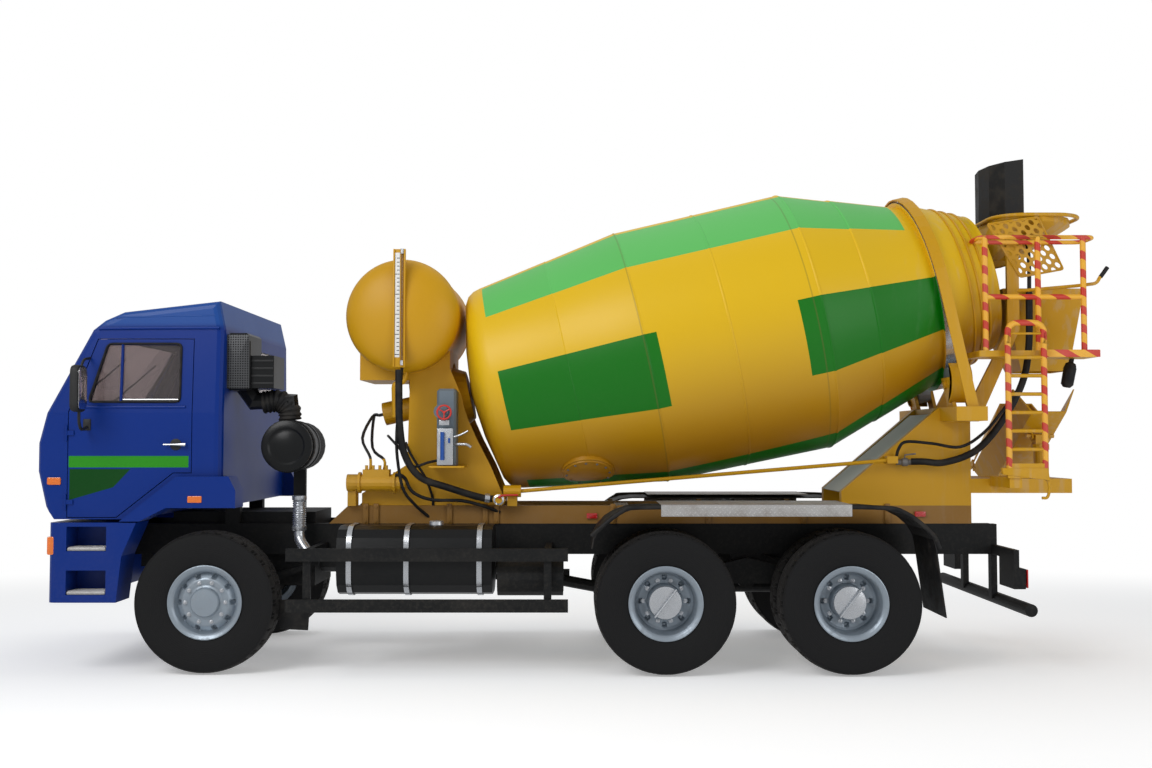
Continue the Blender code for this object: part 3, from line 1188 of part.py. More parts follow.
def loft(sections, wall=None):
    """A solid through closed sections of equal corner counts, stacked; with a wall it is an open funnel."""
    work = bmesh.new()
    loops = [[work.verts.new(corner) for corner in section] for section in sections]
    count = len(loops[0])
    for lower, upper in zip(loops, loops[1:]):
        for i in range(count):
            j = (i + 1) % count
            work.faces.new((lower[i], lower[j], upper[j], upper[i]))
    if wall is None:
        work.faces.new(loops[0])
        work.faces.new(loops[-1])
    bmesh.ops.recalc_face_normals(work, faces=work.faces)
    obj = from_bmesh(work)
    if wall is None:
        return face_out(obj)
    shell = obj.modifiers.new("wall", "SOLIDIFY")
    shell.thickness = wall
    shell.offset = 0
    return face_out(settle(obj))


def oval(x, z, length, width):
    """A level oval section; its first corner is the rear-most."""
    angles = [2 * math.pi * i / OVAL_CORNERS for i in range(OVAL_CORNERS)]
    return [(x + math.cos(angle) * length / 2, math.sin(angle) * width / 2, z) for angle in angles]


OVAL_CORNERS = 16


def rectangle(front, rear, half_width, z):
    return [(front, -half_width, z), (rear, -half_width, z), (rear, half_width, z), (front, half_width, z)]


HOPPER_EAR_Z = 3.52
HOPPER_EAR_INNER_Y = 0.33


def hopper():
    """The charging hopper, an oval cone that leans into the drum's mouth, on its two struts."""
    shell = loft([oval(HOPPER_X, HOPPER_RIM_Z, HOPPER_RIM_LENGTH, HOPPER_RIM_WIDTH),
                  oval(HOPPER_X, HOPPER_RIM_Z - HOPPER_COLLAR, HOPPER_RIM_LENGTH, HOPPER_RIM_WIDTH),
                  oval(HOPPER_THROAT_X, HOPPER_THROAT_Z, HOPPER_THROAT_LENGTH, HOPPER_THROAT_WIDTH)],
                 HOPPER_WALL)
    ears = box((COLUMN_KNEE_X + FUSE, -COLUMN_Y + SEAT_GAP, HOPPER_EAR_Z),
               (COLUMN_KNEE_X + COLUMN_DEPTH - FUSE, -HOPPER_EAR_INNER_Y, COLUMN_TOP_Z - FUSE))
    return node("hopper", union(shell, *both_sides(ears)), "mixer_yellow")


def rubber_flap():
    """The black flap that stands on the front half of the hopper's rim."""
    quarter_turn = OVAL_CORNERS // 4
    outer = oval(HOPPER_X, 0, HOPPER_RIM_LENGTH + FLAP_THICK, HOPPER_RIM_WIDTH + FLAP_THICK)
    inner = oval(HOPPER_X, 0, HOPPER_RIM_LENGTH - FLAP_THICK, HOPPER_RIM_WIDTH - FLAP_THICK)
    front = range(quarter_turn + 1, 3 * quarter_turn)
    outline = [outer[i][:2] for i in front] + [inner[i][:2] for i in reversed(front)]
    body = plate(outline, HOPPER_RIM_Z + SEAT_GAP, FLAP_TOP_Z, across="z")
    return node("rubber_flap", body, "rubber_black")


def discharge_funnel():
    """The funnel that gathers what the drum lets out and drops it on the chute."""
    shell = loft([rectangle(FUNNEL_FRONT_X, FUNNEL_REAR_X, FUNNEL_HALF_WIDTH, FUNNEL_TOP_Z),
                  rectangle(FUNNEL_LOW_FRONT_X, FUNNEL_LOW_REAR_X, FUNNEL_LOW_HALF_WIDTH, FUNNEL_LOW_Z)],
                 HOPPER_WALL)
    lug = box((COLUMN_KNEE_X + FUSE, -COLUMN_Y + SEAT_GAP, FUNNEL_TOP_Z - FUNNEL_LUG_HEIGHT),
              (COLUMN_KNEE_X + COLUMN_DEPTH - FUSE, -FUNNEL_HALF_WIDTH + FUNNEL_LUG_LAP, FUNNEL_TOP_Z - FUSE))
    return node("discharge_funnel", union(shell, *both_sides(lug)), "mixer_yellow")


# Platform with rails, and ladder
PLATFORM_FRONT_X = 6.17
PLATFORM_REAR_X = 7.15
PLATFORM_OUTER_Y = 0.86
PLATFORM_INNER_Y = COLUMN_Y + COLUMN_THICK + SEAT_GAP
PLATFORM_Z = 2.50
PLATFORM_THICK = 0.05
RAIL_BAR = 0.017
HAND_RAIL_Z = 3.49
KNEE_RAIL_Z = 2.99
RAIL_POST_X = (6.235, 6.665, 7.035)
LADDER_Y = 0.92
LADDER_FRONT_X = 6.38
LADDER_REAR_X = 6.67
LADDER_LOW_Z = 1.62
LADDER_TOP_Z = 2.70
RUNG_COUNT = 5
RUNG_LOW_Z = 1.75
RUNG_PITCH = 0.148
RUNG_RADIUS = 0.009
STEP_PLATE_LOW_Z = 1.52
LADDER_ARM_HEIGHT = 0.06
LADDER_ARM_WIDTH = 0.10


def platform():
    """The tread plate behind the drum on its arm, with three posts, a hand rail and a knee rail."""
    deck = box((PLATFORM_FRONT_X, -PLATFORM_OUTER_Y, PLATFORM_Z),
               (PLATFORM_REAR_X, -PLATFORM_INNER_Y, PLATFORM_Z + PLATFORM_THICK))
    y = -PLATFORM_OUTER_Y + 2 * RAIL_BAR
    posts = [rod((x, y, PLATFORM_Z + FUSE), (x, y, HAND_RAIL_Z), RAIL_BAR, SMALL_SIDES) for x in RAIL_POST_X]
    bars = [rod((RAIL_POST_X[0] - RAIL_BAR / 2, y, z), (RAIL_POST_X[-1] + RAIL_BAR / 2, y, z),
                RAIL_BAR - 2 * STUB_INSET, SMALL_SIDES) for z in (HAND_RAIL_Z - RAIL_BAR, KNEE_RAIL_Z)]
    return node("platform", union(deck, *posts, *bars), "mixer_yellow")


def ladder():
    """The ladder from the platform down: two stiles joined by a loop, five rungs and a foot plate,
    held at the deck's edge and by an arm from the rear pedestal."""
    stiles = [rod((x, -LADDER_Y, LADDER_LOW_Z), (x, -LADDER_Y, LADDER_TOP_Z), RAIL_BAR, SMALL_SIDES)
              for x in (LADDER_FRONT_X, LADDER_REAR_X)]
    heights = [RUNG_LOW_Z + i * RUNG_PITCH for i in range(RUNG_COUNT)] + [LADDER_TOP_Z - RAIL_BAR]
    rungs = [rod((LADDER_FRONT_X, -LADDER_Y, z), (LADDER_REAR_X, -LADDER_Y, z), RUNG_RADIUS, SMALL_SIDES)
             for z in heights]
    half = RAIL_BAR + STUB_INSET
    foot = box((LADDER_FRONT_X - half, -LADDER_Y - half, STEP_PLATE_LOW_Z),
               (LADDER_REAR_X + half, -LADDER_Y + half, LADDER_LOW_Z + RAIL_BAR))
    clips = [box((x - RUNG_RADIUS - STUB_INSET, -LADDER_Y + STUB_INSET, PLATFORM_Z + FUSE),
                 (x + RUNG_RADIUS + STUB_INSET, -PLATFORM_OUTER_Y - SEAT_GAP,
                  PLATFORM_Z + PLATFORM_THICK - FUSE)) for x in (LADDER_FRONT_X, LADDER_REAR_X)]
    arm = box((LADDER_FRONT_X, -LADDER_Y, ARM_Z - LADDER_ARM_HEIGHT),
              (LADDER_FRONT_X + LADDER_ARM_WIDTH, FUSE - SEAT_GAP - RAIL_OUTER_Y, STEP_PLATE_LOW_Z + FUSE))
    return node("ladder", union(*stiles, *rungs, foot, *clips, arm), "mixer_yellow")


# Rear fenders
FENDER_OUTER_Y = 1.245
FENDER_INNER_Y = 0.60
FENDER_SHEET = 0.010
FENDER_FRONT_X = 3.02
FENDER_FRONT_Z = 0.98
FENDER_TOP_Z = 1.30
FENDER_TOP_FRONT_X = 3.42
FENDER_TOP_REAR_X = 5.22
FENDER_REAR_X = 5.70
FENDER_REAR_Z = 0.98
FLAP_LOW_Z = 0.45
FLAP_X = 5.77
FENDER_ARC_STEPS = 6
FENDER_STAY = 0.022


def quarter(start, end, bulge_first):
    """Points of a quarter ellipse between two corners, rising first or running first."""
    points = []
    for i in range(FENDER_ARC_STEPS + 1):
        angle = math.pi / 2 * i / FENDER_ARC_STEPS
        if bulge_first:
            a, b = 1 - math.cos(angle), math.sin(angle)
        else:
            a, b = math.sin(angle), 1 - math.cos(angle)
        points.append((start[0] + (end[0] - start[0]) * a, start[1] + (end[1] - start[1]) * b))
    return points


def fender(side):
    """One sheet over both rear wheels, carried by a stay from the rail, its flap hanging behind."""
    line = (quarter((FENDER_FRONT_X, FENDER_FRONT_Z), (FENDER_TOP_FRONT_X, FENDER_TOP_Z), True)
            + quarter((FENDER_TOP_REAR_X, FENDER_TOP_Z), (FENDER_REAR_X, FENDER_REAR_Z), False)
            + [(FLAP_X, FLAP_LOW_Z)])
    inner = []
    for x, z in line:
        over_wheels = FENDER_TOP_FRONT_X <= x <= FENDER_TOP_REAR_X
        inward = 0 if over_wheels else FENDER_SHEET if x < FENDER_TOP_FRONT_X else -FENDER_SHEET
        inner.append((x + inward, z - (FENDER_SHEET if z > FENDER_FRONT_Z else 0)))
    sheet = plate(line + inner[::-1], -FENDER_OUTER_Y, -FENDER_INNER_Y)
    stay_z = FENDER_TOP_Z - FENDER_SHEET - FENDER_STAY + FUSE
    stay = rod((BOGIE_X, -RAIL_OUTER_Y - SEAT_GAP, stay_z), (BOGIE_X, -FENDER_OUTER_Y + FENDER_STAY, stay_z),
               FENDER_STAY, SMALL_SIDES)
    return node("fender_" + side, on_side(union(sheet, stay), side), "rubber_black")


# Underrun bar with its hangers and lamp brackets
UNDERRUN_X = 6.44
UNDERRUN_Z = 0.50
UNDERRUN_RADIUS = 0.05
UNDERRUN_HALF_WIDTH = 1.20
HANGER_WIDTH = 0.05
LAMP_PLATE_LOW_Z = 0.64
LAMP_PLATE_Y = 0.98
LAMP_PLATE_WIDTH = 0.36
TAIL_LAMP_DEPTH = 0.05
TAIL_LAMP_HEIGHT = 0.16
LAMP_CARRIER_HEIGHT = 0.08


def underrun_bar():
    """The bar across the tail on two hangers, with the lamp carrier above it."""
    bar = rod((UNDERRUN_X, -UNDERRUN_HALF_WIDTH, UNDERRUN_Z), (UNDERRUN_X, UNDERRUN_HALF_WIDTH, UNDERRUN_Z),
              UNDERRUN_RADIUS)
    rear = RAIL_REAR_X + SEAT_GAP
    low = RAIL_TOP_Z - RAIL_DEPTH
    hanger = box((rear, -RAIL_OUTER_Y, UNDERRUN_Z),
                 (rear + HANGER_WIDTH, -RAIL_OUTER_Y + RAIL_FLANGE, RAIL_TOP_Z - FUSE))
    inner_y = -LAMP_PLATE_Y + LAMP_PLATE_WIDTH
    back_x = rear + HANGER_WIDTH - FUSE
    carrier = box((rear + FUSE, -LAMP_PLATE_Y, low), (back_x, LAMP_PLATE_Y, low + LAMP_CARRIER_HEIGHT))
    back = box((rear + FUSE, -LAMP_PLATE_Y, LAMP_PLATE_LOW_Z), (back_x, inner_y, low + FUSE))
    lamp = box((back_x - FUSE, -LAMP_PLATE_Y, LAMP_PLATE_LOW_Z),
               (back_x + TAIL_LAMP_DEPTH, inner_y, LAMP_PLATE_LOW_Z + TAIL_LAMP_HEIGHT))
    body = union(carrier, *both_sides(hanger), bar, *both_sides(back), *both_sides(lamp))
    return node("underrun_bar", body, "chassis_black")


# Chute
CHUTE_PIVOT_Z = 1.86
CHUTE_HALF_WIDTH = 0.27
CHUTE_DEPTH = 0.24
CHUTE_WALL = 0.012
CHUTE_LENGTH = 1.05
CHUTE_SLOPE_DEG = 32
CARRIER_HEIGHT = 0.05
CARRIER_HEAD_RADIUS = 0.077
CARRIER_FORK_Y = 0.12
CHUTE_BACK = 0.30
CHUTE_REST_DEG = 90
EXTENSION_LENGTH = 0.70
HINGE_RADIUS = 0.018


def turned_out(obj, centre, degrees):
    """The piece turned about an upright line through a point."""
    turn = Matrix.Rotation(math.radians(degrees), 4, "Z")
    obj.data.transform(Matrix.Translation(Vector(centre)) @ turn @ Matrix.Translation(-Vector(centre)))
    return obj


CHUTE_CENTRE = Vector((POST_X, 0, CHUTE_PIVOT_Z))
CHUTE_TURN = (Matrix.Rotation(math.radians(CHUTE_REST_DEG), 4, "Z")
              @ Matrix.Rotation(math.radians(CHUTE_SLOPE_DEG), 4, "Y"))


def chute_carrier():
    """The head that turns on the post and holds the chute's pivot between two cheeks."""
    low = POST_TOP_Z + SEAT_GAP
    head = rod((POST_X, 0, low), (POST_X, 0, low + CARRIER_HEIGHT), CARRIER_HEAD_RADIUS)
    pin = rod((POST_X, -CARRIER_FORK_Y, CHUTE_PIVOT_Z), (POST_X, CARRIER_FORK_Y, CHUTE_PIVOT_Z),
              HINGE_RADIUS, PIPE_SIDES)
    cheek = box((POST_X - POST_RADIUS, -POST_RADIUS, low + CARRIER_HEIGHT - FUSE),
                (POST_X + POST_RADIUS, POST_RADIUS, CHUTE_PIVOT_Z + HINGE_RADIUS / 2))
    body = turned_out(union(head, cheek, pin), CHUTE_CENTRE, CHUTE_REST_DEG)
    return node("chute_carrier", body, "mixer_yellow", (POST_X, 0, low))


def trough(length_low, length_high, half_width, depth, wall):
    """An open U-shaped trough along X with its pivot line at the origin, pointing to +X."""
    floor = half_width * U_SHARE
    corners = [(-half_width, 0), (-floor, -depth), (floor, -depth), (half_width, 0), (half_width - wall, 0),
               (floor - wall, -depth + wall), (-floor + wall, -depth + wall), (-half_width + wall, 0)]
    return plate(corners, length_low, length_high, across="x")


U_SHARE = 0.55              # the trough's floor, as a share of its rim's width


def place_chute(obj, lift):
    """Slope the trough down to the rear, lift it over its pivot and turn it to its rest."""
    obj.data.transform(Matrix.Translation(CHUTE_CENTRE) @ CHUTE_TURN @ Matrix.Translation((0, 0, lift)))
    return obj


CHUTE_STAND = 0.05          # the trough's floor over its pivot
CHUTE_LIFT = CHUTE_DEPTH + CHUTE_STAND


def chute():
    """The main chute, a trough with eyes under its floor for the carrier's pin."""
    body = trough(-CHUTE_BACK, CHUTE_LENGTH, CHUTE_HALF_WIDTH, CHUTE_DEPTH, CHUTE_WALL)
    ear_y = POST_RADIUS + RUNNING_GAP + CHUTE_WALL
    ear = box((-POST_RADIUS / 2, -ear_y - CHUTE_WALL / 2, -CHUTE_LIFT - 2 * HINGE_RADIUS),
              (POST_RADIUS / 2, -ear_y + CHUTE_WALL / 2, -CHUTE_DEPTH + FUSE))
    bores = rod((0, -CHUTE_HALF_WIDTH, -CHUTE_LIFT), (0, CHUTE_HALF_WIDTH, -CHUTE_LIFT),
                HINGE_RADIUS + PIN_GAP, PIPE_SIDES)
    inner_y = -CHUTE_HALF_WIDTH + CHUTE_WALL
    stub = box((CHUTE_LENGTH - 3 * HINGE_RADIUS, -CHUTE_HALF_WIDTH + STUB_INSET, -FUSE - HINGE_RADIUS),
               (CHUTE_LENGTH + HINGE_PIN_RADIUS / 2, inner_y, HINGE_LIFT + HINGE_PIN_RADIUS + STUB_INSET))
    pin = rod((CHUTE_LENGTH, -CHUTE_HALF_WIDTH - 2 * CHUTE_WALL, HINGE_LIFT),
              (CHUTE_LENGTH, inner_y - CHUTE_WALL / 2, HINGE_LIFT), HINGE_PIN_RADIUS, SMALL_SIDES)
    body = union(cut(union(body, *both_sides(ear)), bores), *both_sides(stub), *both_sides(pin))
    return node("chute", place_chute(body, CHUTE_LIFT), "mixer_yellow", CHUTE_CENTRE)


def chute_extension():
    """The folding end of the chute, stored upside down on top of it, hinged at its lower end."""
    body = trough(CHUTE_LENGTH + 2 * RUNNING_GAP, CHUTE_LENGTH + EXTENSION_LENGTH, CHUTE_HALF_WIDTH,
                  CHUTE_DEPTH, CHUTE_WALL)
    eye_y = -CHUTE_HALF_WIDTH - PIN_GAP
    ear = box((CHUTE_LENGTH - HINGE_RADIUS, eye_y - CHUTE_WALL, -HINGE_RADIUS),
              (CHUTE_LENGTH + 4 * HINGE_RADIUS, eye_y, HINGE_LIFT + HINGE_RADIUS))
    spacer = box((CHUTE_LENGTH + 2 * HINGE_RADIUS, eye_y - CHUTE_WALL / 2, -HINGE_RADIUS),
                 (CHUTE_LENGTH + 4 * HINGE_RADIUS - FUSE, -CHUTE_HALF_WIDTH + CHUTE_WALL / 2, -FUSE))
    bore = rod((CHUTE_LENGTH, -CHUTE_HALF_WIDTH - OVERRUN, HINGE_LIFT),
               (CHUTE_LENGTH, CHUTE_HALF_WIDTH + OVERRUN, HINGE_LIFT),
               HINGE_PIN_RADIUS + PIN_GAP, SMALL_SIDES)
    body = cut(union(body, *both_sides(ear), *both_sides(spacer)), bore)
    fold = (Matrix.Translation((CHUTE_LENGTH, 0, HINGE_LIFT)) @ Matrix.Rotation(math.pi, 4, "Y")
            @ Matrix.Translation((-CHUTE_LENGTH, 0, -HINGE_LIFT)))
    body.data.transform(fold)
    hinge = chute_point(CHUTE_LENGTH, CHUTE_LIFT + HINGE_LIFT)
    return node("chute_extension", place_chute(body, CHUTE_LIFT), "mixer_yellow", hinge)


HINGE_LIFT = 0.022
HINGE_PIN_RADIUS = 0.010
STUB_INSET = 0.002


def chute_point(along, lift):
    """Where a point of the chute, given along it and over its pivot, stands at rest."""
    return CHUTE_CENTRE + CHUTE_TURN @ Vector((along, 0, lift))


# Cab
ROOF_INSET = 0.05
CAB_ROUND = 0.09
CAB_LEAN_SHARE = 0.05       # how much narrower the roof is than the belt
NOSE_REAR_X = -1.115
WINDSCREEN_LOW_Z = 2.09
WINDSCREEN_HIGH_Z = 2.655
WINDSCREEN_SIDE = 0.18      # left at each side of the windscreen
WINDSCREEN_HALF_WIDTH = CAB_HALF_WIDTH - WINDSCREEN_SIDE
GLASS_INSET = 0.016
GLASS_THICK = 0.006
REAR_WINDOW_LOW_Z = 2.20
REAR_WINDOW_HIGH_Z = 2.60
REAR_WINDOW_HALF_WIDTH = 0.62
FLARE_PROUD = 0.05
FLARE_DEPTH = 0.24
FLARE_OUTER_Y = CAB_HALF_WIDTH + FLARE_PROUD
FLARE_INNER_Y = FLARE_OUTER_Y - FLARE_DEPTH
FLARE_TOE_X = -0.66         # front end of the wheel arch flare
FLARE_TOE_Z = 1.19
FLARE_HEEL_X = -0.505
FLARE_TOP_FRONT_X = -0.22
FLARE_TOP_REAR_X = 0.19
FLARE_TOP_Z = 1.54
FLARE_CORNER = 0.11
FLARE_REAR_X = 0.245
FLARE_LOW_Z = 1.295
FLARE_LOW_FRONT_X = -0.30
DOOR_FRONT_X = -1.083
DOOR_REAR_X = -0.118
DOOR_LOW_Z = 1.222
DOOR_HIGH_Z = 2.62
DOOR_BROW_X = -0.87
DOOR_SILL_X = -0.70
DOOR_ARCH_X = -0.26
DOOR_ARCH_Z = 1.57
WINDOW_FRONT_X = -0.93
WINDOW_BROW_X = -0.80
WINDOW_REAR_X = -0.215
WINDOW_LOW_Z = 2.12
WINDOW_HIGH_Z = 2.575
SEAM_DROP = 0.012           # the cab's cross seams lie this far under its form lines
ROOF_SEAM_Z = GUTTER_Z - SEAM_DROP
BELT_SEAM_Z = CAB_BELT_Z - SEAM_DROP


def cab_solid(inset):
    """The cab's outer form, drawn in from its skin by the inset: its long edges are rounded, and it
    leans in above the belt."""
    side_line = [(CAB_CHIN_X + inset, CAB_FLOOR_Z + inset), (FOOTWELL_REAR_X, CAB_FLOOR_Z + inset),
                 (ARCH_START_X, CAB_ARCH_Z + inset), (CAB_REAR_X - inset, CAB_ARCH_Z + inset),
                 (CAB_REAR_X - inset, CAB_BELT_Z), (CAB_REAR_X - inset, GUTTER_Z),
                 (CAB_REAR_X - ROOF_INSET - inset, ROOF_REAR_Z - inset),
                 (ROOF_FRONT_X + inset, ROOF_FRONT_Z - inset), (ROOF_TURN_X + inset, ROOF_TURN_Z - inset),
                 (CAB_BROW_X + inset, GUTTER_Z),
                 (CAB_BELT_X + inset, CAB_BELT_Z), (CAB_NOSE_X + inset, NOSE_TOP_Z),
                 (CAB_NOSE_X + inset, CAB_NOSE_Z), (NOSE_LOW_X + inset, NOSE_LOW_Z)]
    half = CAB_HALF_WIDTH - inset
    obj = plate(side_line, -half, half)
    work = bmesh.new()
    work.from_mesh(obj.data)
    bmesh.ops.dissolve_limit(work, angle_limit=FLAT_ANGLE, verts=work.verts, edges=work.edges)
    floor_z = CAB_ARCH_Z + inset + OVERRUN / 2
    edges = []
    for edge in work.edges:
        first, second = edge.verts[0].co, edge.verts[1].co
        same_side = abs(first.y - second.y) < FUSE
        if same_side and (first.z + second.z) / 2 > floor_z:
            edges.append(edge)
    bmesh.ops.bevel(work, geom=edges, offset=CAB_ROUND - inset * HALF_SHARE, segments=CORNER_SEGMENTS,
                    profile=HALF_SHARE, affect="EDGES", clamp_overlap=True)
    bmesh.ops.bisect_plane(work, geom=list(work.verts) + list(work.edges) + list(work.faces),
                           plane_co=(0, 0, CAB_BELT_Z), plane_no=(0, 0, 1), dist=MERGE)
    bmesh.ops.triangulate(work, faces=work.faces)
    for vertex in work.verts:
        rise = max(vertex.co.z - CAB_BELT_Z, 0) / (ROOF_REAR_Z - CAB_BELT_Z)
        vertex.co.y *= 1 - CAB_LEAN_SHARE * rise
    work.to_mesh(obj.data)
    work.free()
    return face_out(obj)


FLAT_ANGLE = math.radians(1)


def cab_skin(outer, inner):
    """The cab's skin between two insets."""
    return cut(cab_solid(outer), cab_solid(inner))


def door_line(margin):
    """The door's outline in side view, grown by a margin."""
    rear, high = DOOR_REAR_X + margin, DOOR_HIGH_Z + margin
    low, arch = DOOR_LOW_Z - margin, DOOR_ARCH_Z - margin
    return [(DOOR_FRONT_X - margin, low), (DOOR_SILL_X + margin * HALF_SHARE, low),
            (DOOR_ARCH_X + margin * HALF_SHARE, arch), (rear, arch), (rear, high),
            (DOOR_BROW_X - margin, high), (DOOR_FRONT_X - margin, CAB_BELT_Z + margin)]


def window_line(margin):
    """The door window's outline, grown by a margin."""
    low, high, rear = WINDOW_LOW_Z - margin, WINDOW_HIGH_Z + margin, WINDOW_REAR_X + margin
    return [(WINDOW_FRONT_X - margin, low), (rear, low), (rear, high), (WINDOW_BROW_X - margin, high)]


def side_prism(outline):
    """A cutter over the left side's thickness."""
    return plate(outline, -CAB_HALF_WIDTH - 2 * OVERRUN, -CAB_HALF_WIDTH + 4 * OVERRUN)


def windscreen_box(margin):
    return box((CAB_NOSE_X - OVERRUN, -WINDSCREEN_HALF_WIDTH - margin, WINDSCREEN_LOW_Z - margin),
               (ROOF_FRONT_X + 2 * OVERRUN, WINDSCREEN_HALF_WIDTH + margin, WINDSCREEN_HIGH_Z + margin))


def rear_window_box(margin):
    return box((CAB_REAR_X - 2 * OVERRUN, -REAR_WINDOW_HALF_WIDTH - margin, REAR_WINDOW_LOW_Z - margin),
               (CAB_REAR_X + OVERRUN, REAR_WINDOW_HALF_WIDTH + margin, REAR_WINDOW_HIGH_Z + margin))


def region(x_low, x_high, z_low, z_high):
    """A box across the whole width, used to divide the cab."""
    reach = CAB_HALF_WIDTH + 2 * OVERRUN
    return box((x_low, -reach, z_low), (x_high, reach, z_high))


def cab_shell():
    """Floor, sides, pillars and rear wall, with the door openings, windows and wheel arch flares."""
    body = cab_skin(0, CAB_WALL)
    far = CAB_NOSE_X - OVERRUN
    nose = region(far, NOSE_REAR_X + SEAT_GAP, CAB_FLOOR_Z - OVERRUN, BELT_SEAM_Z)
    roof_space = region(far, CAB_REAR_X + OVERRUN, ROOF_SEAM_Z, ROOF_REAR_Z + OVERRUN)
    doors = both_sides(side_prism(door_line(RUNNING_GAP)))
    flare = plate([(FLARE_TOE_X, FLARE_TOE_Z), (FLARE_TOP_FRONT_X, FLARE_TOP_Z),
                   (FLARE_TOP_REAR_X, FLARE_TOP_Z), (FLARE_REAR_X, FLARE_TOP_Z - FLARE_CORNER),
                   (FLARE_REAR_X, FLARE_LOW_Z), (FLARE_LOW_FRONT_X, FLARE_LOW_Z),
                   (FLARE_HEEL_X, FLARE_TOE_Z)], -FLARE_OUTER_Y, -FLARE_INNER_Y)
    body = cut(body, nose, roof_space, *doors, windscreen_box(0), rear_window_box(0))
    hinges = [piece for half in shell_hinges() for piece in both_sides(half)]
    return node("cab_shell", union(body, *both_sides(flare), *hinges), "cab_blue", CAB_PIVOT)


CAB_PIVOT = Vector((CAB_PIVOT_X, 0, CAB_PIVOT_Z))
GRILLE_HALF_WIDTH = 0.70
GRILLE_SLOT = 0.045
GRILLE_PITCH = 0.10
GRILLE_LOW_Z = 1.36
GRILLE_COUNT = 4


def front_panel():
    """The panel below the windscreen with its corners, slotted for the grille."""
    reach = CAB_NOSE_X - OVERRUN
    body = overlap(cab_skin(0, CAB_WALL),
                   region(reach, NOSE_REAR_X, CAB_FLOOR_Z - OVERRUN, BELT_SEAM_Z - SEAT_GAP))
    slots = [box((reach, -GRILLE_HALF_WIDTH, z),
                 (CAB_NOSE_X + 3 * CAB_WALL, GRILLE_HALF_WIDTH, z + GRILLE_SLOT))
             for z in (GRILLE_LOW_Z + i * GRILLE_PITCH for i in range(GRILLE_COUNT))]
    return node("front_panel", cut(body, *slots), "cab_blue", CAB_PIVOT)


def roof():
    """The roof cap above the gutter."""
    body = overlap(cab_skin(0, CAB_WALL),
                   region(CAB_NOSE_X, CAB_REAR_X + OVERRUN, ROOF_SEAM_Z + SEAT_GAP, ROOF_REAR_Z + OVERRUN))
    return node("roof", body, "cab_blue", CAB_PIVOT)


def glass(name, window, pivot):
    """A pane that follows the cab's skin inside a window's frame."""
    skin = cab_skin(GLASS_INSET, GLASS_INSET + GLASS_THICK)
    return node(name, overlap(skin, window), "glass_tint", pivot)


HINGE_Z = (1.32, 1.86)
DOOR_AXIS_AHEAD = 0.012
DOOR_AXIS_OUT = 0.010
DOOR_AXIS_X = DOOR_FRONT_X - DOOR_AXIS_AHEAD
DOOR_AXIS_Y = CAB_HALF_WIDTH + DOOR_AXIS_OUT
BARREL_RADIUS = 0.008
BARREL_HEIGHT = 0.04
LEAF_LENGTH = 0.045


def hinge_barrel(low):
    """One barrel on the left door's hinge line, from a height up."""
    return rod((DOOR_AXIS_X, -DOOR_AXIS_Y, low), (DOOR_AXIS_X, -DOOR_AXIS_Y, low + BARREL_HEIGHT),
               BARREL_RADIUS, SMALL_SIDES)


def shell_hinges():
    """The pillar's halves of the left door's hinges, one under and one over each barrel of the door."""
    pieces = []
    for z in HINGE_Z:
        for low in (z - BARREL_HEIGHT - SEAT_GAP, z + BARREL_HEIGHT + SEAT_GAP):
            pieces.append(hinge_barrel(low))
            pieces.append(box((DOOR_AXIS_X - BARREL_RADIUS - FUSE, -DOOR_AXIS_Y, low + STUB_INSET),
                              (DOOR_AXIS_X + STUB_INSET, -CAB_HALF_WIDTH + FUSE,
                               low + BARREL_HEIGHT - STUB_INSET)))
    return pieces


def door_hinges():
    """The left door's own barrels, each on a leaf that stands clear of the pillar."""
    pieces = []
    for z in HINGE_Z:
        pieces.append(hinge_barrel(z))
        pieces.append(box((DOOR_AXIS_X, -DOOR_AXIS_Y - STUB_INSET, z + STUB_INSET),
                          (DOOR_FRONT_X + LEAF_LENGTH, -CAB_HALF_WIDTH - STUB_INSET,
                           z + BARREL_HEIGHT - STUB_INSET)))
        pieces.append(box((DOOR_FRONT_X + STUB_INSET, -CAB_HALF_WIDTH - 2 * FUSE, z + 2 * STUB_INSET),
                          (DOOR_FRONT_X + LEAF_LENGTH - STUB_INSET, -CAB_HALF_WIDTH + FUSE,
                           z + BARREL_HEIGHT - 2 * STUB_INSET)))
    return pieces


def door_pivot(side):
    """The foot of the door's hinge line."""
    return (DOOR_AXIS_X, SIDES[side] * DOOR_AXIS_Y, DOOR_LOW_Z)


def door(side):
    """A whole door, as thick as the cab's wall, with its window cut."""
    body = overlap(cab_skin(0, CAB_WALL), side_prism(door_line(0)))
    inner_y = CAB_HALF_WIDTH - CAB_WALL + STUB_INSET
    floor_edge = box((DOOR_FRONT_X - OVERRUN, -inner_y, DOOR_LOW_Z - OVERRUN),
                     (DOOR_REAR_X + OVERRUN, inner_y, BELT_SEAM_Z))
    body = union(cut(body, side_prism(window_line(0)), floor_edge), *door_hinges())
    return node("door_" + side, on_side(body, side), "cab_blue", door_pivot(side))


def door_glass(side):
    """The door's window, a pane in line with the skin."""
    skin = overlap(cab_skin(GLASS_INSET, GLASS_INSET + GLASS_THICK), side_prism(window_line(-SEAT_GAP)))
    return node("door_glass_" + side, on_side(skin, side), "glass_tint", door_pivot(side))


MIRROR_X = -0.91
MIRROR_THICK = 0.07
MIRROR_WIDTH = 0.20
MIRROR_STAND = 0.15         # from the cab's side to the mirror
MIRROR_INNER_Y = CAB_HALF_WIDTH + MIRROR_STAND
MIRROR_LOW_Z = 2.05
MIRROR_HIGH_Z = 2.39
MIRROR_ARM_RADIUS = 0.012
MIRROR_FOOT_X = -1.00
MIRROR_FOOT_LOW_Z = 1.90


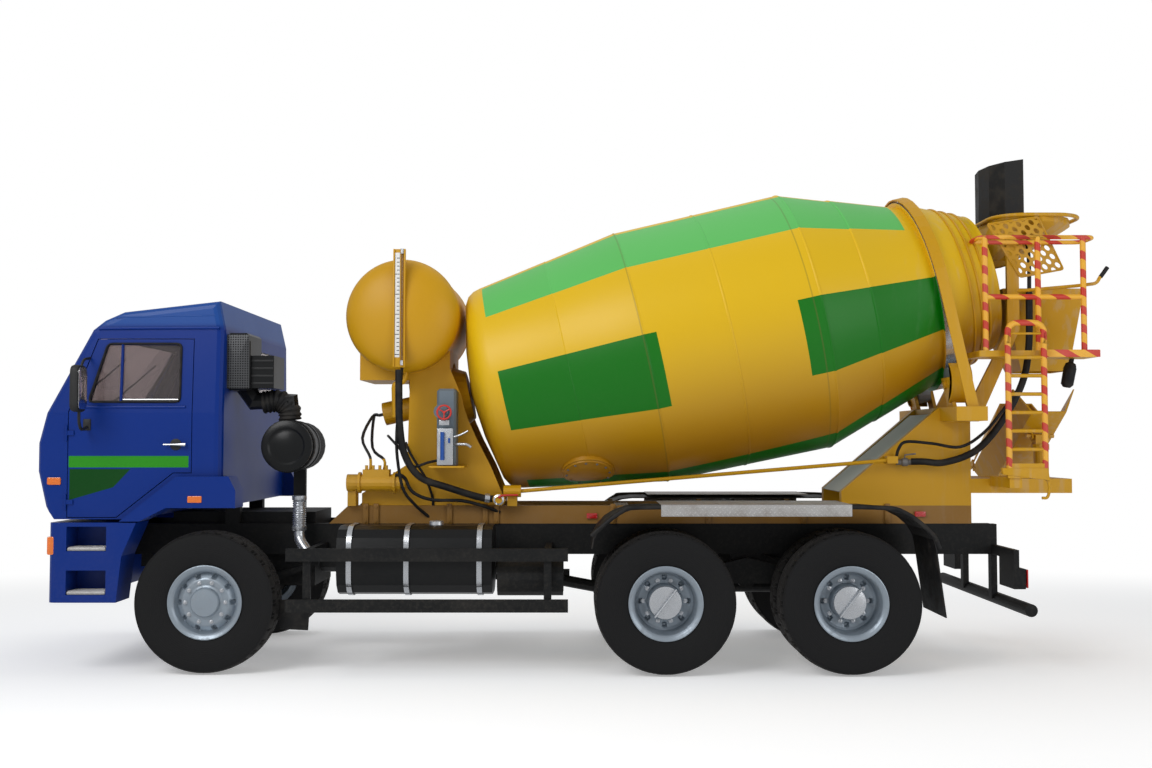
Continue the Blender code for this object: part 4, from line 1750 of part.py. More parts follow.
def mirror(side):
    """An outside mirror on a bent arm fixed to the door."""
    head = rounded_box((MIRROR_X - MIRROR_THICK / 2, -MIRROR_INNER_Y - MIRROR_WIDTH, MIRROR_LOW_Z),
                       (MIRROR_X + MIRROR_THICK / 2, -MIRROR_INNER_Y, MIRROR_HIGH_Z), BOX_ROUND, 1)
    y = -MIRROR_INNER_Y - MIRROR_WIDTH / 2
    arm = tube([(MIRROR_FOOT_X, -CAB_HALF_WIDTH - BOX_ROUND * HALF_SHARE, MIRROR_FOOT_LOW_Z),
                (MIRROR_X, y, MIRROR_FOOT_LOW_Z), (MIRROR_X, y, MIRROR_LOW_Z + BOX_ROUND)], MIRROR_ARM_RADIUS)
    foot = box((MIRROR_FOOT_X - BOX_ROUND, -CAB_HALF_WIDTH - BOX_ROUND, MIRROR_FOOT_LOW_Z - BOX_ROUND),
               (MIRROR_FOOT_X + BOX_ROUND, -CAB_HALF_WIDTH - SEAT_GAP, MIRROR_FOOT_LOW_Z + BOX_ROUND))
    return node("mirror_" + side, on_side(union(head, arm, foot), side), "trim_grey", door_pivot(side))


SEAT_Y = 0.58
SEAT_HALF_WIDTH = 0.26
SEAT_FRONT_X = -0.58
SEAT_REAR_X = 0.02
SEAT_BASE_TOP_Z = 1.62
SEAT_CUSHION_TOP_Z = 1.76
SEAT_BACK_TOP_Z = 2.42
SEAT_BACK_THICK = 0.14
SEAT_ROUND = 0.03
SEAT_BASE_INSET = 0.08


def seat(name, sign):
    """A seat: base, cushion and back."""
    y = sign * SEAT_Y
    floor = CAB_ARCH_Z + CAB_WALL + SEAT_GAP
    base_half = SEAT_HALF_WIDTH - SEAT_BASE_INSET
    back_half = SEAT_HALF_WIDTH - FUSE
    base = box((ARCH_START_X + SEAT_GAP, y - base_half, floor),
               (SEAT_REAR_X - SEAT_BASE_INSET, y + base_half, SEAT_BASE_TOP_Z + FUSE))
    cushion = rounded_box((SEAT_FRONT_X, y - SEAT_HALF_WIDTH, SEAT_BASE_TOP_Z),
                          (SEAT_REAR_X, y + SEAT_HALF_WIDTH, SEAT_CUSHION_TOP_Z), SEAT_ROUND, 1)
    back = rounded_box((SEAT_REAR_X - SEAT_BACK_THICK, y - back_half, SEAT_CUSHION_TOP_Z - SEAT_ROUND * 2),
                       (SEAT_REAR_X + FUSE, y + back_half, SEAT_BACK_TOP_Z), SEAT_ROUND, 1)
    return node(name, union(base, cushion, back), "trim_grey", CAB_PIVOT)


DASH_FRONT_X = -1.06
DASH_REAR_X = -0.86
DASH_LOW_Z = 1.62
DASH_HIGH_Z = 1.98
DASH_SIDE_GAP = 0.08
DASH_HALF_WIDTH = CAB_HALF_WIDTH - CAB_WALL - DASH_SIDE_GAP
DASH_LEG_HALF_WIDTH = 0.22
WHEEL_X = -0.70
WHEEL_Y = -0.58
WHEEL_Z = 2.00
WHEEL_RADIUS = 0.235
WHEEL_BAR = 0.016
WHEEL_TILT_DEG = 35
COLUMN_RADIUS = 0.03


def dashboard():
    """The dashboard on its leg, with the steering column and wheel."""
    top = rounded_box((DASH_FRONT_X, -DASH_HALF_WIDTH, DASH_LOW_Z),
                      (DASH_REAR_X, DASH_HALF_WIDTH, DASH_HIGH_Z), SEAT_ROUND, 1)
    leg = box((DASH_FRONT_X + FUSE, -DASH_LEG_HALF_WIDTH, CAB_FLOOR_Z + CAB_WALL + SEAT_GAP),
              (DASH_REAR_X - FUSE, DASH_LEG_HALF_WIDTH, DASH_LOW_Z + SEAT_ROUND))
    tilt = math.radians(WHEEL_TILT_DEG)
    normal = Vector((math.sin(tilt), 0, math.cos(tilt)))
    centre = Vector((WHEEL_X, WHEEL_Y, WHEEL_Z))
    side = Vector((0, 1, 0))
    ahead = side.cross(normal)
    angles = [2 * math.pi * i / ROUND_SIDES for i in range(ROUND_SIDES)]
    ring = tube([centre + (side * math.cos(a) + ahead * math.sin(a)) * WHEEL_RADIUS for a in angles],
                WHEEL_BAR, closed=True)
    spoke = rod(centre - side * WHEEL_RADIUS, centre + side * WHEEL_RADIUS, WHEEL_BAR / 2, SMALL_SIDES)
    column = rod(centre + normal * WHEEL_BAR, centre - normal * WHEEL_COLUMN, COLUMN_RADIUS, SMALL_SIDES)
    return node("dashboard", union(top, leg, column, spoke, ring), "trim_grey", CAB_PIVOT)


WHEEL_COLUMN = 0.40

INTAKE_DEPTH = 0.17
INTAKE_INSET = 0.13
INTAKE_WIDTH = 0.44
INTAKE_OUTER_Y = CAB_HALF_WIDTH - INTAKE_INSET
INTAKE_INNER_Y = INTAKE_OUTER_Y - INTAKE_WIDTH
INTAKE_LOW_Z = 2.22
REAR_BOX_X = 0.485          # rear face of the second box
REAR_BOX_INSET = 0.04
REAR_BOX_LOW_Z = 2.24
REAR_BOX_HIGH_Z = 2.50
INTAKE_HIGH_Z = 2.68
DUCT_RADIUS = 0.08


def air_intake():
    """The intake box on the cab's rear wall, with its duct that ends just over the filter."""
    front = CAB_REAR_X + SEAT_GAP
    body = rounded_box((front, -INTAKE_OUTER_Y, INTAKE_LOW_Z),
                       (front + INTAKE_DEPTH, -INTAKE_INNER_Y, INTAKE_HIGH_Z), BOX_ROUND, 1)
    second = box((front + INTAKE_DEPTH - FUSE, -INTAKE_OUTER_Y + REAR_BOX_INSET, REAR_BOX_LOW_Z),
                 (REAR_BOX_X, -INTAKE_INNER_Y - REAR_BOX_INSET, REAR_BOX_HIGH_Z))
    y = -(INTAKE_OUTER_Y + INTAKE_INNER_Y) / 2
    duct = tube([(front + INTAKE_DEPTH / 2, y, INTAKE_LOW_Z + OVERRUN),
                 (front + INTAKE_DEPTH, y, INTAKE_LOW_Z - DUCT_RADIUS),
                 (FILTER_X, y, INTAKE_LOW_Z - DUCT_RADIUS),
                 (FILTER_X, y, FILTER_Z + FILTER_RADIUS + 4 * RUNNING_GAP)], DUCT_RADIUS, sides_step=2)
    return node("air_intake", union(body, second, duct), "chassis_black", CAB_PIVOT)


# Hydraulic pump with its hoses
PUMP_FRONT_X = 0.995
PUMP_REAR_X = 1.44
PUMP_Y = 0.505
PUMP_Z = 1.47
PUMP_RADIUS = 0.07
PUMP_FLANGE_X = (1.09, 1.38)
PUMP_FLANGE_RADIUS = 0.088
PUMP_FLANGE_THICK = 0.02
PUMP_CAP = 0.045
PUMP_CAP_RADIUS = 0.05
PUMP_FOOT_LENGTH = 0.07
PUMP_FOOT_INNER_Y = 0.36
VALVE_BLOCK_FRONT_X = 1.13
VALVE_BLOCK_REAR_X = 1.35
VALVE_BLOCK_HALF_WIDTH = 0.055
VALVE_BLOCK_TOP_Z = 1.58
SMALL_VALVE_X = (1.16, 1.215, 1.27, 1.325)
SMALL_VALVE_RADIUS = 0.013
SMALL_VALVE_HEIGHT = 0.035
OIL_HOSE_RADIUS = 0.013
OIL_HOSE_STRAIGHT = 0.10
# Each oil hose: its place on the block, its two bends, and its place across the motor's front
OIL_HOSES = (
    {"start": (1.1875, -0.525), "bends": ((1.1875, -0.525, 1.68), (1.10, -0.40, 1.84)), "motor_y": -0.045},
    {"start": (1.2975, -0.485), "bends": ((1.2975, -0.485, 1.66), (1.17, -0.30, 1.76)), "motor_y": 0.045},
)


def hydraulic_pump():
    """The drum drive's pump on the subframe, with its valve block and the two hoses to the motor."""
    body = rod((PUMP_FRONT_X, -PUMP_Y, PUMP_Z), (PUMP_REAR_X, -PUMP_Y, PUMP_Z), PUMP_RADIUS)
    cap = rod((PUMP_REAR_X - FUSE, -PUMP_Y, PUMP_Z), (PUMP_REAR_X + PUMP_CAP, -PUMP_Y, PUMP_Z), PUMP_CAP_RADIUS)
    flanges = [rod((x, -PUMP_Y, PUMP_Z), (x + PUMP_FLANGE_THICK, -PUMP_Y, PUMP_Z), PUMP_FLANGE_RADIUS)
               for x in PUMP_FLANGE_X]
    foot = box((PUMP_FRONT_X + STUB_INSET, -PUMP_Y, SUBFRAME_TOP_Z + SEAT_GAP),
               (PUMP_FRONT_X + PUMP_FOOT_LENGTH, -PUMP_FOOT_INNER_Y, PUMP_Z))
    block = box((VALVE_BLOCK_FRONT_X, -PUMP_Y - VALVE_BLOCK_HALF_WIDTH, PUMP_Z),
                (VALVE_BLOCK_REAR_X, -PUMP_Y + VALVE_BLOCK_HALF_WIDTH, VALVE_BLOCK_TOP_Z))
    valves = [rod((x, y, VALVE_BLOCK_TOP_Z - FUSE), (x, y, VALVE_BLOCK_TOP_Z + SMALL_VALVE_HEIGHT),
                  SMALL_VALVE_RADIUS, SMALL_SIDES)
              for x in SMALL_VALVE_X for y in (-PUMP_Y - VALVE_BLOCK_HALF_WIDTH / 2 - SMALL_VALVE_RADIUS / 2,)]
    hoses = []
    for hose in OIL_HOSES:
        x, y = hose["start"]
        seat = MOTOR_FRONT_S - SEAT_GAP
        ends = [on_drum(seat - OIL_HOSE_STRAIGHT, 0, hose["motor_y"]),
                on_drum(seat - OIL_HOSE_STRAIGHT / 2, 0, hose["motor_y"]), on_drum(seat, 0, hose["motor_y"])]
        hoses.append(tube([(x, y, VALVE_BLOCK_TOP_Z - FUSE), *hose["bends"], *ends], OIL_HOSE_RADIUS, smooth=True))
    return node("hydraulic_pump", union(body, cap, foot, *flanges, block, *valves, *hoses), "mixer_yellow")


# Rear water valve with its hose up to the hopper
REAR_VALVE_LENGTH = 0.13
REAR_VALVE_RADIUS = 0.032
REAR_HOSE_RADIUS = 0.016
REAR_HOSE_Y = 0.4925
REAR_HOSE_END = (COLUMN_KNEE_X + COLUMN_DEPTH - FUSE + SEAT_GAP, -0.452, 3.548)
# Points of the rear hose's run between the valve and the hopper: x, y, z
REAR_HOSE_ROUTE = [(5.80, -0.52, 1.645), (5.98, -0.52, 1.64), (6.24, -0.52, 1.74), (6.46, -0.51, 1.98),
                   (6.64, -REAR_HOSE_Y, 2.30), (6.70, -REAR_HOSE_Y, 2.60), (6.71, -REAR_HOSE_Y, 3.00),
                   (6.715, -0.488, 3.30), (6.71, -0.462, 3.48), (6.675, -0.452, 3.548), (6.645, -0.452, 3.548)]


def rear_hose():
    """The valve at the rear end of the water pipe, and the hose from it up to the hopper."""
    start_x = PIPE_END_X + PIPE_BRACKET + SEAT_GAP
    valve = rod((start_x, -PIPE_Y, PIPE_END_Z), (start_x + REAR_VALVE_LENGTH, -PIPE_Y, PIPE_END_Z),
                REAR_VALVE_RADIUS, PIPE_SIDES)
    lever = box((start_x + REAR_VALVE_LENGTH / 2 - HINGE_RADIUS, -PIPE_Y - HINGE_RADIUS / 2, PIPE_END_Z),
                (start_x + REAR_VALVE_LENGTH / 2 + HINGE_RADIUS, -PIPE_Y + HINGE_RADIUS / 2,
                 PIPE_END_Z + 2 * REAR_VALVE_RADIUS))
    start = (start_x + REAR_VALVE_LENGTH - FUSE, -PIPE_Y, PIPE_END_Z - STUB_INSET)
    body = tube([start, *REAR_HOSE_ROUTE, REAR_HOSE_END], REAR_HOSE_RADIUS, smooth=True)
    return node("rear_hose", union(valve, lever, body), "rubber_black")


# Mesh guard beside the hopper
MESH_FRONT_X = 6.44
MESH_REAR_X = 6.974
MESH_LOW_Z = 3.198
MESH_HIGH_Z = 3.717
MESH_SHEET = 0.004
MESH_BAR = 0.016
MESH_COLUMNS = 6
MESH_ROWS = 5


def mesh_guard():
    """The sheet of wide mesh bolted to the outside of the left column, beside the hopper."""
    outer_y = -COLUMN_Y - COLUMN_THICK - SEAT_GAP
    sheet = box((MESH_FRONT_X, outer_y - MESH_SHEET, MESH_LOW_Z), (MESH_REAR_X, outer_y, MESH_HIGH_Z))
    wide = (MESH_REAR_X - MESH_FRONT_X - MESH_BAR) / MESH_COLUMNS
    high = (MESH_HIGH_Z - MESH_LOW_Z - MESH_BAR) / MESH_ROWS
    holes = []
    for column in range(MESH_COLUMNS):
        for row in range(MESH_ROWS):
            x = MESH_FRONT_X + MESH_BAR + column * wide
            z = MESH_LOW_Z + MESH_BAR + row * high
            holes.append(box((x, outer_y - 2 * MESH_SHEET, z),
                             (x + wide - MESH_BAR, outer_y + MESH_SHEET, z + high - MESH_BAR)))
    return node("mesh_guard", cut(sheet, *holes), "mixer_yellow")


for build in (frame_rails, subframe, bumper_steps, front_axle, rear_bogie, engine, fuel_tank, air_tanks,
              battery_box, silencer, air_filter, drum, drum_gearbox, front_pedestal, water_tank,
              control_box, rear_pedestal, water_pipe, water_hose, hopper,
              rubber_flap, discharge_funnel, platform, ladder, underrun_bar, chute_carrier, chute,
              chute_extension, cab_shell, front_panel, roof, dashboard, air_intake, hydraulic_pump,
              rear_hose, mesh_guard):
    build()
glass("windscreen", windscreen_box(-SEAT_GAP), CAB_PIVOT)
glass("rear_window", rear_window_box(-SEAT_GAP), CAB_PIVOT)
seat("driver_seat", -1)
seat("passenger_seat", 1)
for side_name in SIDES:
    knuckle(side_name)
    front_wheel(side_name)
    twin_wheel("middle", MIDDLE_AXLE_X, side_name)
    twin_wheel("rear", REAR_AXLE_X, side_name)
    side_guard(side_name)
    roller(side_name)
    fender(side_name)
    door(side_name)
    door_glass(side_name)
    mirror(side_name)
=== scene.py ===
# %% [markdown]
# # The looks of a concrete mixer truck
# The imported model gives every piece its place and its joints, in metres, with X from the front of the
# truck to its rear, Y from its left side to its right and Z up. This script gives it its surfaces:
# paint, rubber, glass, tread, hoses and trim. Each step first says what the thing is on the real
# truck and how it could be made, then makes it. The camera comes first, fitted to the photograph.

# %% Frame and camera
import math
import bpy
import numpy as np
from mathutils import Matrix, Vector


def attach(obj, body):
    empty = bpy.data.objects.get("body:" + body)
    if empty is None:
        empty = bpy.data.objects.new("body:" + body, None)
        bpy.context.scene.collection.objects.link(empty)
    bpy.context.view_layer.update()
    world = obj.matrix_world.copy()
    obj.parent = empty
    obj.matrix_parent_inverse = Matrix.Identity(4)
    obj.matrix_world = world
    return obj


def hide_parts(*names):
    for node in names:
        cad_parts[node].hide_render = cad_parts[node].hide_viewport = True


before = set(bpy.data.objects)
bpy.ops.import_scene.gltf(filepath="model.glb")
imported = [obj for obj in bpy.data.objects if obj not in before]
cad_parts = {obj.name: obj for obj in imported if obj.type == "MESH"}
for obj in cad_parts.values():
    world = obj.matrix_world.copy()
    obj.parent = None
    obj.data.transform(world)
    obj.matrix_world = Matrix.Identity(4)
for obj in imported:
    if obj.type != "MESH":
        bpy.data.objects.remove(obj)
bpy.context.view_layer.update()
scene = bpy.context.scene
FRONT_AXLE_X = -2.962


def added(name, data):
    """A new object in the scene that shows a mesh, a lamp or a camera."""
    made = bpy.data.objects.new(name, data)
    scene.collection.objects.link(made)
    return made


camera = added("camera", bpy.data.cameras.new("camera"))
scene.camera = camera
camera.location = (-0.060, -11.2, 1.825)
camera.rotation_euler = (math.radians(92.507), 0, 0)
camera.data.lens = 39.97
camera.data.sensor_width = 36
camera.data.clip_end = 200

# %% [markdown]
# # Shader arithmetic
# A paint is a rule: this colour here, that one there, a little rougher where dust lies. Such a rule
# can be drawn as a net of nodes by hand, or written as a formula. A formula is shorter and can be
# read, so one small class wraps a socket and turns plus, times and comparison into nodes.

# %% A wire that can be calculated with
class Wire:
    """One value in a shader tree. Arithmetic on it adds Math nodes, and make adds any other node."""

    def __init__(self, tree, socket=None):
        self.tree, self.socket = tree, socket

    def make(self, kind, settings=(), inputs=(), out=0):
        """Adds a node: its settings first, then its values or links, and gives one of its outputs."""
        made = self.tree.nodes.new("ShaderNode" + kind)
        for name, value in dict(settings).items():
            setattr(made, name, value)
        for name, value in dict(inputs).items():
            if isinstance(value, Wire):
                self.tree.links.new(value.socket, made.inputs[name])
            else:
                made.inputs[name].default_value = value
        return Wire(self.tree, made.outputs[out])

    def maths(self, operation, *values):
        """The result of a Math operation on several values."""
        return self.make("Math", {"operation": operation}, dict(enumerate(values)))

    def of(self, operation, *more):
        """The result of a Math operation on this value."""
        return self.maths(operation, self, *more)

    def __add__(self, other):
        return self.maths("ADD", self, other)

    def __sub__(self, other):
        return self.maths("SUBTRACT", self, other)

    def __mul__(self, other):
        return self.maths("MULTIPLY", self, other)

    def __truediv__(self, other):
        return self.maths("DIVIDE", self, other)

    def __rsub__(self, other):
        return self.maths("SUBTRACT", other, self)

    def __gt__(self, other):
        return self.maths("GREATER_THAN", self, other)

    def __lt__(self, other):
        return self.maths("LESS_THAN", self, other)

    __radd__, __rmul__ = __add__, __mul__

    def rise(self, low, high):
        """0 under low, 1 over high, and a smooth step between."""
        return self.make("MapRange", {"interpolation_type": "SMOOTHSTEP"},
                         {"Value": self, "From Min": low, "From Max": high})

    def within(self, low, high):
        """1 between two limits, else 0."""
        return (self > low) * (self < high)

    def noise(self, scale, detail=3.0, rough=0.55):
        """Soft random spots over a place, about one a unit of 1 over scale."""
        return self.make("TexNoise", {}, {"Vector": self, "Scale": scale, "Detail": detail,
                                          "Roughness": rough})

    def tint(self, factor, colour):
        """This colour where the factor is 0, and the other where it is 1."""
        return self.make("Mix", {"data_type": "RGBA"}, {0: factor, 6: self, 7: (*colour, 1)}, 2)

    def xyz(self):
        """The three coordinates of a place."""
        split = self.tree.nodes.new("ShaderNodeSeparateXYZ")
        self.tree.links.new(self.socket, split.inputs[0])
        return [Wire(self.tree, socket) for socket in split.outputs]

    def colour(self, rgb):
        """A plain colour as a wire."""
        made = self.tree.nodes.new("ShaderNodeRGB")
        made.outputs[0].default_value = (*rgb, 1)
        return Wire(self.tree, made.outputs[0])

    def attribute(self, name):
        """A number that a piece carries on its points."""
        return self.make("Attribute", {"attribute_name": name}, {}, "Fac")


MATERIALS = {}


def material(name, recipe, **fixed):
    """Makes a material with one shader. The recipe gets the place on the object and returns what varies
    over it, by socket name, with "height" for the bump; fixed sockets are set on the shader."""
    made = bpy.data.materials.new(name)
    made.use_nodes = True
    tree = made.node_tree
    tree.nodes.clear()
    shader = tree.nodes.new("ShaderNodeBsdfPrincipled")
    end = tree.nodes.new("ShaderNodeOutputMaterial")
    tree.links.new(shader.outputs[0], end.inputs[0])
    for socket, value in fixed.items():
        shader.inputs[socket.replace("_", " ")].default_value = value
    varied = recipe(Wire(tree).make("TexCoord", {}, {}, "Object"))
    height = varied.pop("height", None)
    if height:
        varied["Normal"] = height.make("Bump", {}, {"Height": height, "Distance": 1.0, "Strength": 0.8})
    for socket, wire in varied.items():
        tree.links.new(wire.socket, shader.inputs[socket])
    MATERIALS[name] = made
    return made


# %% [markdown]
# # Finishes
# Paint on a working truck isn't one colour. It fades in patches, dust settles low down and on level
# faces, and cement splashes grey near the drum's mouth. All painted things share one weathering
# rule with their own colour. Rubber, cast metal and glass each get their own.

# %% Weathering that all finishes share
DUST = (0.30, 0.26, 0.21)
CEMENT = (0.42, 0.41, 0.39)


def weathered(place, base, dust=0.5, patch=0.12, roughness=0.35, grain=0.0004):
    """Colour = base, lightened in soft patches, then dust by height and by noise. Roughness goes up
    with the dust. Height is a fine orange peel."""
    z = place.xyz()[2]
    patches = place.noise(1.7, 4.0)
    specks = place.noise(38.0, 6.0, 0.7)
    lighter = patches.rise(0.35, 0.75) * patch
    low = 1.0 - z.rise(0.35, 1.5)
    dirty = (specks.rise(0.42, 0.72) * 0.6 + patches.rise(0.4, 0.7) * 0.4) * (low * 0.75 + 0.16) * dust
    colour = base.tint(lighter, (0.9, 0.9, 0.9)).tint(dirty, DUST)
    return {"Base Color": colour, "Roughness": dirty * 0.7 + roughness + patches * 0.08,
            "height": place.noise(260.0, 2.0) * grain}


def paint(name, rgb, dust=0.5, patch=0.12, roughness=0.35, grain=0.0004, extra=None, **fixed):
    """A painted finish: the base colour, changed by extra where that is given, then weathered."""
    def recipe(place):
        base = place.colour(rgb)
        return weathered(place, extra(place, base) if extra else base, dust, patch, roughness, grain)
    return material(name, recipe, **fixed)


# %% [markdown]
# # Where the colours change
# The drum's bands follow the drum, not the ground, so its paint turns each place into a distance
# along the drum's axis and an angle round it. The bands are then limits on these two numbers. The
# cab's light bar and dark wedge are limits on x and z, and the ladder's warning bands on height.

# %% Where the bands and streaks lie
DRUM_ORIGIN = Vector((0.538, 0, 2.555))
DRUM_AXIS = Vector((0.976296, 0, 0.216440))
DRUM_UP = Vector((-0.216440, 0, 0.976296))
LIGHT_GREEN, DARK_GREEN, YELLOW = (0.11, 0.50, 0.11), (0.0005, 0.155, 0.001), (0.74, 0.46, 0.006)
GOLD = (0.55, 0.285, 0.003)


def drum_bands(place, base):
    """Distance s = (p - O).A along the drum, angle = atan2(|y|, (p - O).U) from its top; a band is
    green where both lie within its limits. Towards the underside the yellow is painted darker orange
    as painted shade. Cement greys the mouth and runs down in streaks."""
    x, y, z = place.xyz()
    dx, dz = x - DRUM_ORIGIN.x, z - DRUM_ORIGIN.z
    s = dx * DRUM_AXIS.x + dz * DRUM_AXIS.z
    up = dx * DRUM_UP.x + dz * DRUM_UP.z
    angle = y.maths("ARCTAN2", y.of("ABSOLUTE"), up) * (180 / math.pi)
    top = angle.within(18, 51) * s.within(-1.25, 2.30)
    blocks = angle.within(84, 116) * (s.within(-1.24, 0.065) + s.within(1.21, 2.43))
    behind = s.of("MAXIMUM", 0.0)
    bottom = (angle + 2.0 * behind * behind > 156) * s.within(-1.22, 2.41)
    # Painted shade: the yellow turns darker orange from the drum's side down to its underside.
    base = base.tint(angle.rise(70, 150) * 0.85, (0.30, 0.11, 0.001))
    colour = base.tint(blocks + bottom, DARK_GREEN).tint(top, LIGHT_GREEN)
    seams = s.within(-0.052, -0.040) + s.within(1.327, 1.339)
    streaks = place.make("Mapping", {}, {"Vector": place, "Scale": (14.0, 14.0, 1.2)}).noise(1.0, 5.0)
    splash = streaks.rise(0.54, 0.76) * (s.rise(1.8, 3.1) * 0.22)
    return colour.tint(seams * 0.35, (0.12, 0.10, 0.02)).tint(splash, CEMENT)


def cab_trim(place, base):
    """A light green bar and a dark green wedge under it on both doors' fronts, a paler roof."""
    x, y, z = place.xyz()
    side = y.of("ABSOLUTE") > 1.13
    bar = x.within(-4.04, -3.10) * z.within(1.61, 1.70)
    wedge = (x > -4.032) * (z < 1.598) * (z - 0.29 * x > 2.524) * (z - 1.076 * x > 5.422)
    roof = z.rise(2.70, 2.76)
    return (base.tint(roof * 0.35, (0.03, 0.13, 0.40)).tint(bar * side, (0.022, 0.24, 0.010))
            .tint(wedge * side, (0.0005, 0.05, 0.004)))


def cement_near(place, base):
    """Grey cement runs on what stands near the drum's mouth, more the further back."""
    x = place.xyz()[0]
    streaks = place.make("Mapping", {}, {"Vector": place, "Scale": (16.0, 16.0, 2.0)}).noise(1.0, 5.0)
    return base.tint(streaks.rise(0.48, 0.68) * x.rise(2.6, 3.9) * 0.18, CEMENT)


def oil_hoses(place, base):
    """The pump's two hoses are black: all of it that stands above its valves."""
    z = place.xyz()[2]
    return base.tint(z > 1.668, (0.008, 0.008, 0.009))


def guard_mesh(place):
    """A leaning sheet of wavy mesh. With u along its top edge and v down its slanted side, a hole is
    where (fract(u / 0.054) - 0.5)^2 + 1.4 (fract(v / 0.084 + column / 2) - 0.5)^2 < 0.13."""
    x, _, z = place.xyz()
    dx, dz = x - 3.396, z - 3.638
    u, v = dx * 0.929 + dz * 0.562, dx * 0.155 - dz * 1.076
    along = u / 0.054
    column = along.of("FLOOR")
    across_it = along - column - 0.5
    down = (v / 0.084 + column * 0.5).of("FRACT") - 0.5
    hole = ((across_it * across_it + down * down * 1.4) < 0.13) * u.within(0.02,
                                                                           0.415) * v.within(0.015, 0.505)
    return {"Base Color": place.colour(GOLD), "Roughness": place.noise(9.0, 3.0) * 0.1 + 0.38,
            "Alpha": 1.0 - hole}


def banded(place, base):
    """Red bands on the yellow rails: nearly half of every 0.15 m along x, y and z together is red."""
    x, y, z = place.xyz()
    run = (x * 0.6 + z + y * 0.3) / 0.15
    red = run.of("FRACT") > 0.54
    return base.tint(red, (0.55, 0.03, 0.010))


print("the drum leans by", round(math.degrees(math.asin(DRUM_AXIS.z)), 1), "degrees")

# %% Painted finishes
paint("cab_blue", (0.0005, 0.023, 0.19), 0.05, 0.0, 0.30, 0.0002, cab_trim, Specular_IOR_Level=0.22)
paint("drum_paint", YELLOW, 0.10, 0.0, 0.33, 0.0006, drum_bands, Specular_IOR_Level=0.35)
paint("mixer_yellow", GOLD, 0.12, 0.0, 0.38, 0.0006, cement_near, Specular_IOR_Level=0.35)
paint("pump_yellow", GOLD, 0.12, 0.02, 0.40, 0.0006, oil_hoses)
paint("ochre", (0.25, 0.115, 0.006), 0.2, 0.02, 0.5, 0.0008, cement_near)
paint("warning_bands", (0.80, 0.40, 0.02), 0.35, 0.06, 0.42, 0.0006, banded)
paint("chassis_black", (0.007, 0.0075, 0.008), 0.10, 0.0, 0.5, 0.001, Specular_IOR_Level=0.2)
paint("tank_black", (0.006, 0.0065, 0.007), 0.02, 0.0, 0.25, 0.0003, Specular_IOR_Level=0.25)
paint("trim_grey", (0.008, 0.0085, 0.009), 0.1, 0.0, 0.55, 0.0012)
material("guard_mesh", guard_mesh)
paint("box_grey", (0.12, 0.16, 0.20), 0.25, 0.05, 0.42, 0.0005)
paint("red_paint", (0.55, 0.02, 0.012), 0.3, 0.05, 0.35, 0.0004)
paint("white_paint", (0.75, 0.75, 0.72), 0.25, 0.03, 0.4, 0.0004)
paint("orange_lamp", (0.95, 0.20, 0.01), 0.2, 0.04, 0.12, 0.0002, Coat_Weight=0.8, Transmission_Weight=0.25)
paint("red_lamp", (0.65, 0.01, 0.008), 0.2, 0.04, 0.12, 0.0002, Coat_Weight=0.8, Transmission_Weight=0.25)
print("painted finishes:", len(MATERIALS))

# %% [markdown]
# # Rubber, bare metal, glass and cloth
# Tyre rubber is dark where it flexes and brown where it meets the road, so its colour follows the
# distance from the hub, which each tyre carries as a number on its points. Tread plate is a pattern
# of short raised bars in two directions: one bar is a narrow peak along one diagonal, cut into
# lengths along the other.

# %% Patterns of rubber, metal, glass and cloth
def tyre(place):
    """By the distance from the hub: fine rings moulded in the sidewall, and road dust on the crown."""
    radius = place.attribute("radial")
    specks = place.noise(55.0, 6.0, 0.65)
    rings = (radius * 420.0).of("SINE") * radius.within(0.33, 0.47)
    wear = radius.rise(0.530, 0.553) * 0.22 + specks.rise(0.45, 0.75) * 0.04
    base = place.colour((0.009, 0.009, 0.0095))
    return {"Base Color": base.tint(wear, (0.07, 0.062, 0.055)), "Roughness": 0.62 + specks * 0.25,
            "height": rings * 0.0006 + specks * 0.0006}


def rubber(place):
    """Near black with a soft bloom of dust in patches."""
    bloom = place.noise(9.0, 5.0).rise(0.4, 0.75)
    return {"Base Color": place.colour((0.008, 0.008, 0.0085)).tint(bloom * 0.08, DUST),
            "Roughness": 0.5 + bloom * 0.3, "height": place.noise(180.0, 3.0) * 0.0006}


def bare_metal(rgb, stain, rough):
    """Bare or silver-painted metal with brown stains in its noise."""
    def recipe(place):
        x, y, z = place.xyz()
        stains = place.noise(14.0, 6.0, 0.65).rise(0.46, 0.74)
        return {"Base Color": place.colour(rgb).tint(stains * stain, (0.20, 0.15, 0.11)),
                "Roughness": rough + stains * 0.3, "height": place.noise(150.0, 3.0) * 0.0005}
    return recipe


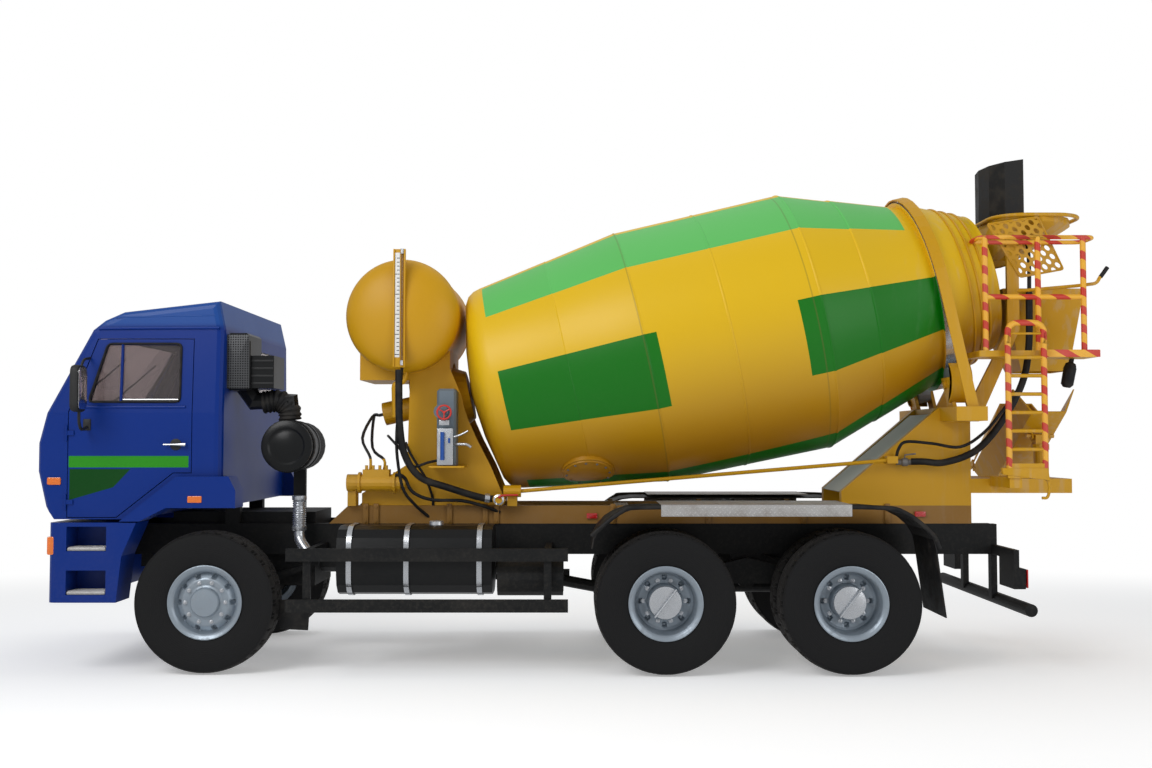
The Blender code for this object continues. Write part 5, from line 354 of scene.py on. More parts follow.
def tread_plate(rgb):
    """Raised bars: height = peak across one diagonal times a pulse along the other, and the same
    turned over in every second cell."""
    def recipe(place):
        x, y, z = place.xyz()
        a, b = (x + y + z) * 26.0, (x - y - z) * 26.0
        fa, fb = a.of("FRACT"), b.of("FRACT")
        cell = (a.of("FLOOR") + b.of("FLOOR")).of("MODULO", 2.0).of("ABSOLUTE") > 0.5
        bar_a = fa.rise(0.36, 0.46) * (1.0 - fa.rise(0.54, 0.64)) * fb.rise(0.10,
                                                                            0.2) * (1.0 - fb.rise(0.8, 0.9))
        bar_b = fb.rise(0.36, 0.46) * (1.0 - fb.rise(0.54, 0.64)) * fa.rise(0.10,
                                                                            0.2) * (1.0 - fa.rise(0.8, 0.9))
        bars = bar_a * cell + bar_b * (1.0 - cell)
        stains = place.noise(7.0, 6.0).rise(0.4, 0.75)
        colour = place.colour(rgb).tint(bars * 0.35, (0.75, 0.74, 0.72)).tint(stains * 0.4,
                                                                              (0.22, 0.18, 0.15))
        return {"Base Color": colour, "Roughness": 0.5 - bars * 0.2 + stains * 0.2, "height": bars * 0.002}
    return recipe


def seat_cloth(place):
    """A twill: fine ribs along one diagonal, with a slow change of shade."""
    x, y, z = place.xyz()
    ribs = ((x + y + z) * 900.0).of("SINE")
    soft = place.noise(12.0, 4.0)
    return {"Base Color": place.colour((0.045, 0.047, 0.055)).tint(soft.rise(0.3, 0.8) * 0.35,
                                                                   (0.10, 0.10, 0.11)),
            "Roughness": 0.85 + soft * 0.1, "height": ribs * 0.0003 + soft * 0.001}


def glass(place):
    """Clear glass with a film of dust that is thicker low down."""
    z = place.xyz()[2]
    film = place.noise(6.0, 5.0).rise(0.35, 0.8) * (1.0 - z.rise(2.1, 2.4)) * 0.04 + 0.01
    return {"Roughness": film * 0.1, "Base Color": place.colour((0.44, 0.38, 0.38)).tint(film, DUST)}


def perforated(place):
    """A sheet full of round holes, painted near black as painted shade of the dark space behind them: a hole
    is where the distance to the nearest grid point is small.
    """
    x, y, z = place.xyz()
    row = (z * 52.0).of("FRACT") - 0.5
    column = ((x + y) * 52.0).of("FRACT") - 0.5
    hole = (row * row + column * column) < 0.085
    # The holes' near-black colour is painted shade, for the dark space behind the sheet.
    return {"Base Color": place.colour((0.06, 0.062, 0.066)).tint(hole, (0.002, 0.002, 0.002)),
            "Roughness": 0.45 + hole * 0.4, "height": hole * -0.002}


# %% Unpainted finishes
material("tyre_black", tyre, Specular_IOR_Level=0.2)
material("rubber_black", rubber, Specular_IOR_Level=0.25)
material("rim_silver", bare_metal((0.30, 0.35, 0.40), 0.15, 0.34), Metallic=0.5)
material("cover_silver", bare_metal((0.62, 0.64, 0.67), 0.18, 0.24), Metallic=0.85)
material("chrome", bare_metal((0.80, 0.80, 0.82), 0.08, 0.10), Metallic=1.0)
material("cast_metal", bare_metal((0.20, 0.19, 0.18), 0.6, 0.55), Metallic=0.6)
material("tread_plate", tread_plate((0.46, 0.45, 0.44)), Metallic=0.7)
material("seat_fabric", seat_cloth, Sheen_Weight=0.3)
material("glass_tint", glass, Transmission_Weight=0.92, IOR=1.45)
material("lens", glass, Transmission_Weight=0.6, IOR=1.4)
material("perforated", perforated, Metallic=0.3)
print("all finishes:", len(MATERIALS))

# %% [markdown]
# # Making surfaces
# Every added piece is a surface given by numbers: a profile turned round an axis, a section swept
# along a route, or an outline given thickness. All of them fill the same kind of grid of points, and
# one rule closes it: points that coincide become one point, so a seam closes and a pole becomes a
# ring of triangles. A part is then a pair of arrays, the points and the faces.

# %% Grids that close
def weld(points, faces):
    """Joins points that coincide. A quad with two equal corners becomes a triangle (-1 last)."""
    _, first, back = np.unique(np.round(points, 6), axis=0, return_index=True, return_inverse=True)
    faces = back.reshape(-1)[faces]
    same = faces == np.roll(faces, -1, axis=1)
    narrow = same.sum(1) == 1
    triangles = faces[narrow][~same[narrow]].reshape(-1, 3)
    triangles = np.hstack([triangles, np.full((len(triangles), 1), -1)])
    return points[first], np.vstack([faces[~same.any(1)], triangles]).astype(int)


def outward(part):
    """Turns all faces over if the volume they enclose comes out negative."""
    points, faces = part
    third = np.where(faces[:, 3] < 0, faces[:, 2], faces[:, 3])
    a, b, c, d = (points[i] for i in (faces[:, 0], faces[:, 1], faces[:, 2], third))
    volume = (np.cross(a, b) * c).sum() + (np.cross(a, c) * d).sum()
    if volume < 0:
        quads = faces[:, 3] >= 0
        faces = faces.copy()
        faces[quads] = faces[quads][:, ::-1]
        faces[~quads, :3] = faces[~quads][:, [2, 1, 0]]
    return points, faces


def quads(rows, columns):
    """The faces of a grid of points, each between four neighbours."""
    index = np.arange(rows * columns).reshape(rows, columns)
    return np.stack([index[:-1, :-1], index[1:, :-1], index[1:, 1:], index[:-1, 1:]], -1).reshape(-1, 4)


def surface(grid):
    """A closed part from a grid of points (rows, columns, 3): quads between neighbours, welded."""
    return outward(weld(grid.reshape(-1, 3), quads(*grid.shape[:2])))


def across(axis):
    """Two directions square to an axis and to each other."""
    axis = np.asarray(axis, float) / np.linalg.norm(axis)
    side = np.cross(axis, (0, 0, 1) if abs(axis[2]) < 0.9 else (1, 0, 0))
    side /= np.linalg.norm(side)
    return axis, side, np.cross(axis, side)


print("faces of a grid of 3 by 3 points:", len(quads(3, 3)))

# %% Turned and swept surfaces
def turned(profile, centre, axis, steps=48):
    """Point = centre + axis * along + radius * (side * cos t + up * sin t), for a list of (radius,
    along) that starts and ends on the axis, or closes on itself."""
    axis, side, up = across(axis)
    profile = np.asarray(profile, float)
    t = np.linspace(0, 2 * math.pi, steps + 1)
    ring = np.outer(np.cos(t), side) + np.outer(np.sin(t), up)
    return surface(np.asarray(centre) + profile[:, 1, None, None] * axis + profile[:, 0, None, None] * ring)


def smooth(points, steps=8):
    """A route through all its points: each stretch is a cubic whose two end directions follow from
    the places before and after it."""
    p = np.asarray(points, float)
    p = np.vstack([2 * p[0] - p[1], p, 2 * p[-1] - p[-2]])
    t = np.linspace(0, 1, steps, endpoint=False)[:, None, None]
    a, b, c, d = p[:-3], p[1:-2], p[2:-1], p[3:]
    bend, twist = 2 * a - 5 * b + 4 * c - d, 3 * b - a - 3 * c + d
    curve = 0.5 * (2 * b + (c - a) * t + bend * t ** 2 + twist * t ** 3)
    return np.vstack([curve.transpose(1, 0, 2).reshape(-1, 3), p[-2]])


def swept(route, radius, sides=16, ribs=0.0, rib_length=0.02, flat=1.0):
    """A round bar along a route: point = route + radius * (side * cos t + up * sin t), with the frame
    carried along so that it doesn't twist. Ribs add a wave of that height to the radius."""
    route = np.asarray(route, float)
    ahead = np.gradient(route, axis=0)
    ahead /= np.linalg.norm(ahead, axis=1)[:, None]
    side = across(ahead[0])[1]
    sides_at = []
    for direction in ahead:
        side = side - direction * side.dot(direction)
        side = side / np.linalg.norm(side)
        sides_at.append(side)
    sides_at = np.array(sides_at)
    ups = np.cross(ahead, sides_at)
    run = np.concatenate([[0], np.cumsum(np.linalg.norm(np.diff(route, axis=0), axis=1))])
    r = (np.asarray(radius) + ribs * np.sin(run * 2 * math.pi / rib_length))[:, None,
                                                                             None] * np.ones((len(route), 1,
                                                                                              1))
    t = np.linspace(0, 2 * math.pi, sides + 1)[None, :, None]
    rings = route[:, None] + r * (sides_at[:, None] * np.cos(t) + flat * ups[:, None] * np.sin(t))
    cap = [np.repeat(route[i][None], sides + 1, 0)[None] for i in (0, -1)]
    return surface(np.vstack([cap[0], rings, cap[1]]))


# %% Outlines given thickness
AXES = {"x": (1, 2, 0), "y": (0, 2, 1), "z": (0, 1, 2)}


def stacked(rings, axis):
    """A closed part through rings of (outline, level along the axis)."""
    grid = np.zeros((len(rings), len(rings[0][0]), 3))
    first, second, depth = AXES[axis]
    for row, (ring, level) in zip(grid, rings):
        row[:, first], row[:, second], row[:, depth] = ring[:, 0], ring[:, 1], level
    return surface(grid)


def slab(outline, low, high, axis="y", round_by=0.003):
    """An outline, seen along an axis, given thickness from low to high, its rims rounded: each rim is
    the outline drawn in towards its middle by the rounding."""
    outline = np.asarray(outline, float)
    outline = np.vstack([outline, outline[:1]])
    middle = (outline.min(0) + outline.max(0)) / 2
    size = (outline.max(0) - outline.min(0)) / 2
    inset = middle + (outline - middle) * (1 - round_by / np.maximum(size, 1e-6))
    near = middle + (outline - middle) * (1 - 0.3 * round_by / np.maximum(size, 1e-6))
    flat = np.repeat(middle[None], len(outline), 0)
    rings = [(flat, low), (inset, low), (near, low + 0.3 * round_by), (outline, low + round_by),
             (outline, high - round_by), (near, high - 0.3 * round_by), (inset, high), (flat, high)]
    return stacked(rings, axis)


def rounded(width, height, corner, centre=(0, 0), steps=6):
    """An outline with four round corners, as points round a middle."""
    a, b = width / 2 - corner, height / 2 - corner
    t = np.linspace(0, math.pi / 2, steps + 1)
    quarter = np.stack([np.cos(t), np.sin(t)], -1) * corner
    turn = np.array([[0, -1], [1, 0]])
    places = [(a, b), (-a, b), (-a, -b), (a, -b)]
    points = []
    for i, place in enumerate(places):
        points.append(quarter @ np.linalg.matrix_power(turn, i).T + place)
    return np.vstack(points) + np.asarray(centre)


def block(low, high, round_by=0.004, axis="y"):
    """A box with rounded rims between two corners, seen along an axis."""
    low, high = np.asarray(low, float), np.asarray(high, float)
    first, second, depth = AXES[axis]
    size = high - low
    corner = min(round_by * 1.5, size[first] / 2.2, size[second] / 2.2)
    outline = rounded(size[first], size[second], corner, (low + high)[[first, second]] / 2)
    return slab(outline, low[depth], high[depth], axis, min(round_by, size[depth] / 3))


print("faces of a box with rounded rims:", len(block((0, 0, 0), (1, 1, 1))[1]))

# %% Parts together
def joined(*parts):
    """Several parts as one."""
    points, faces, count = [], [], 0
    for p, f in parts:
        points.append(p)
        faces.append(np.where(f < 0, -1, f + count))
        count += len(p)
    return np.vstack(points), np.vstack(faces)


def flipped(part):
    """The same part on the truck's other side: y becomes -y, and each face is turned over."""
    return outward((part[0] * np.array([1, -1, 1]), part[1]))


def both(part):
    """A part and its mirror on the truck's other side."""
    return joined(part, flipped(part))


def spun(part, centre, axis, degrees):
    """The part turned about an axis through a centre, once for each angle, all joined."""
    made = []
    for angle in degrees:
        turn = np.array(Matrix.Rotation(math.radians(angle), 3, Vector(axis)))
        made.append(((part[0] - centre) @ turn.T + centre, part[1]))
    return joined(*made)


# %% A piece in the scene
# The library's slot of a finish, where it isn't the finish's own name.
SLOT_OF = {"cover_silver": "rim_silver", "chrome": "rim_silver", "tread_plate": "rim_silver",
           "lens": "glass_tint",
           "orange_lamp": "glass_tint", "red_lamp": "glass_tint", "warning_bands": "mixer_yellow",
           "drum_paint": "mixer_yellow", "guard_mesh": "mixer_yellow", "painted_highlight_grey": "mixer_yellow",
           "ochre": "mixer_yellow", "red_paint": "trim_grey", "white_paint": "trim_grey",
           "blue_plastic": "box_grey", "tank_black": "chassis_black", "perforated": "chassis_black"}


def piece(name, part, body, finish, slot=None, replaces=(), sharp=38, numbers=None):
    """Makes the object of a part: mesh arrays filled at once, smooth apart from edges sharper than
    an angle, and its finish, riding on its body. Its slot is worked out but not used."""
    points, faces = part
    mesh = bpy.data.meshes.new(name)
    counts = np.where(faces[:, 3] < 0, 3, 4)
    corners = faces[faces >= 0]
    mesh.vertices.add(len(points))
    mesh.vertices.foreach_set("co", points.astype(np.float32).ravel())
    mesh.loops.add(len(corners))
    mesh.loops.foreach_set("vertex_index", corners.astype(np.int32))
    mesh.polygons.add(len(faces))
    mesh.polygons.foreach_set("loop_start", (np.cumsum(counts) - counts).astype(np.int32))
    mesh.update(calc_edges=True)
    mesh.validate()
    mesh.shade_smooth()
    mesh.set_sharp_from_angle(angle=math.radians(sharp))
    for key, values in (numbers or {}).items():
        mesh.attributes.new(key, "FLOAT", "POINT").data.foreach_set("value", values.astype(np.float32))
    mesh.materials.append(MATERIALS[finish])
    slot = slot or SLOT_OF.get(finish, finish)
    made = added(name, mesh)
    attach(made, body)
    if replaces:
        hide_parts(*replaces)
    print(f"{name}: {int(counts.sum() - 2 * len(counts))} triangles on {body}")
    return made


# %% [markdown]
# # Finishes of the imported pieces
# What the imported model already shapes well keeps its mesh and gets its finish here, by name.

# %% A finish for every node
NODE_FINISH = {
    "cab_blue": "bumper_steps cab_shell door_left door_right front_panel roof",
    "mixer_yellow": "chute chute_carrier chute_extension discharge_funnel drum_gearbox front_pedestal hopper "
                    "rear_pedestal water_pipe mesh_guard ladder platform water_tank",
    "pump_yellow": "hydraulic_pump",
    "drum_paint": "drum", "ochre": "subframe",
    "chassis_black": "frame_rails front_axle rear_bogie engine air_tanks battery_box side_guard_left "
                     "side_guard_right air_filter knuckle_left knuckle_right underrun_bar",
    "tank_black": "fuel_tank air_intake", "cast_metal": "silencer",
    "rubber_black": "rubber_flap water_hose rear_hose fender_left fender_right",
    "tyre_black": "wheel_front_left wheel_front_right wheel_middle_left wheel_middle_right wheel_rear_left "
                  "wheel_rear_right",
    "rim_silver": "roller_left roller_right",
    "glass_tint": "windscreen rear_window door_glass_left door_glass_right",
    "trim_grey": "dashboard mirror_left mirror_right", "seat_fabric": "driver_seat passenger_seat",
    "box_grey": "control_box",
}
for finish, names in NODE_FINISH.items():
    for name in names.split():
        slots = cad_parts[name].data.materials
        slots.clear()
        slots.append(MATERIALS[finish])
print("nodes with a finish:", sum(len(names.split()) for names in NODE_FINISH.values()))

# %% [markdown]
# # Wheels
# A tyre is one section turned round the hub: beads on the rim, bulging sidewalls, a nearly flat
# crown. The tread is cut by lowering the radius where a groove runs: three zigzag grooves round the
# crown, and short cuts between them and across each shoulder. A profile alone could not carry the
# cuts, so the crown is a grid fine enough for them. The rim is a second turned profile, with its
# hand holes pressed in.

# %% Tyres
TYRE_RADIUS = HUB_Z = 0.555
FRONT_TRACK, TWIN_TRACK, TWIN_SHIFT = 1.02, 0.925, 0.17
REAR_AXLES = {"middle": FRONT_AXLE_X + 3.60, "rear": FRONT_AXLE_X + 5.04}
TREAD_BLOCKS, TREAD_DEPTH, HOLE_DEPTH = 52, 0.014, 0.035


def tyre_part(centre, steps=240):
    """Radius over the width w: 0.555 - 0.016 |w / half|^2.4 on the crown, minus 14 mm in the grooves,
    and a table of beads and sidewalls. A groove lies where w is near 0 or +-0.055, moved by 0.014 times
    a triangle wave of the angle, and a cut lies across where that wave passes a given height."""
    half, crown = 0.155, 44
    w = np.linspace(-half, half, crown)
    t = np.linspace(0, 2 * math.pi, steps + 1)
    wave = np.abs((t[:, None] * TREAD_BLOCKS / (2 * math.pi)) % 1 * 2 - 1)
    groove = sum((np.abs(w - place - 0.014 * (wave - 0.5)) < 0.0068) for place in (-0.055, 0.0, 0.055))
    cuts = (np.abs(w) > 0.082) & (np.abs(wave - 0.5) < 0.13)
    cuts = cuts | ((np.abs(w) < 0.05) & (np.abs(wave - 0.75) < 0.10) & (np.abs(w) > 0.012))
    low = np.clip(groove + cuts, 0, 1) * (np.abs(w) < 0.150)
    radius = TYRE_RADIUS - 0.016 * np.abs(w / half) ** 2.4 - TREAD_DEPTH * low
    side_w = np.array([0.158, 0.163, 0.164, 0.163, 0.158, 0.150, 0.140, 0.130, 0.124, 0.110])
    side_r = np.array([0.528, 0.505, 0.470, 0.420, 0.380, 0.345, 0.318, 0.300, 0.290, 0.286])
    w_all = np.concatenate([-side_w[::-1] * 0.945, w, side_w * 0.945])
    r_all = np.hstack([np.tile(side_r[::-1], (steps + 1, 1)), radius, np.tile(side_r, (steps + 1, 1))])
    r_all[-1] = r_all[0]
    r_all, w_all = np.hstack([r_all, r_all[:, :1]]), np.append(w_all, w_all[0])
    grid = np.stack([r_all * np.cos(t)[:, None], np.broadcast_to(w_all, r_all.shape),
                     r_all * np.sin(t)[:, None]], -1)
    return surface(grid + np.asarray(centre))


def hub_radius(part, centre):
    """The distance of each point from the wheel's axis."""
    return np.linalg.norm((part[0] - np.asarray(centre))[:, [0, 2]], axis=1)


print("points of one tyre:", len(tyre_part((0, 0, 0))[0]))

# %% Rims and nuts
def rim_part(centre, out, profile, holes, hole_radius, hole_size, steps=120):
    """A turned profile of (radius, distance outwards). Each hand hole presses the disc in by a smooth
    bowl: depth = 0.035 times the share by which a place is nearer to the hole's middle than its size."""
    profile = np.asarray(profile, float)
    fine = np.vstack([np.linspace(a, b, max(2, int(np.linalg.norm(b - a) / 0.006)), endpoint=False)
                      for a, b in zip(profile[:-1], profile[1:])] + [profile[-1:]])
    t = np.linspace(0, 2 * math.pi, steps + 1)
    r, o = fine[:, 0, None] * np.ones(steps + 1), fine[:, 1, None] * np.ones(steps + 1)
    x, z = r * np.cos(t), r * np.sin(t)
    near = np.minimum.reduce([np.hypot(x - hole_radius * math.cos(a), z - hole_radius * math.sin(a))
                              for a in np.arange(holes) * 2 * math.pi / holes])
    on_disc = (np.arange(len(fine)) > len(fine) * 0.25)[:, None]
    o = o - HOLE_DEPTH * np.clip((hole_size - near) / (hole_size * 0.35), 0, 1) * on_disc
    return surface(np.stack([x, o * out, z], -1) + np.asarray(centre))


def nuts(centre, out, along, ring, count, size=0.013, height=0.03):
    """Wheel nuts: a hexagon of two heights with a domed stud, repeated on a ring."""
    start = np.asarray(centre) + (ring, out * along, 0)
    nut = turned([(0, 0), (size * 1.35, 0), (size * 1.35, 0.004), (size, 0.005), (size, height * 0.62),
                  (size * 0.55, height * 0.66), (size * 0.5, height * 0.95), (0, height)], start,
                  (0, out, 0), 6)
    return spun(nut, np.asarray(centre), (0, 1, 0), np.arange(count) * 360 / count)


RIM_EDGE = [(0.235, -0.10), (0.262, -0.11), (0.288, -0.125), (0.291, -0.118), (0.268, -0.10), (0.24, -0.09),
            (0.236, 0.02), (0.244, 0.085), (0.262, 0.108), (0.283, 0.112), (0.292, 0.122), (0.291, 0.130),
            (0.284, 0.132), (0.262, 0.122), (0.246, 0.108)]
FRONT_RIM = RIM_EDGE + [(0.234, 0.075), (0.228, 0.06), (0.212, 0.076), (0.186, 0.096), (0.176, 0.100),
                        (0.145, 0.100), (0.135, 0.098), (0.124, 0.102), (0.118, 0.104), (0.112, 0.128),
                        (0.104, 0.137), (0.045, 0.141), (0, 0.142)]
DEEP_RIM = RIM_EDGE + [(0.236, 0.07), (0.234, -0.03), (0.226, -0.055), (0.205, -0.066), (0.160, -0.070),
                       (0.142, -0.068), (0.138, -0.02), (0.136, 0.01), (0.126, 0.022), (0.095, 0.028),
                       (0.050, 0.030), (0, 0.031)]
HUB_CAP = [(0, 0.03), (0.10, 0.031), (0.122, 0.036), (0.131, 0.052), (0.126, 0.068), (0.08, 0.076),
           (0, 0.078)]


# %% Every wheel
def tyres(name, part, hub, kind):
    """The rubber of one wheel, with each point's distance from the hub for its finish."""
    piece(name + kind, part, name, "tyre_black", replaces=(name,), numbers={"radial": hub_radius(part, hub)})


for side, out in (("left", -1), ("right", 1)):
    hub = np.array([FRONT_AXLE_X, out * FRONT_TRACK, HUB_Z])
    name = "wheel_front_" + side
    tyres(name, tyre_part(hub), hub, "_tyre")
    piece(name + "_rim", rim_part(hub, out, FRONT_RIM, 10, 0.208, 0.021), name, "rim_silver")
    piece(name + "_nuts", nuts(hub, out, 0.100, 0.157, 10), name, "cover_silver", sharp=25)
    for axle, x in REAR_AXLES.items():
        name = f"wheel_{axle}_{side}"
        mid = np.array([x, out * TWIN_TRACK, HUB_Z])
        outer, inner = mid + (0, out * TWIN_SHIFT, 0), mid - (0, out * TWIN_SHIFT, 0)
        tyres(name, joined(*(tyre_part(mid + (0, out * shift, 0)) for shift in (TWIN_SHIFT, -TWIN_SHIFT))),
              mid, "_tyres")
        rims = joined(rim_part(outer, out, DEEP_RIM, 8, 0.186, 0.021),
                      rim_part(inner, -out, DEEP_RIM, 8, 0.186, 0.021))
        piece(name + "_rims", rims, name, "rim_silver")
        lean = math.radians(52)
        bar = swept(np.array([outer + (math.cos(lean) * 0.14 * k, out * 0.10, math.sin(lean) * 0.14 * k)
                              for k in np.linspace(-0.98, 0.98, 12)]), 0.009, 10)
        studs = nuts(outer, out, -0.070, 0.166, 10, 0.014, 0.034)
        piece(name + "_hub", joined(studs, turned(HUB_CAP, outer, (0, out, 0), 40), bar), name,
              "cover_silver", sharp=25)

# %% [markdown]
# # The drum
# The real drum is rolled plate: a dished front, a growing cone, a parallel belly and a long rear
# cone, welded at round seams, with two screw blades inside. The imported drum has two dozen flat
# sides, so it is turned again in 160 steps along the same profile. The blades wind along the wall:
# a strip whose angle grows with the distance along the axis.

# %% Drum shell and hatch
O, A, U = (np.array(v) for v in (DRUM_ORIGIN, DRUM_AXIS, DRUM_UP))
DRUM_STEPS = 160
CONE_START, CONE_RADIUS, CONE_SLOPE = 2.505, 0.7985, 0.434
HATCH_S, HATCH_TURN, HATCH_LEAN = -0.70, math.radians(150), 0.1716


def on_drum(s, up=0.0, y=0.0):
    """A place given along the drum's axis, up from it and across."""
    return O + A * s + U * up + np.array([0, y, 0])


def seam(radius, s, half=0.011, height=0.005):
    """A weld: a low bump in the profile, five points wide."""
    return [(radius, s + half), (radius + height * 0.8, s + half * 0.5), (radius + height, s),
            (radius + height * 0.8, s - half * 0.5), (radius, s - half)]


RING = [(0.80, 2.50), (0.838, 2.50), (0.84, 2.496), (0.84, 2.404), (0.838, 2.40), (0.80, 2.40)]
DRUM_OUT = ([(0.575, 2.972), (0.590, 2.980), (0.600, 2.974), (0.606, 2.94), (0.614, 2.93),
             (0.7985, 2.505)] + RING
            + seam(0.985, 1.83) + [(1.121, 1.41)] + seam(1.1235, 1.40)
            + seam(1.1135, 0.65) + seam(1.105, -0.04) + seam(0.995, -0.675, 0.008, 0.003)
            + [(0.89, -1.28), (0.874, -1.335), (0.84, -1.385), (0.78, -1.42), (0.60, -1.46), (0.42, -1.50),
               (0, -1.553)])
DRUM_IN = [(0, -1.51), (0.78, -1.37), (0.85, -1.31), (1.065, -0.04), (1.085, 1.40), (0.76, 2.46),
           (0.56, 2.97), (0.575, 2.972)]
shell = turned(DRUM_OUT + DRUM_IN, O, A, DRUM_STEPS)
hatch_r = 0.885 + (HATCH_S + 1.31) / 1.27 * 0.22
hatch_out = U * math.cos(HATCH_TURN) + np.array([0, -math.sin(HATCH_TURN), 0])
hatch_axis = hatch_out * math.cos(HATCH_LEAN) - A * math.sin(HATCH_LEAN)
hatch_at = on_drum(HATCH_S, hatch_r * math.cos(HATCH_TURN), -hatch_r * math.sin(HATCH_TURN))
hatch = turned([(0, -0.034), (0.222, -0.034), (0.222, 0.008), (0.219, 0.012), (0.206, 0.012), (0.204, 0.020),
                (0.200, 0.024), (0.165, 0.026), (0.150, 0.032), (0.06, 0.034),
                (0, 0.0345)], hatch_at, hatch_axis, 72)
bolt_at = hatch_at + hatch_axis * 0.022 + np.cross(hatch_axis, A) * 0.183
hatch_bolt = turned([(0, 0), (0.011, 0), (0.011, 0.009), (0.008, 0.012), (0, 0.013)], bolt_at, hatch_axis, 6)
hatch_bolts = spun(hatch_bolt, hatch_at, hatch_axis, np.arange(12) * 30)


# %% Collar rings, blades and roller ring
def collar_ring(s):
    """A rolled ring round the rear cone at the distance s."""
    r = CONE_RADIUS - (s - CONE_START) * CONE_SLOPE
    section = [(0.010, -0.008), (0.012, 0), (0.010, 0.008), (-0.005, 0.008), (-0.005, -0.008),
               (0.010, -0.008)]
    return turned([(r + out, s + along) for out, along in section], O, A, 96)


def blade(start_deg, s_low=0.9, s_high=2.86, turns=1.15, depth=0.24, thick=0.008):
    """Angle = start + 360 * turns * (s - low) / (high - low); the strip reaches from the wall inwards
    by its depth, with a thicker lip along its free edge."""
    s = np.linspace(s_low, s_high, 90)
    wall = np.interp(s, [1.40, 2.46, 2.97], [1.085, 0.76, 0.56]) + 0.006
    t = np.radians(start_deg) + 2 * math.pi * turns * (s - s_low) / (s_high - s_low)
    inner = wall - depth * np.clip((s_high + 0.1 - s) / 0.5, 0.35, 1)
    section = [(wall, -thick), (inner + 0.012, -thick), (inner, -thick * 1.8), (inner, thick * 1.8),
               (inner + 0.012, thick), (wall, thick), (wall, -thick)]
    rows = [O + np.outer(s + shift, A) + np.outer(r * np.cos(t), U) + np.outer(r * np.sin(t), (0, 1, 0))
            for r, shift in section]
    grid = np.stack(rows, 1)
    ends = [np.repeat(grid[i].mean(0)[None], grid.shape[1], 0)[None] for i in (0, -1)]
    return surface(np.vstack([ends[0], grid, ends[1]]))


piece("drum_shell", joined(shell, hatch), "drum", "drum_paint", replaces=("drum",), sharp=30)
piece("drum_hatch_bolts", hatch_bolts, "drum", "cast_metal", "mixer_yellow", sharp=25)
piece("drum_blades", joined(blade(20), blade(200)), "drum", "cast_metal", "mixer_yellow")
ring = turned([(0.8405, 2.496), (0.8405, 2.404), (0.836, 2.403), (0.836, 2.497), (0.8405, 2.496)], O,
              A, DRUM_STEPS)
piece("drum_collar_rings", joined(*map(collar_ring, (2.70, 2.78, 2.86))), "drum", "mixer_yellow")
piece("drum_ring_tread", ring, "drum", "cover_silver")

# %% [markdown]
# # Water tank and gauge
# The tank is a drum lying across the truck with dished ends; its shape is a turned profile whose
# ends follow a flat ellipse. The gauge is a yellow channel standing off the near end, with a glass
# tube in it and a white scale with black marks, each mark a thin raised strip.

# %% Water tank
tank_at, TANK_RADIUS, TANK_DISH = np.array([-1.507, 0, 2.86]), 0.47, 0.20
GAUGE_X, GAUGE_LOW, GAUGE_HIGH = tank_at[0], 2.42, 3.39
TUBE_X = GAUGE_X + 0.022
half_tank = [(TANK_RADIUS, 0.53), (0.474, 0.536), (0.474, 0.548)]
half_tank += [(TANK_RADIUS * math.sin(a), 0.56 + TANK_DISH * math.cos(a))
              for a in np.linspace(math.pi / 2, 0, 12)[:-1]]
half_tank.append((0, 0.56 + TANK_DISH))
tank = turned([(r, -s) for r, s in half_tank[::-1]] + half_tank, tank_at, (0, 1, 0), 96)
filler = turned([(0, 0.42), (0.075, 0.42), (0.075, 0.497), (0.092, 0.500), (0.092, 0.522), (0.05, 0.529),
                 (0, 0.5295)], tank_at, (0, 0, 1), 40)
lips = [block((GAUGE_X + x, -0.78, GAUGE_LOW), (GAUGE_X + x + 0.012, -0.742, GAUGE_HIGH), 0.002, "z")
        for x in (-0.05, 0.038)]
back = block((GAUGE_X - 0.045, -0.765, GAUGE_LOW), (GAUGE_X + 0.045, -0.757, GAUGE_HIGH), 0.002, "z")
feet = [block((GAUGE_X - 0.03, -0.76, z - 0.02), (GAUGE_X + 0.03, -0.56, z + 0.02), 0.003)
        for z in (2.50, 3.30)]
piece("water_tank_shell", joined(tank, filler), "chassis", "mixer_yellow", replaces=("water_tank",), sharp=30)
piece("gauge_channel", joined(*lips, back, *feet), "chassis", "mixer_yellow")
scale = block((GAUGE_X - 0.036, -0.769, 2.50), (GAUGE_X + 0.004, -0.765, 3.36), 0.001, "y")
piece("gauge_scale", scale, "chassis", "white_paint")
marks = [block((GAUGE_X - (0.034 if i % 5 == 0 else 0.020), -0.7700, 2.52 + i * 0.033),
               (GAUGE_X + 0.001, -0.7688, 2.526 + i * 0.033), 0.0005, "y") for i in range(25)]
piece("gauge_marks", joined(*marks), "chassis", "trim_grey")
tube_route = np.array([(TUBE_X, -0.768, z) for z in np.linspace(2.46, 3.37, 6)])
piece("gauge_tube", swept(tube_route, 0.009, 14), "chassis", "glass_tint")
fittings = [turned([(0, -0.02), (0.015, -0.02), (0.015, 0.02), (0, 0.02)], (TUBE_X, -0.766, z), (0, 0, 1),
                   12) for z in (2.455, 3.372)]
piece("gauge_fittings", joined(*fittings), "chassis", "cover_silver")

# %% [markdown]
# # Cab trim
# The cab's sides stand upright to the belt and lean in above it, so trim follows the side by one
# rule for y by height. The window seals are a lip run round each opening, the handle a bar that
# swells to its thumb end, and the mirror a shell with rounded rims and glass set in its rear face.

# %% Cab side, doors and mirrors
CAB_SIDE_Y, BELT_Z, SIDE_LEAN = 1.15, 2.05, 0.064
SCREEN_X, SCREEN_Z, SCREEN_LEAN = -4.031, 2.4, 0.616


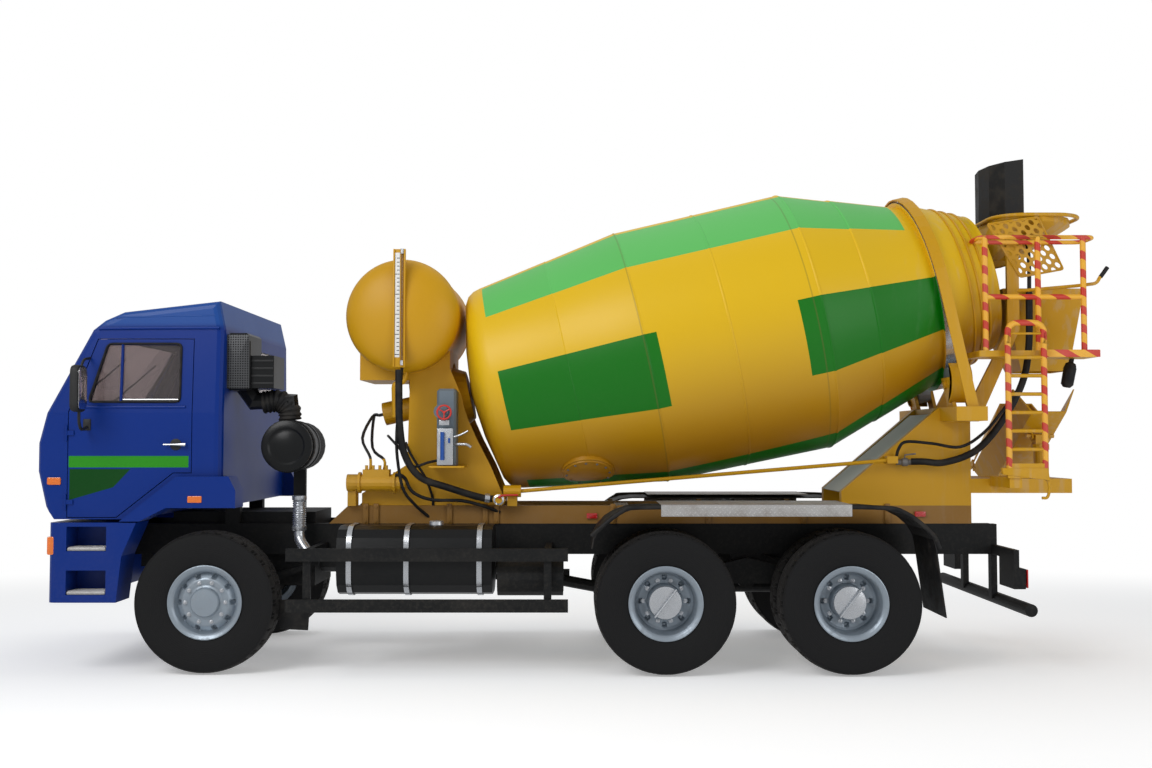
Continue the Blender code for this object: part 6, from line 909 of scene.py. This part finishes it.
def on_side(places, out=0.0):
    """Points on the cab's left side: y = -(side - lean * max(z - belt, 0)) - out for pairs (x, z)."""
    x, z = np.asarray(places, float).T
    return np.stack([x, -(CAB_SIDE_Y - SIDE_LEAN * np.maximum(z - BELT_Z, 0)) - out, z], -1)


def bent(points, radius, steps=5):
    """Straight runs with turned corners: (1-t)^2 A + 2 t (1-t) B + t^2 C, where A and C lie a radius
    before and after the corner B."""
    p = np.asarray(points, float)
    route = [p[:1]]
    t = np.linspace(0, 1, steps)[:, None]
    for a, b, c in zip(p[:-2], p[1:-1], p[2:]):
        before = b + (a - b) * min(radius / np.linalg.norm(a - b), 0.48)
        after = b + (c - b) * min(radius / np.linalg.norm(c - b), 0.48)
        route.append((1 - t) ** 2 * before + 2 * t * (1 - t) * b + t ** 2 * after)
    return np.vstack(route + [p[-1:]])


def pair(name, part, bodies, finish, slot=None, **more):
    """A part on the truck's left and its mirror on the right, each on its own body."""
    for side, body, made in (("left", bodies[0], part), ("right", bodies[-1], flipped(part))):
        options = {k: tuple(n + "_" + side for n in v) if k == "replaces" else v for k, v in more.items()}
        piece(f"{name}_{side}", made, body, finish, slot, **options)


DOORS, CHASSIS = ("door_left", "door_right"), ("chassis",)
HANDLE_Z, GRIP_OUT = 1.789, 0.030
window = bent(on_side([(-3.5, 2.125), (-3.175, 2.125), (-3.175, 2.585), (-3.755, 2.585), (-3.893, 2.125),
                       (-3.5, 2.125)], 0.002), 0.04)
pair("window_seal", swept(window, 0.013, 12, flat=0.7), DOORS, "rubber_black")
divider = swept(on_side([(-3.639, 2.13), (-3.639, 2.36), (-3.639, 2.585)], -0.004), 0.018, 12, flat=0.6)
ledge = swept(on_side([(-4.035, 2.085), (-3.6, 2.085), (-3.13, 2.085)], -0.004), 0.014, 12)
pair("window_divider", joined(divider, ledge), DOORS, "cab_blue")
sill = swept(on_side([(-3.62, 2.142), (-3.4, 2.142), (-3.185, 2.142)], 0.008), 0.007, 10)
grip_x = np.linspace(-3.29, -3.115, 9)
grip_radius = 0.007 + 0.009 * np.clip((grip_x + 3.21) / 0.08, 0, 1)
grip = swept(on_side([(x, HANDLE_Z) for x in grip_x], GRIP_OUT), grip_radius, 14)
post = swept(on_side([(-3.135, HANDLE_Z)] * 2, 0) - [[0, 0, 0], [0, GRIP_OUT, 0]], 0.011, 12)
pair("door_handle", joined(sill, grip, post), DOORS, "chrome")
dish = turned([(0, 0), (0.044, 0), (0.046, -0.003), (0.040, -0.006), (0, -0.004)], (-3.20, -1.150, HANDLE_Z),
              (0, 1, 0), 32)
pair("handle_dish", dish, DOORS, "trim_grey")
MIRROR_AT = (-1.395, 2.22)
shell = slab(rounded(0.20, 0.36, 0.055, MIRROR_AT), -3.915, -3.845, "x", 0.022)
arms = joined(swept(bent([(-3.90, -1.145, 1.93), (-3.89, -1.30, 1.90), (-3.88, -1.37, 1.96),
                          (-3.88, -1.37, 2.08)], 0.05), 0.012, 12),
              swept(bent([(-3.89, -1.135, 2.47), (-3.88, -1.30, 2.45), (-3.88, -1.37, 2.34)],
                         0.05), 0.010, 12),
              block((-3.93, -1.158, 1.90), (-3.87, -1.147, 1.99), 0.004))
pair("mirror_shell", joined(shell, arms), DOORS, "trim_grey", replaces=("mirror",), sharp=40)
pair("mirror_glass", slab(rounded(0.165, 0.32, 0.04, MIRROR_AT), -3.846, -3.8425, "x", 0.001),
     DOORS, "chrome")

# %% Windscreen, roof edge and lamps
def on_screen(places, out=0.010):
    """Points on the windscreen: x = place + lean * (z - its height) - out for pairs (y, z)."""
    y, z = np.asarray(places, float).T
    return np.stack([SCREEN_X + SCREEN_LEAN * (z - SCREEN_Z) - out, y, z], -1)


screen = bent(on_screen([(0, 2.085), (0.975, 2.085), (0.975, 2.66), (-0.975, 2.66), (-0.975, 2.085),
                         (0, 2.085)]), 0.06)
piece("windscreen_seal", swept(screen, 0.016, 12, flat=0.7), "cab", "rubber_black")
wipers = []
for y in (-0.62, 0.18):
    arm = swept(on_screen([(y, 2.09), (y + 0.08, 2.17), (y + 0.28, 2.33)], 0.03), 0.008, 8)
    blade_bar = swept(on_screen([(y + 0.02, 2.16), (y + 0.28, 2.33), (y + 0.52, 2.52)], 0.022), 0.006, 8)
    knob = turned([(0, -0.05), (0.018, -0.05), (0.018, 0.01), (0, 0.015)], on_screen([(y, 2.09)], 0.02)[0],
                  (-1, 0, 0.5), 16)
    wipers += [arm, blade_bar, knob]
piece("wipers", joined(*wipers), "cab", "trim_grey")
gutter = swept(on_side([(-3.83, 2.706), (-3.3, 2.711), (-2.88, 2.713)], 0.004), 0.011, 10)
ridge = swept(on_side([(-3.70, 2.795), (-3.3, 2.805), (-2.92, 2.812)], -0.006), 0.008, 10)
pair("roof_gutter", joined(gutter, ridge), ("cab",), "cab_blue")
marker = block((-3.089, -1.207, 1.336), (-2.978, -1.195, 1.388), 0.004)
nose_lamp = block((-4.204, -1.162, 1.474), (-4.098, -1.140, 1.532), 0.006)
pair("side_lamps", joined(marker, nose_lamp), ("cab",), "orange_lamp")
pair("corner_lamp", block((-4.186, -1.187, 0.93), (-4.128, -1.150, 1.072), 0.008), CHASSIS, "orange_lamp")

# %% Headlamps and grille
HEADLAMPS, HEADLAMP_X, HEADLAMP_Z = ((-0.745, 0.080), (-0.905, 0.062)), -4.140, 0.88
BEZEL = [(0.86, 0.0), (1, 0.004), (1.06, 0.016), (1, 0.030), (0.86, 0.026), (0.86, 0.0)]
BOWL = [(0, -0.02), (0.5, -0.012), (0.86, 0.012), (0.88, 0.0), (0.5, -0.024), (0, -0.03)]
LENS = [(0, 0.034), (0.5, 0.030), (0.86, 0.016), (0.86, 0.012), (0.5, 0.026), (0, 0.030)]


def headlamps(*profiles):
    """Profiles of (share of the lamp's radius, distance forwards), turned at both lamps of a side."""
    return joined(*(turned([(r * radius, s) for r, s in profile], (HEADLAMP_X, y, HEADLAMP_Z), (-1, 0, 0), 40)
                    for y, radius in HEADLAMPS for profile in profiles))


pair("headlamp_bowls", headlamps(BEZEL, BOWL), CHASSIS, "chrome", sharp=50)
pair("headlamp_lenses", headlamps(LENS), CHASSIS, "lens")


def bars(x, low, high, z, half, round_by, axis="y"):
    """A bar across the grille, from x + low to x + high and half its height up and down from z."""
    return block((x + low, -0.70, z - half), (x + high, 0.70, z + half), round_by, axis)


slats = []
for z in (1.36, 1.46, 1.56, 1.66):
    nose_x = float(np.interp(z, [1.3, 1.45, 1.55, 1.8], [-4.217, -4.262, -4.292, -4.292]))
    slats.append(bars(nose_x, 0.022, 0.028, z, 0.034, 0.001, "x"))
    slats += [bars(nose_x, 0.004, 0.024, z + shift, 0.003, 0.0015) for shift in (-0.012, 0.012)]
piece("grille_slats", joined(*slats), "cab", "trim_grey")

# %% Step treads
treads = []
for z in (0.961, 0.621):
    treads.append(block((-4.028, -1.186, z), (-3.726, -0.952, z + 0.024), 0.005, "z"))
    treads += [block((-4.02, y, z + 0.022), (-3.734, y + 0.010, z + 0.030), 0.002, "z")
               for y in np.linspace(-1.178, -1.02, 9)]
pair("step_treads", joined(*treads), CHASSIS, "tread_plate")

# %% [markdown]
# # Intake, filter and hoses
# Hoses hang between their fittings, so each is a smooth curve through a few places read from the
# photograph. A strap is an outline drawn in by its own thickness. The elbow to the air filter and
# the exhaust's flexible joint are swept tubes whose radius waves along their length.

# %% Air intake, filter, exhaust joint
def hoop(outline, low, high, thick):
    """A strap round an outline, from low to high along x: the outline, and the same drawn in."""
    outline = np.asarray(outline, float)
    outline = np.vstack([outline, outline[:1]])
    middle, size = (outline.min(0) + outline.max(0)) / 2, (outline.max(0) - outline.min(0)) / 2
    inner = middle + (outline - middle) * (1 - thick / size)
    return stacked([(outline, low), (outline, high), (inner, high), (inner, low), (outline, low)], "x")


def hoses(name, routes, **more):
    """Smooth hoses as one piece: (radius, places) each."""
    piece(name, joined(*(swept(smooth(p, 7), r, 12) for r, p in routes)), "chassis", "rubber_black", **more)


screen_sheet = joined(block((-2.868, -1.026, 2.235), (-2.664, -1.020, 2.665), 0.003),
                      block((-2.873, -1.015, 2.235), (-2.868, -0.59, 2.665), 0.003, "x"))
piece("intake_screen", screen_sheet, "cab", "perforated")
ribs = [block((-2.66, -0.985, z), (-2.482, -0.975, z + 0.016), 0.003) for z in (2.27, 2.33, 2.39, 2.45)]
piece("intake_ribs", joined(*ribs, block((-2.70, -0.99, 2.24), (-2.665, -0.965, 2.62), 0.006, "z")), "cab",
      "trim_grey")
elbow_route = smooth([(-2.60, -0.80, 2.13), (-2.47, -0.80, 2.14), (-2.395, -0.80, 2.08),
                      (-2.382, -0.80, 1.985)], 16)
piece("intake_elbow", swept(elbow_route, 0.088, 28, ribs=0.006, rib_length=0.034), "cab", "rubber_black")
FILTER_AT, FLEX_AT = (-2.382, -0.93, 1.776), (-2.345, -0.60)
can = [(0, 0.012), (0.10, 0.012), (0.115, 0.004), (0.135, 0.004), (0.15, 0.014), (0.180, 0.012), (0.205, 0.0),
       (0.207, -0.05), (0.203, -0.054)]
can += [(0.203, -0.075), (0.209, -0.079), (0.209, -0.095), (0.202, -0.099), (0.202, -0.30), (0.209, -0.304),
        (0.209, -0.325), (0.202, -0.33), (0.1, -0.33), (0, -0.33)]
piece("filter_can", turned(can, FILTER_AT, (0, -1, 0), 64), "chassis", "tank_black", sharp=32)
flex = swept([(*FLEX_AT, z) for z in np.linspace(1.36, 1.10, 60)], 0.052, 24, ribs=0.004, rib_length=0.018)
collars = [turned([(0, 0), (0.058, 0), (0.060, 0.005), (0.060, 0.035), (0, 0.04)], (*FLEX_AT, z), (0, 0, 1),
                  28) for z in (1.33, 1.08)]
tail = swept(smooth([(*FLEX_AT, 1.10), (-2.33, -0.62, 1.0), (-2.25, -0.68, 0.90)], 8), 0.045, 20)
piece("exhaust_flex", joined(flex, *collars, tail), "chassis", "cover_silver")
splash = slab([(-2.445, 0.56), (-2.166, 0.56), (-2.18, 0.32), (-2.40, 0.33)], -1.006, -0.994, "y", 0.003)
piece("splash_panel", splash, "chassis", "rubber_black")

# %% Hoses of the mixer's front
water_route = [(-1.507, -0.76, 2.40), (-1.507, -0.76, 2.26), (-1.502, -0.74, 1.95), (-1.462, -0.70, 1.70),
               (-1.342, -0.65, 1.52), (-1.112, -0.59, 1.43), (-0.842, -0.53, 1.345),
               (-0.71, -0.50, 1.335)]
hoses("water_hose_run", [(0.030, water_route)], replaces=("water_hose",))
hoses("thin_hoses", [
    (0.013, [(-1.496, -0.66, 2.42), (-1.52, -0.69, 2.046), (-1.534, -0.68, 1.867), (-1.529, -0.66, 1.669),
             (-1.486, -0.62, 1.421), (-1.396, -0.52, 1.282), (-1.296, -0.42, 1.18)]),
    (0.011, [(-1.66, -0.30, 1.86), (-1.60, -0.52, 1.83), (-1.489, -0.60, 1.717), (-1.408, -0.62, 1.608),
             (-1.288, -0.62, 1.637), (-1.19, -0.58, 1.66)]),
    (0.014, [(-1.62, -0.50, 1.50), (-1.536, -0.56, 1.536), (-1.476, -0.58, 1.506), (-1.415, -0.57, 1.396),
             (-1.263, -0.54, 1.33), (-1.012, -0.52, 1.32), (-0.831, -0.50, 1.275), (-0.70, -0.43, 1.22)]),
    (0.011, [(-1.50, -0.35, 1.80), (-1.449, -0.48, 1.716), (-1.383, -0.50, 1.615), (-1.322, -0.48, 1.514),
             (-1.27, -0.42, 1.36), (-1.26, -0.40, 1.25)])])
elbow_pipe = swept(bent([(-1.48, -0.50, 2.42), (-1.50, -0.50, 2.304), (-1.584, -0.50, 2.30),
                         (-1.583, -0.45, 2.02)], 0.04), 0.022, 16)

# %% Valves, taps and the handwheel
VALVE_AT, HANDWHEEL_AT = (-0.70, -0.50, 1.330), np.array((-1.141, -0.725, 2.052))
valve_face = turned([(0, 0.075), (0.030, 0.075), (0.034, 0.068), (0.045, 0.068), (0.052, 0.060), (0.052, 0.0),
                     (0, 0)], VALVE_AT, (0, -1, 0), 36)
flow_shelf = block((-1.27, -0.70, 1.595), (-0.975, -0.42, 1.612), 0.005, "z")
piece("water_fittings", joined(elbow_pipe, valve_face, flow_shelf), "chassis", "mixer_yellow")
ring_face = turned([(0.030, 0.076), (0.045, 0.070), (0.045, 0.074), (0.030, 0.080), (0.030, 0.076)], VALVE_AT,
                   (0, -1, 0), 36)
collar = turned([(0, -0.02), (0.038, -0.02), (0.038, 0.02), (0, 0.02)], (-0.80, -0.52, 1.342),
                (0.98, 0.15, -0.1), 24)
flow_lever = swept([(-1.06, -0.69, 1.85), (-1.0, -0.70, 1.87), (-0.945, -0.70, 1.90)], 0.008, 10)
spout = swept(bent([(-1.10, -0.60, 1.79), (-0.96, -0.62, 1.79), (-0.925, -0.62, 1.765)], 0.02), 0.013, 12)
cap = turned([(0, 0.036), (0.046, 0.036), (0.058, 0.028), (0.060, 0), (0, 0)], (-1.186, -0.84, 1.142),
             (0, 0, 1), 36)
piece("silver_fittings", joined(ring_face, collar, flow_lever, spout, cap), "chassis", "cover_silver")
def round_wheel(radius, angles):
    """Places on a circle round the handwheel's middle."""
    return np.stack([radius * np.cos(angles), np.zeros_like(angles), radius * np.sin(angles)],
                    -1) + HANDWHEEL_AT


wheel_ring = swept(round_wheel(0.056, np.linspace(0, 2 * math.pi, 41)), 0.008, 10)
spokes = [swept([HANDWHEEL_AT, place], 0.006, 8) for place in round_wheel(0.054, np.array([0.5, 2.6, 4.7]))]
stem = swept([HANDWHEEL_AT + (0, 0.065, 0), HANDWHEEL_AT - (0, 0.010, 0)], 0.011, 10)
red_lever = swept(smooth([(-0.70, -0.585, 1.345), (-0.67, -0.59, 1.366), (-0.54, -0.59, 1.37)], 5), 0.009, 10)
piece("red_handles", joined(wheel_ring, stem, red_lever, *spokes), "chassis", "red_paint")
panel = joined(block((-1.20, -0.692, 1.62), (-1.07, -0.684, 1.92), 0.004),
               block((-1.185, -0.70, 1.945), (-1.10, -0.685, 1.99), 0.004))
piece("flow_panel", panel, "chassis", "cover_silver", "box_grey")
paint("blue_plastic", (0.006, 0.07, 0.34), 0.1, 0.02, 0.25)
tubes = [swept([(-1.155, -0.712, 1.66), (-1.155, -0.712, 1.89)], 0.017, 14),
         swept([(-1.10, -0.70, 1.80), (-1.10, -0.70, 1.84)], 0.009, 10)]
piece("flow_tube", joined(*tubes), "chassis", "blue_plastic")

# %% Tank straps, clamps, lamps and fender trim
FUEL_TANK = rounded(0.578, 0.556, 0.17, (-0.84, 0.872), 8)
straps = [hoop(FUEL_TANK, x - 0.020, x + 0.020, 0.006) for x in (-1.844, -1.393, -0.820)]
piece("tank_straps", joined(*straps), "chassis", "cover_silver")
clamps = []
for x in (-1.822, -1.735, -1.12, -0.82, -0.728, 0.25, 1.05, 1.85, 2.55):
    clamps.append(block((x - 0.022, -0.452, 1.125), (x + 0.022, -0.428, 1.292), 0.004))
    clamps += [turned([(0, 0), (0.012, 0), (0.012, 0.012), (0, 0.013)], (x, -0.450, z), (0, -1, 0), 6)
               for z in (1.15, 1.265)]
pair("subframe_clamps", joined(*clamps), CHASSIS, "ochre", sharp=25)
reflectors = [block((x - 0.045, -0.4545, z - 0.022), (x + 0.045, -0.428, z + 0.022), 0.003)
              for x, z in ((0.074, 1.19), (2.824, 1.205))]
lamps = [block((3.526, -0.98, 0.648), (3.536, -0.80, 0.795), 0.004, "x")]
pair("red_lamps", joined(*reflectors, *lamps), CHASSIS, "red_lamp")
pair("tail_orange", block((3.526, -0.79, 0.648), (3.536, -0.63, 0.795), 0.004, "x"), CHASSIS, "orange_lamp")
bead = [(0.06, 1.08), (0.12, 1.135), (0.3, 1.272), (0.46, 1.302), (1.36, 1.302), (2.26, 1.302), (2.5, 1.257),
        (2.7, 1.099), (2.76, 0.98)]
pair("fender_bead", swept(smooth([(x, -1.238, z) for x, z in bead], 6), 0.018, 12), CHASSIS, "rubber_black")
lip = block((0.60, -1.262, 1.232), (2.08, -1.256, 1.326), 0.002)
pair("fender_plate", joined(lip, block((0.60, -1.262, 1.3205), (2.08, -0.62, 1.326), 0.002, "z")), CHASSIS,
     "tread_plate")

# %% [markdown]
# # Rear platform, ladder and mouth of the drum
# The rails, posts and ladder stiles carry red bands and are tubes with turned corners; the rungs and
# plates stay plain yellow. The hopper's rim is rolled, so a tube follows its outline.

# %% Rails, ladder, crank, hopper rim and covers
RAIL_Y, INNER_Y, RAIL_TOP, RAIL_END = -0.826, -0.552, 3.478, (4.165, 3.235)
LADDER_X, LADDER_Y = (3.418, 3.708), -0.92
corners = [(3.70, RAIL_Y), (RAIL_END[0], RAIL_Y), (RAIL_END[0], INNER_Y), (RAIL_END[1], INNER_Y),
           (RAIL_END[1], RAIL_Y), (3.70, RAIL_Y)]
rails = [swept(bent([(x, y, RAIL_TOP) for x, y in corners], 0.07), 0.018, 14)]
rails.append(swept([(3.26, RAIL_Y, 2.99), (4.09, RAIL_Y, 2.99)], 0.022, 14))
rails += [swept([(x, RAIL_Y, 2.53), (x, RAIL_Y, 3.0), (x, RAIL_Y, 3.48)], 0.0235, 14)
          for x in (3.273, 3.703, 4.073)]
stiles = [swept([(x, LADDER_Y, z) for z in (1.60, 2.1, 2.72)], 0.0245, 14) for x in LADDER_X]
arch = [(x, LADDER_Y, z) for x, z in zip(np.repeat(LADDER_X, 2), (2.6, 2.77, 2.77, 2.6))]
stiles.append(swept(bent(arch, 0.09), 0.0245, 14))
edge = block((3.74, -0.868, 2.497), (4.186, -0.860, 2.557), 0.003)
piece("banded_rails", joined(*rails, *stiles, edge), "chassis", "warning_bands")
foot = slab([(3.35, 1.60), (3.72, 1.60), (3.735, 1.50), (3.36, 1.55)], -0.945, -0.895, "y", 0.004)
hook = swept(smooth([(3.70, -0.92, 1.55), (3.735, -0.92, 1.46), (3.72, -0.92, 1.37), (3.675, -0.92, 1.36)],
                    6), 0.012, 10)
rod = swept(bent([(3.60, -0.62, 3.06), (4.05, -0.74, 3.09), (4.20, -0.78, 3.105), (4.226, -0.80, 3.165)],
                 0.03), 0.014, 12)
rim = rounded(0.75, 1.01, 0.26, (3.868, 0), 10)
rim = np.column_stack([np.vstack([rim, rim[:1]]), np.full(len(rim) + 1, 3.722)])
a = np.radians(np.linspace(115, 250, 16))
arc = np.vstack([radius * np.stack([np.cos(turn), np.sin(turn)], -1)
                 for radius, turn in ((0.178, a), (0.168, a[::-1]))])
covers = both(slab(arc + (-0.562, 2.30), 3.02, 3.19, "x", 0.001))
rungs = [swept([(x, LADDER_Y, z) for x in LADDER_X], 0.015, 12) for z in 1.75 + 0.148 * np.arange(6)]
piece("yellow_fittings", joined(*rungs, foot, hook, rod, swept(rim, 0.017, 12), covers), "chassis",
      "mixer_yellow")
# A thin pale grey sheet laid on the rear pedestal's sloping front face: a painted highlight where that face
# catches the light from above.
paint("painted_highlight_grey", (0.52, 0.51, 0.45), 0.3, 0.04, 0.45)
painted_highlight_on_pedestal = slab([(2.172, 1.385), (2.166, 1.392), (2.948, 2.044), (2.954, 2.037)], -0.40, 0.40, "y", 0.001)
piece("painted_highlight_on_pedestal", painted_highlight_on_pedestal, "chassis", "painted_highlight_grey")
piece("crank_grip", swept([(4.224, -0.80, 3.155), (4.25, -0.80, 3.19), (4.282, -0.80, 3.235)], 0.017, 14),
      "chassis", "rubber_black")

# %% Rear hoses, mesh guard and valve
rear_route = smooth([(2.738, -0.50, 1.645), (2.838, -0.52, 1.645), (3.018, -0.52, 1.64), (3.278, -0.52, 1.74),
                     (3.498, -0.51, 1.98), (3.678, -0.4925, 2.30), (3.738, -0.4925, 2.60),
                     (3.748, -0.4925, 3.00), (3.753, -0.488, 3.30), (3.748, -0.462, 3.48),
                     (3.713, -0.452, 3.548), (3.648, -0.452, 3.548)], 7)
rear_hose = swept(rear_route, np.where(rear_route[:, 2] > 3.05, 0.017, 0.029), 14)
side_hose = swept(smooth([(2.62, -0.47, 1.66), (2.635, -0.50, 1.75), (2.698, -0.51, 1.81),
                          (2.908, -0.53, 1.796), (3.137, -0.54, 1.768), (3.33, -0.54, 1.88),
                          (3.50, -0.53, 2.07), (3.678, -0.4925, 2.30)], 7), 0.013, 12)
knob = turned([(0, -0.11), (0.03, -0.11), (0.05, -0.085), (0.052, 0.05), (0.04, 0.09), (0.02, 0.10),
               (0.02, 0.145), (0, 0.145)], (4.03, -0.60, 2.37), (0.2, 0, 1), 28)
piece("rear_hoses", joined(rear_hose, side_hose, knob), "chassis", "rubber_black", replaces=("rear_hose",))
MESH = [(3.396, 3.638), (3.824, 3.70), (4.031, 3.257), (3.667, 3.19)]
piece("wavy_mesh", slab(MESH, -0.519, -0.515, "y", 0.001), "chassis", "guard_mesh", replaces=("mesh_guard",))
guard_rim = bent([(x, -0.517, z) for x, z in [(3.6, 3.668), *MESH[1:], MESH[0], (3.6, 3.668)]], 0.02)
piece("mesh_rim", swept(guard_rim, 0.008, 8), "chassis", "mixer_yellow")
valve = joined(turned([(0, -0.07), (0.024, -0.07), (0.024, -0.03), (0.034, -0.02), (0.034, 0.02),
                       (0.024, 0.03), (0.024, 0.07), (0, 0.07)], (2.69, -0.48, 1.640), (0.99, -0.1, 0), 24),
               swept([(2.69, -0.48, 1.66), (2.69, -0.49, 1.70), (2.78, -0.49, 1.71)], 0.007, 8))
piece("rear_valve", valve, "chassis", "cast_metal", "rim_silver")

# %% [markdown]
# # Seats
# Each seat is a cushion and a back of foam under cloth, on a plain frame. A pad starts as a rounded
# block a little smaller than it will be, is remeshed into even squares, and is blown up as cloth by
# pressure from inside, with no point allowed further than 25 mm. Its sewn channels are pressed in
# afterwards. The passenger's pads are the driver's, mirrored.

# %% Cloth and channels
def blown(name, part, pressure=4.0, cap=0.025, voxel=0.008):
    """Point = start + move * min(1, cap / |move|), where move is what the cloth does in 20 frames."""
    made = piece(name, part, "cab", "seat_fabric")
    remesh = made.modifiers.new("even", "REMESH")
    remesh.mode, remesh.voxel_size = "VOXEL", voxel
    settle(made)
    start = spots(made)
    cloth = made.modifiers.new("cloth", "CLOTH")
    cloth.settings.use_pressure = True
    cloth.settings.uniform_pressure_force = pressure
    cloth.settings.effector_weights.gravity = 0
    for step in range(1, 21):
        scene.frame_set(step)
    settle(made)
    move = spots(made) - start
    far = np.linalg.norm(move, axis=1, keepdims=True)
    start = start + move * np.minimum(1, cap / np.maximum(far, 1e-9))
    scene.frame_set(1)
    return made, start


def spots(made):
    """The places of an object's points, as an array."""
    places = np.zeros(len(made.data.vertices) * 3, np.float32)
    made.data.vertices.foreach_get("co", places)
    return places.reshape(-1, 3).astype(float)


def settle(made):
    """Applies the object's modifiers to its mesh."""
    shown = made.evaluated_get(bpy.context.evaluated_depsgraph_get())
    mesh = bpy.data.meshes.new_from_object(shown)
    made.modifiers.clear()
    made.data = mesh


CHANNEL_DEPTH, CHANNEL_WIDTH, CHANNEL_REACH = 0.009, 0.008, 0.15


def seat_pad(name, part, across_at, along, channels):
    """The blown pad with channels pressed in: 9 mm * exp(-(d / 8 mm)^2) towards its middle, where d is
    the distance to the nearest channel along one axis, within the middle width of the pad."""
    made, places = blown(name, part)
    middle = places.mean(0)
    d = np.min(np.abs(places[:, along, None] - np.asarray(channels)), axis=1)
    off = np.abs(places[:, 1] - across_at)
    side = np.abs(off - CHANNEL_REACH)
    nearest = np.where(off < CHANNEL_REACH, np.minimum(d, side), side)
    press = CHANNEL_DEPTH * np.exp(-(nearest / CHANNEL_WIDTH) ** 2)
    inward = middle - places
    places = places + inward / np.linalg.norm(inward, axis=1, keepdims=True) * press[:, None]
    made.data.vertices.foreach_set("co", places.astype(np.float32).ravel())
    finer = made.modifiers.new("finer", "SUBSURF")
    finer.levels = finer.render_levels = 1
    settle(made)
    made.data.shade_smooth()
    mirror = added(name.replace("driver", "passenger"), made.data.copy())
    points = spots(mirror) * [1, -1, 1]
    mirror.data.vertices.foreach_set("co", points.astype(np.float32).ravel())
    mirror.data.flip_normals()
    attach(mirror, "cab")
    print(f"{name}: {len(points)} points, twice")


# %% Both seats
seat_y = -0.58
cushion = slab(rounded(0.50, 0.44, 0.07, (-3.24, seat_y)), 1.665, 1.745, "z", 0.03)
back = slab([(-3.065, 1.76), (-3.005, 1.76), (-2.965, 2.16), (-2.958, 2.40), (-3.005, 2.405), (-3.03, 2.16)],
            seat_y - 0.20, seat_y + 0.20, "y", 0.03)
seat_pad("driver_cushion", cushion, seat_y, 0, (-3.36, -3.26, -3.16))
seat_pad("driver_back", back, seat_y, 2, (1.88, 1.99, 2.10, 2.21))
frame_parts = joined(block((-3.50, seat_y - 0.22, 1.60), (-3.0, seat_y + 0.22, 1.665), 0.02, "z"),
                     block((-3.42, seat_y - 0.16, 1.355), (-3.06, seat_y + 0.16, 1.61), 0.02, "z"),
                     slab([(-3.04, 1.64), (-2.985, 1.64), (-2.945, 2.30), (-2.985, 2.30)], seat_y - 0.17,
                          seat_y + 0.17, "y", 0.01))
piece("seat_frames", both(frame_parts), "cab", "trim_grey", replaces=("driver_seat", "passenger_seat"))

# %% [markdown]
# # Studio
# A pale floor that keeps the truck's shadow, a wide soft light from over the camera's left, a weaker
# one from the right, one from above and one from behind. The world is pure white to the camera, also
# through glass, and dimmer to what shines, so that dark paint stays dark.

# %% Floor
def stage_floor():
    """A flat grid just under the wheels, wide enough to fill the view."""
    t = np.linspace(-1, 1, 3)
    x, y = np.meshgrid(t * 60, t * 60, indexing="ij")
    grid = np.stack([x, y, np.full_like(x, -0.0015)], -1)
    mesh = bpy.data.meshes.new("floor")
    mesh.from_pydata(grid.reshape(-1, 3).tolist(), [], quads(3, 3).tolist())
    made = added("floor", mesh)
    mesh.materials.append(MATERIALS["floor"])
    made.visible_glossy = False


def floor_finish(place):
    """Pale by the truck, where it takes the shadow, and fading to the background's own white with
    the distance from the middle: the base colour goes down as the glow goes up."""
    x, y, _ = place.xyz()
    far = ((x * x * 0.35 + y * y) / 40.0).rise(0.25, 1.6)
    return {"Base Color": place.colour((0.92, 0.92, 0.92)).tint(far, (0, 0, 0)),
            "Emission Color": place.colour((0.30, 0.30, 0.30)).tint(far, (1, 1, 1)),
            "Roughness": far * 0.1 + 0.85}


material("floor", floor_finish, Emission_Strength=1.0, Specular_IOR_Level=0.0)
stage_floor()

# %% World and lights
world = bpy.data.worlds.new("studio")
scene.world = world
world.use_nodes = True
tree = world.node_tree
tree.nodes.clear()
seen = Wire(tree).make("LightPath", {}, {}, "Is Camera Ray")
glossy = Wire(tree).make("LightPath", {}, {}, "Is Glossy Ray")
through = Wire(tree).make("LightPath", {}, {}, "Is Transmission Ray")
white = seen.maths("MAXIMUM", seen, glossy.maths("MAXIMUM", glossy * 0.25, through))
soft = seen.make("Background", {}, {"Color": (0.93, 0.96, 1.0, 1), "Strength": 0.33})
bright = seen.make("Background", {}, {"Color": (1, 1, 1, 1), "Strength": 1.0})
mixed = seen.make("MixShader", {}, {0: white, 1: soft, 2: bright})
end = tree.nodes.new("ShaderNodeOutputWorld")
tree.links.new(mixed.socket, end.inputs[0])
LIGHTS = [  # name, place, looks at, size, watts
    ("key", (-6.5, -9.0, 8.5), (0, 0, 1.6), 6.0, 640),
    ("fill", (8.0, -8.0, 4.0), (0.5, 0, 1.6), 6.0, 190),
    ("top", (0.5, 1.5, 9.0), (0, 0, 1.5), 7.0, 230),
    ("back", (2.0, 10.0, 5.0), (0, 0, 1.8), 6.0, 150),
]
for name, place, aim, size, watts in LIGHTS:
    lamp = bpy.data.lights.new(name, "AREA")
    lamp.size, lamp.energy = size, watts
    made = added(name, lamp)
    made.location = place
    made.rotation_euler = (Vector(aim) - Vector(place)).to_track_quat("-Z", "Y").to_euler()
    made.visible_glossy = name in ("key", "fill")
scene.view_settings.view_transform = "Standard"
scene.view_settings.look = "None"
print("lights:", len(LIGHTS))
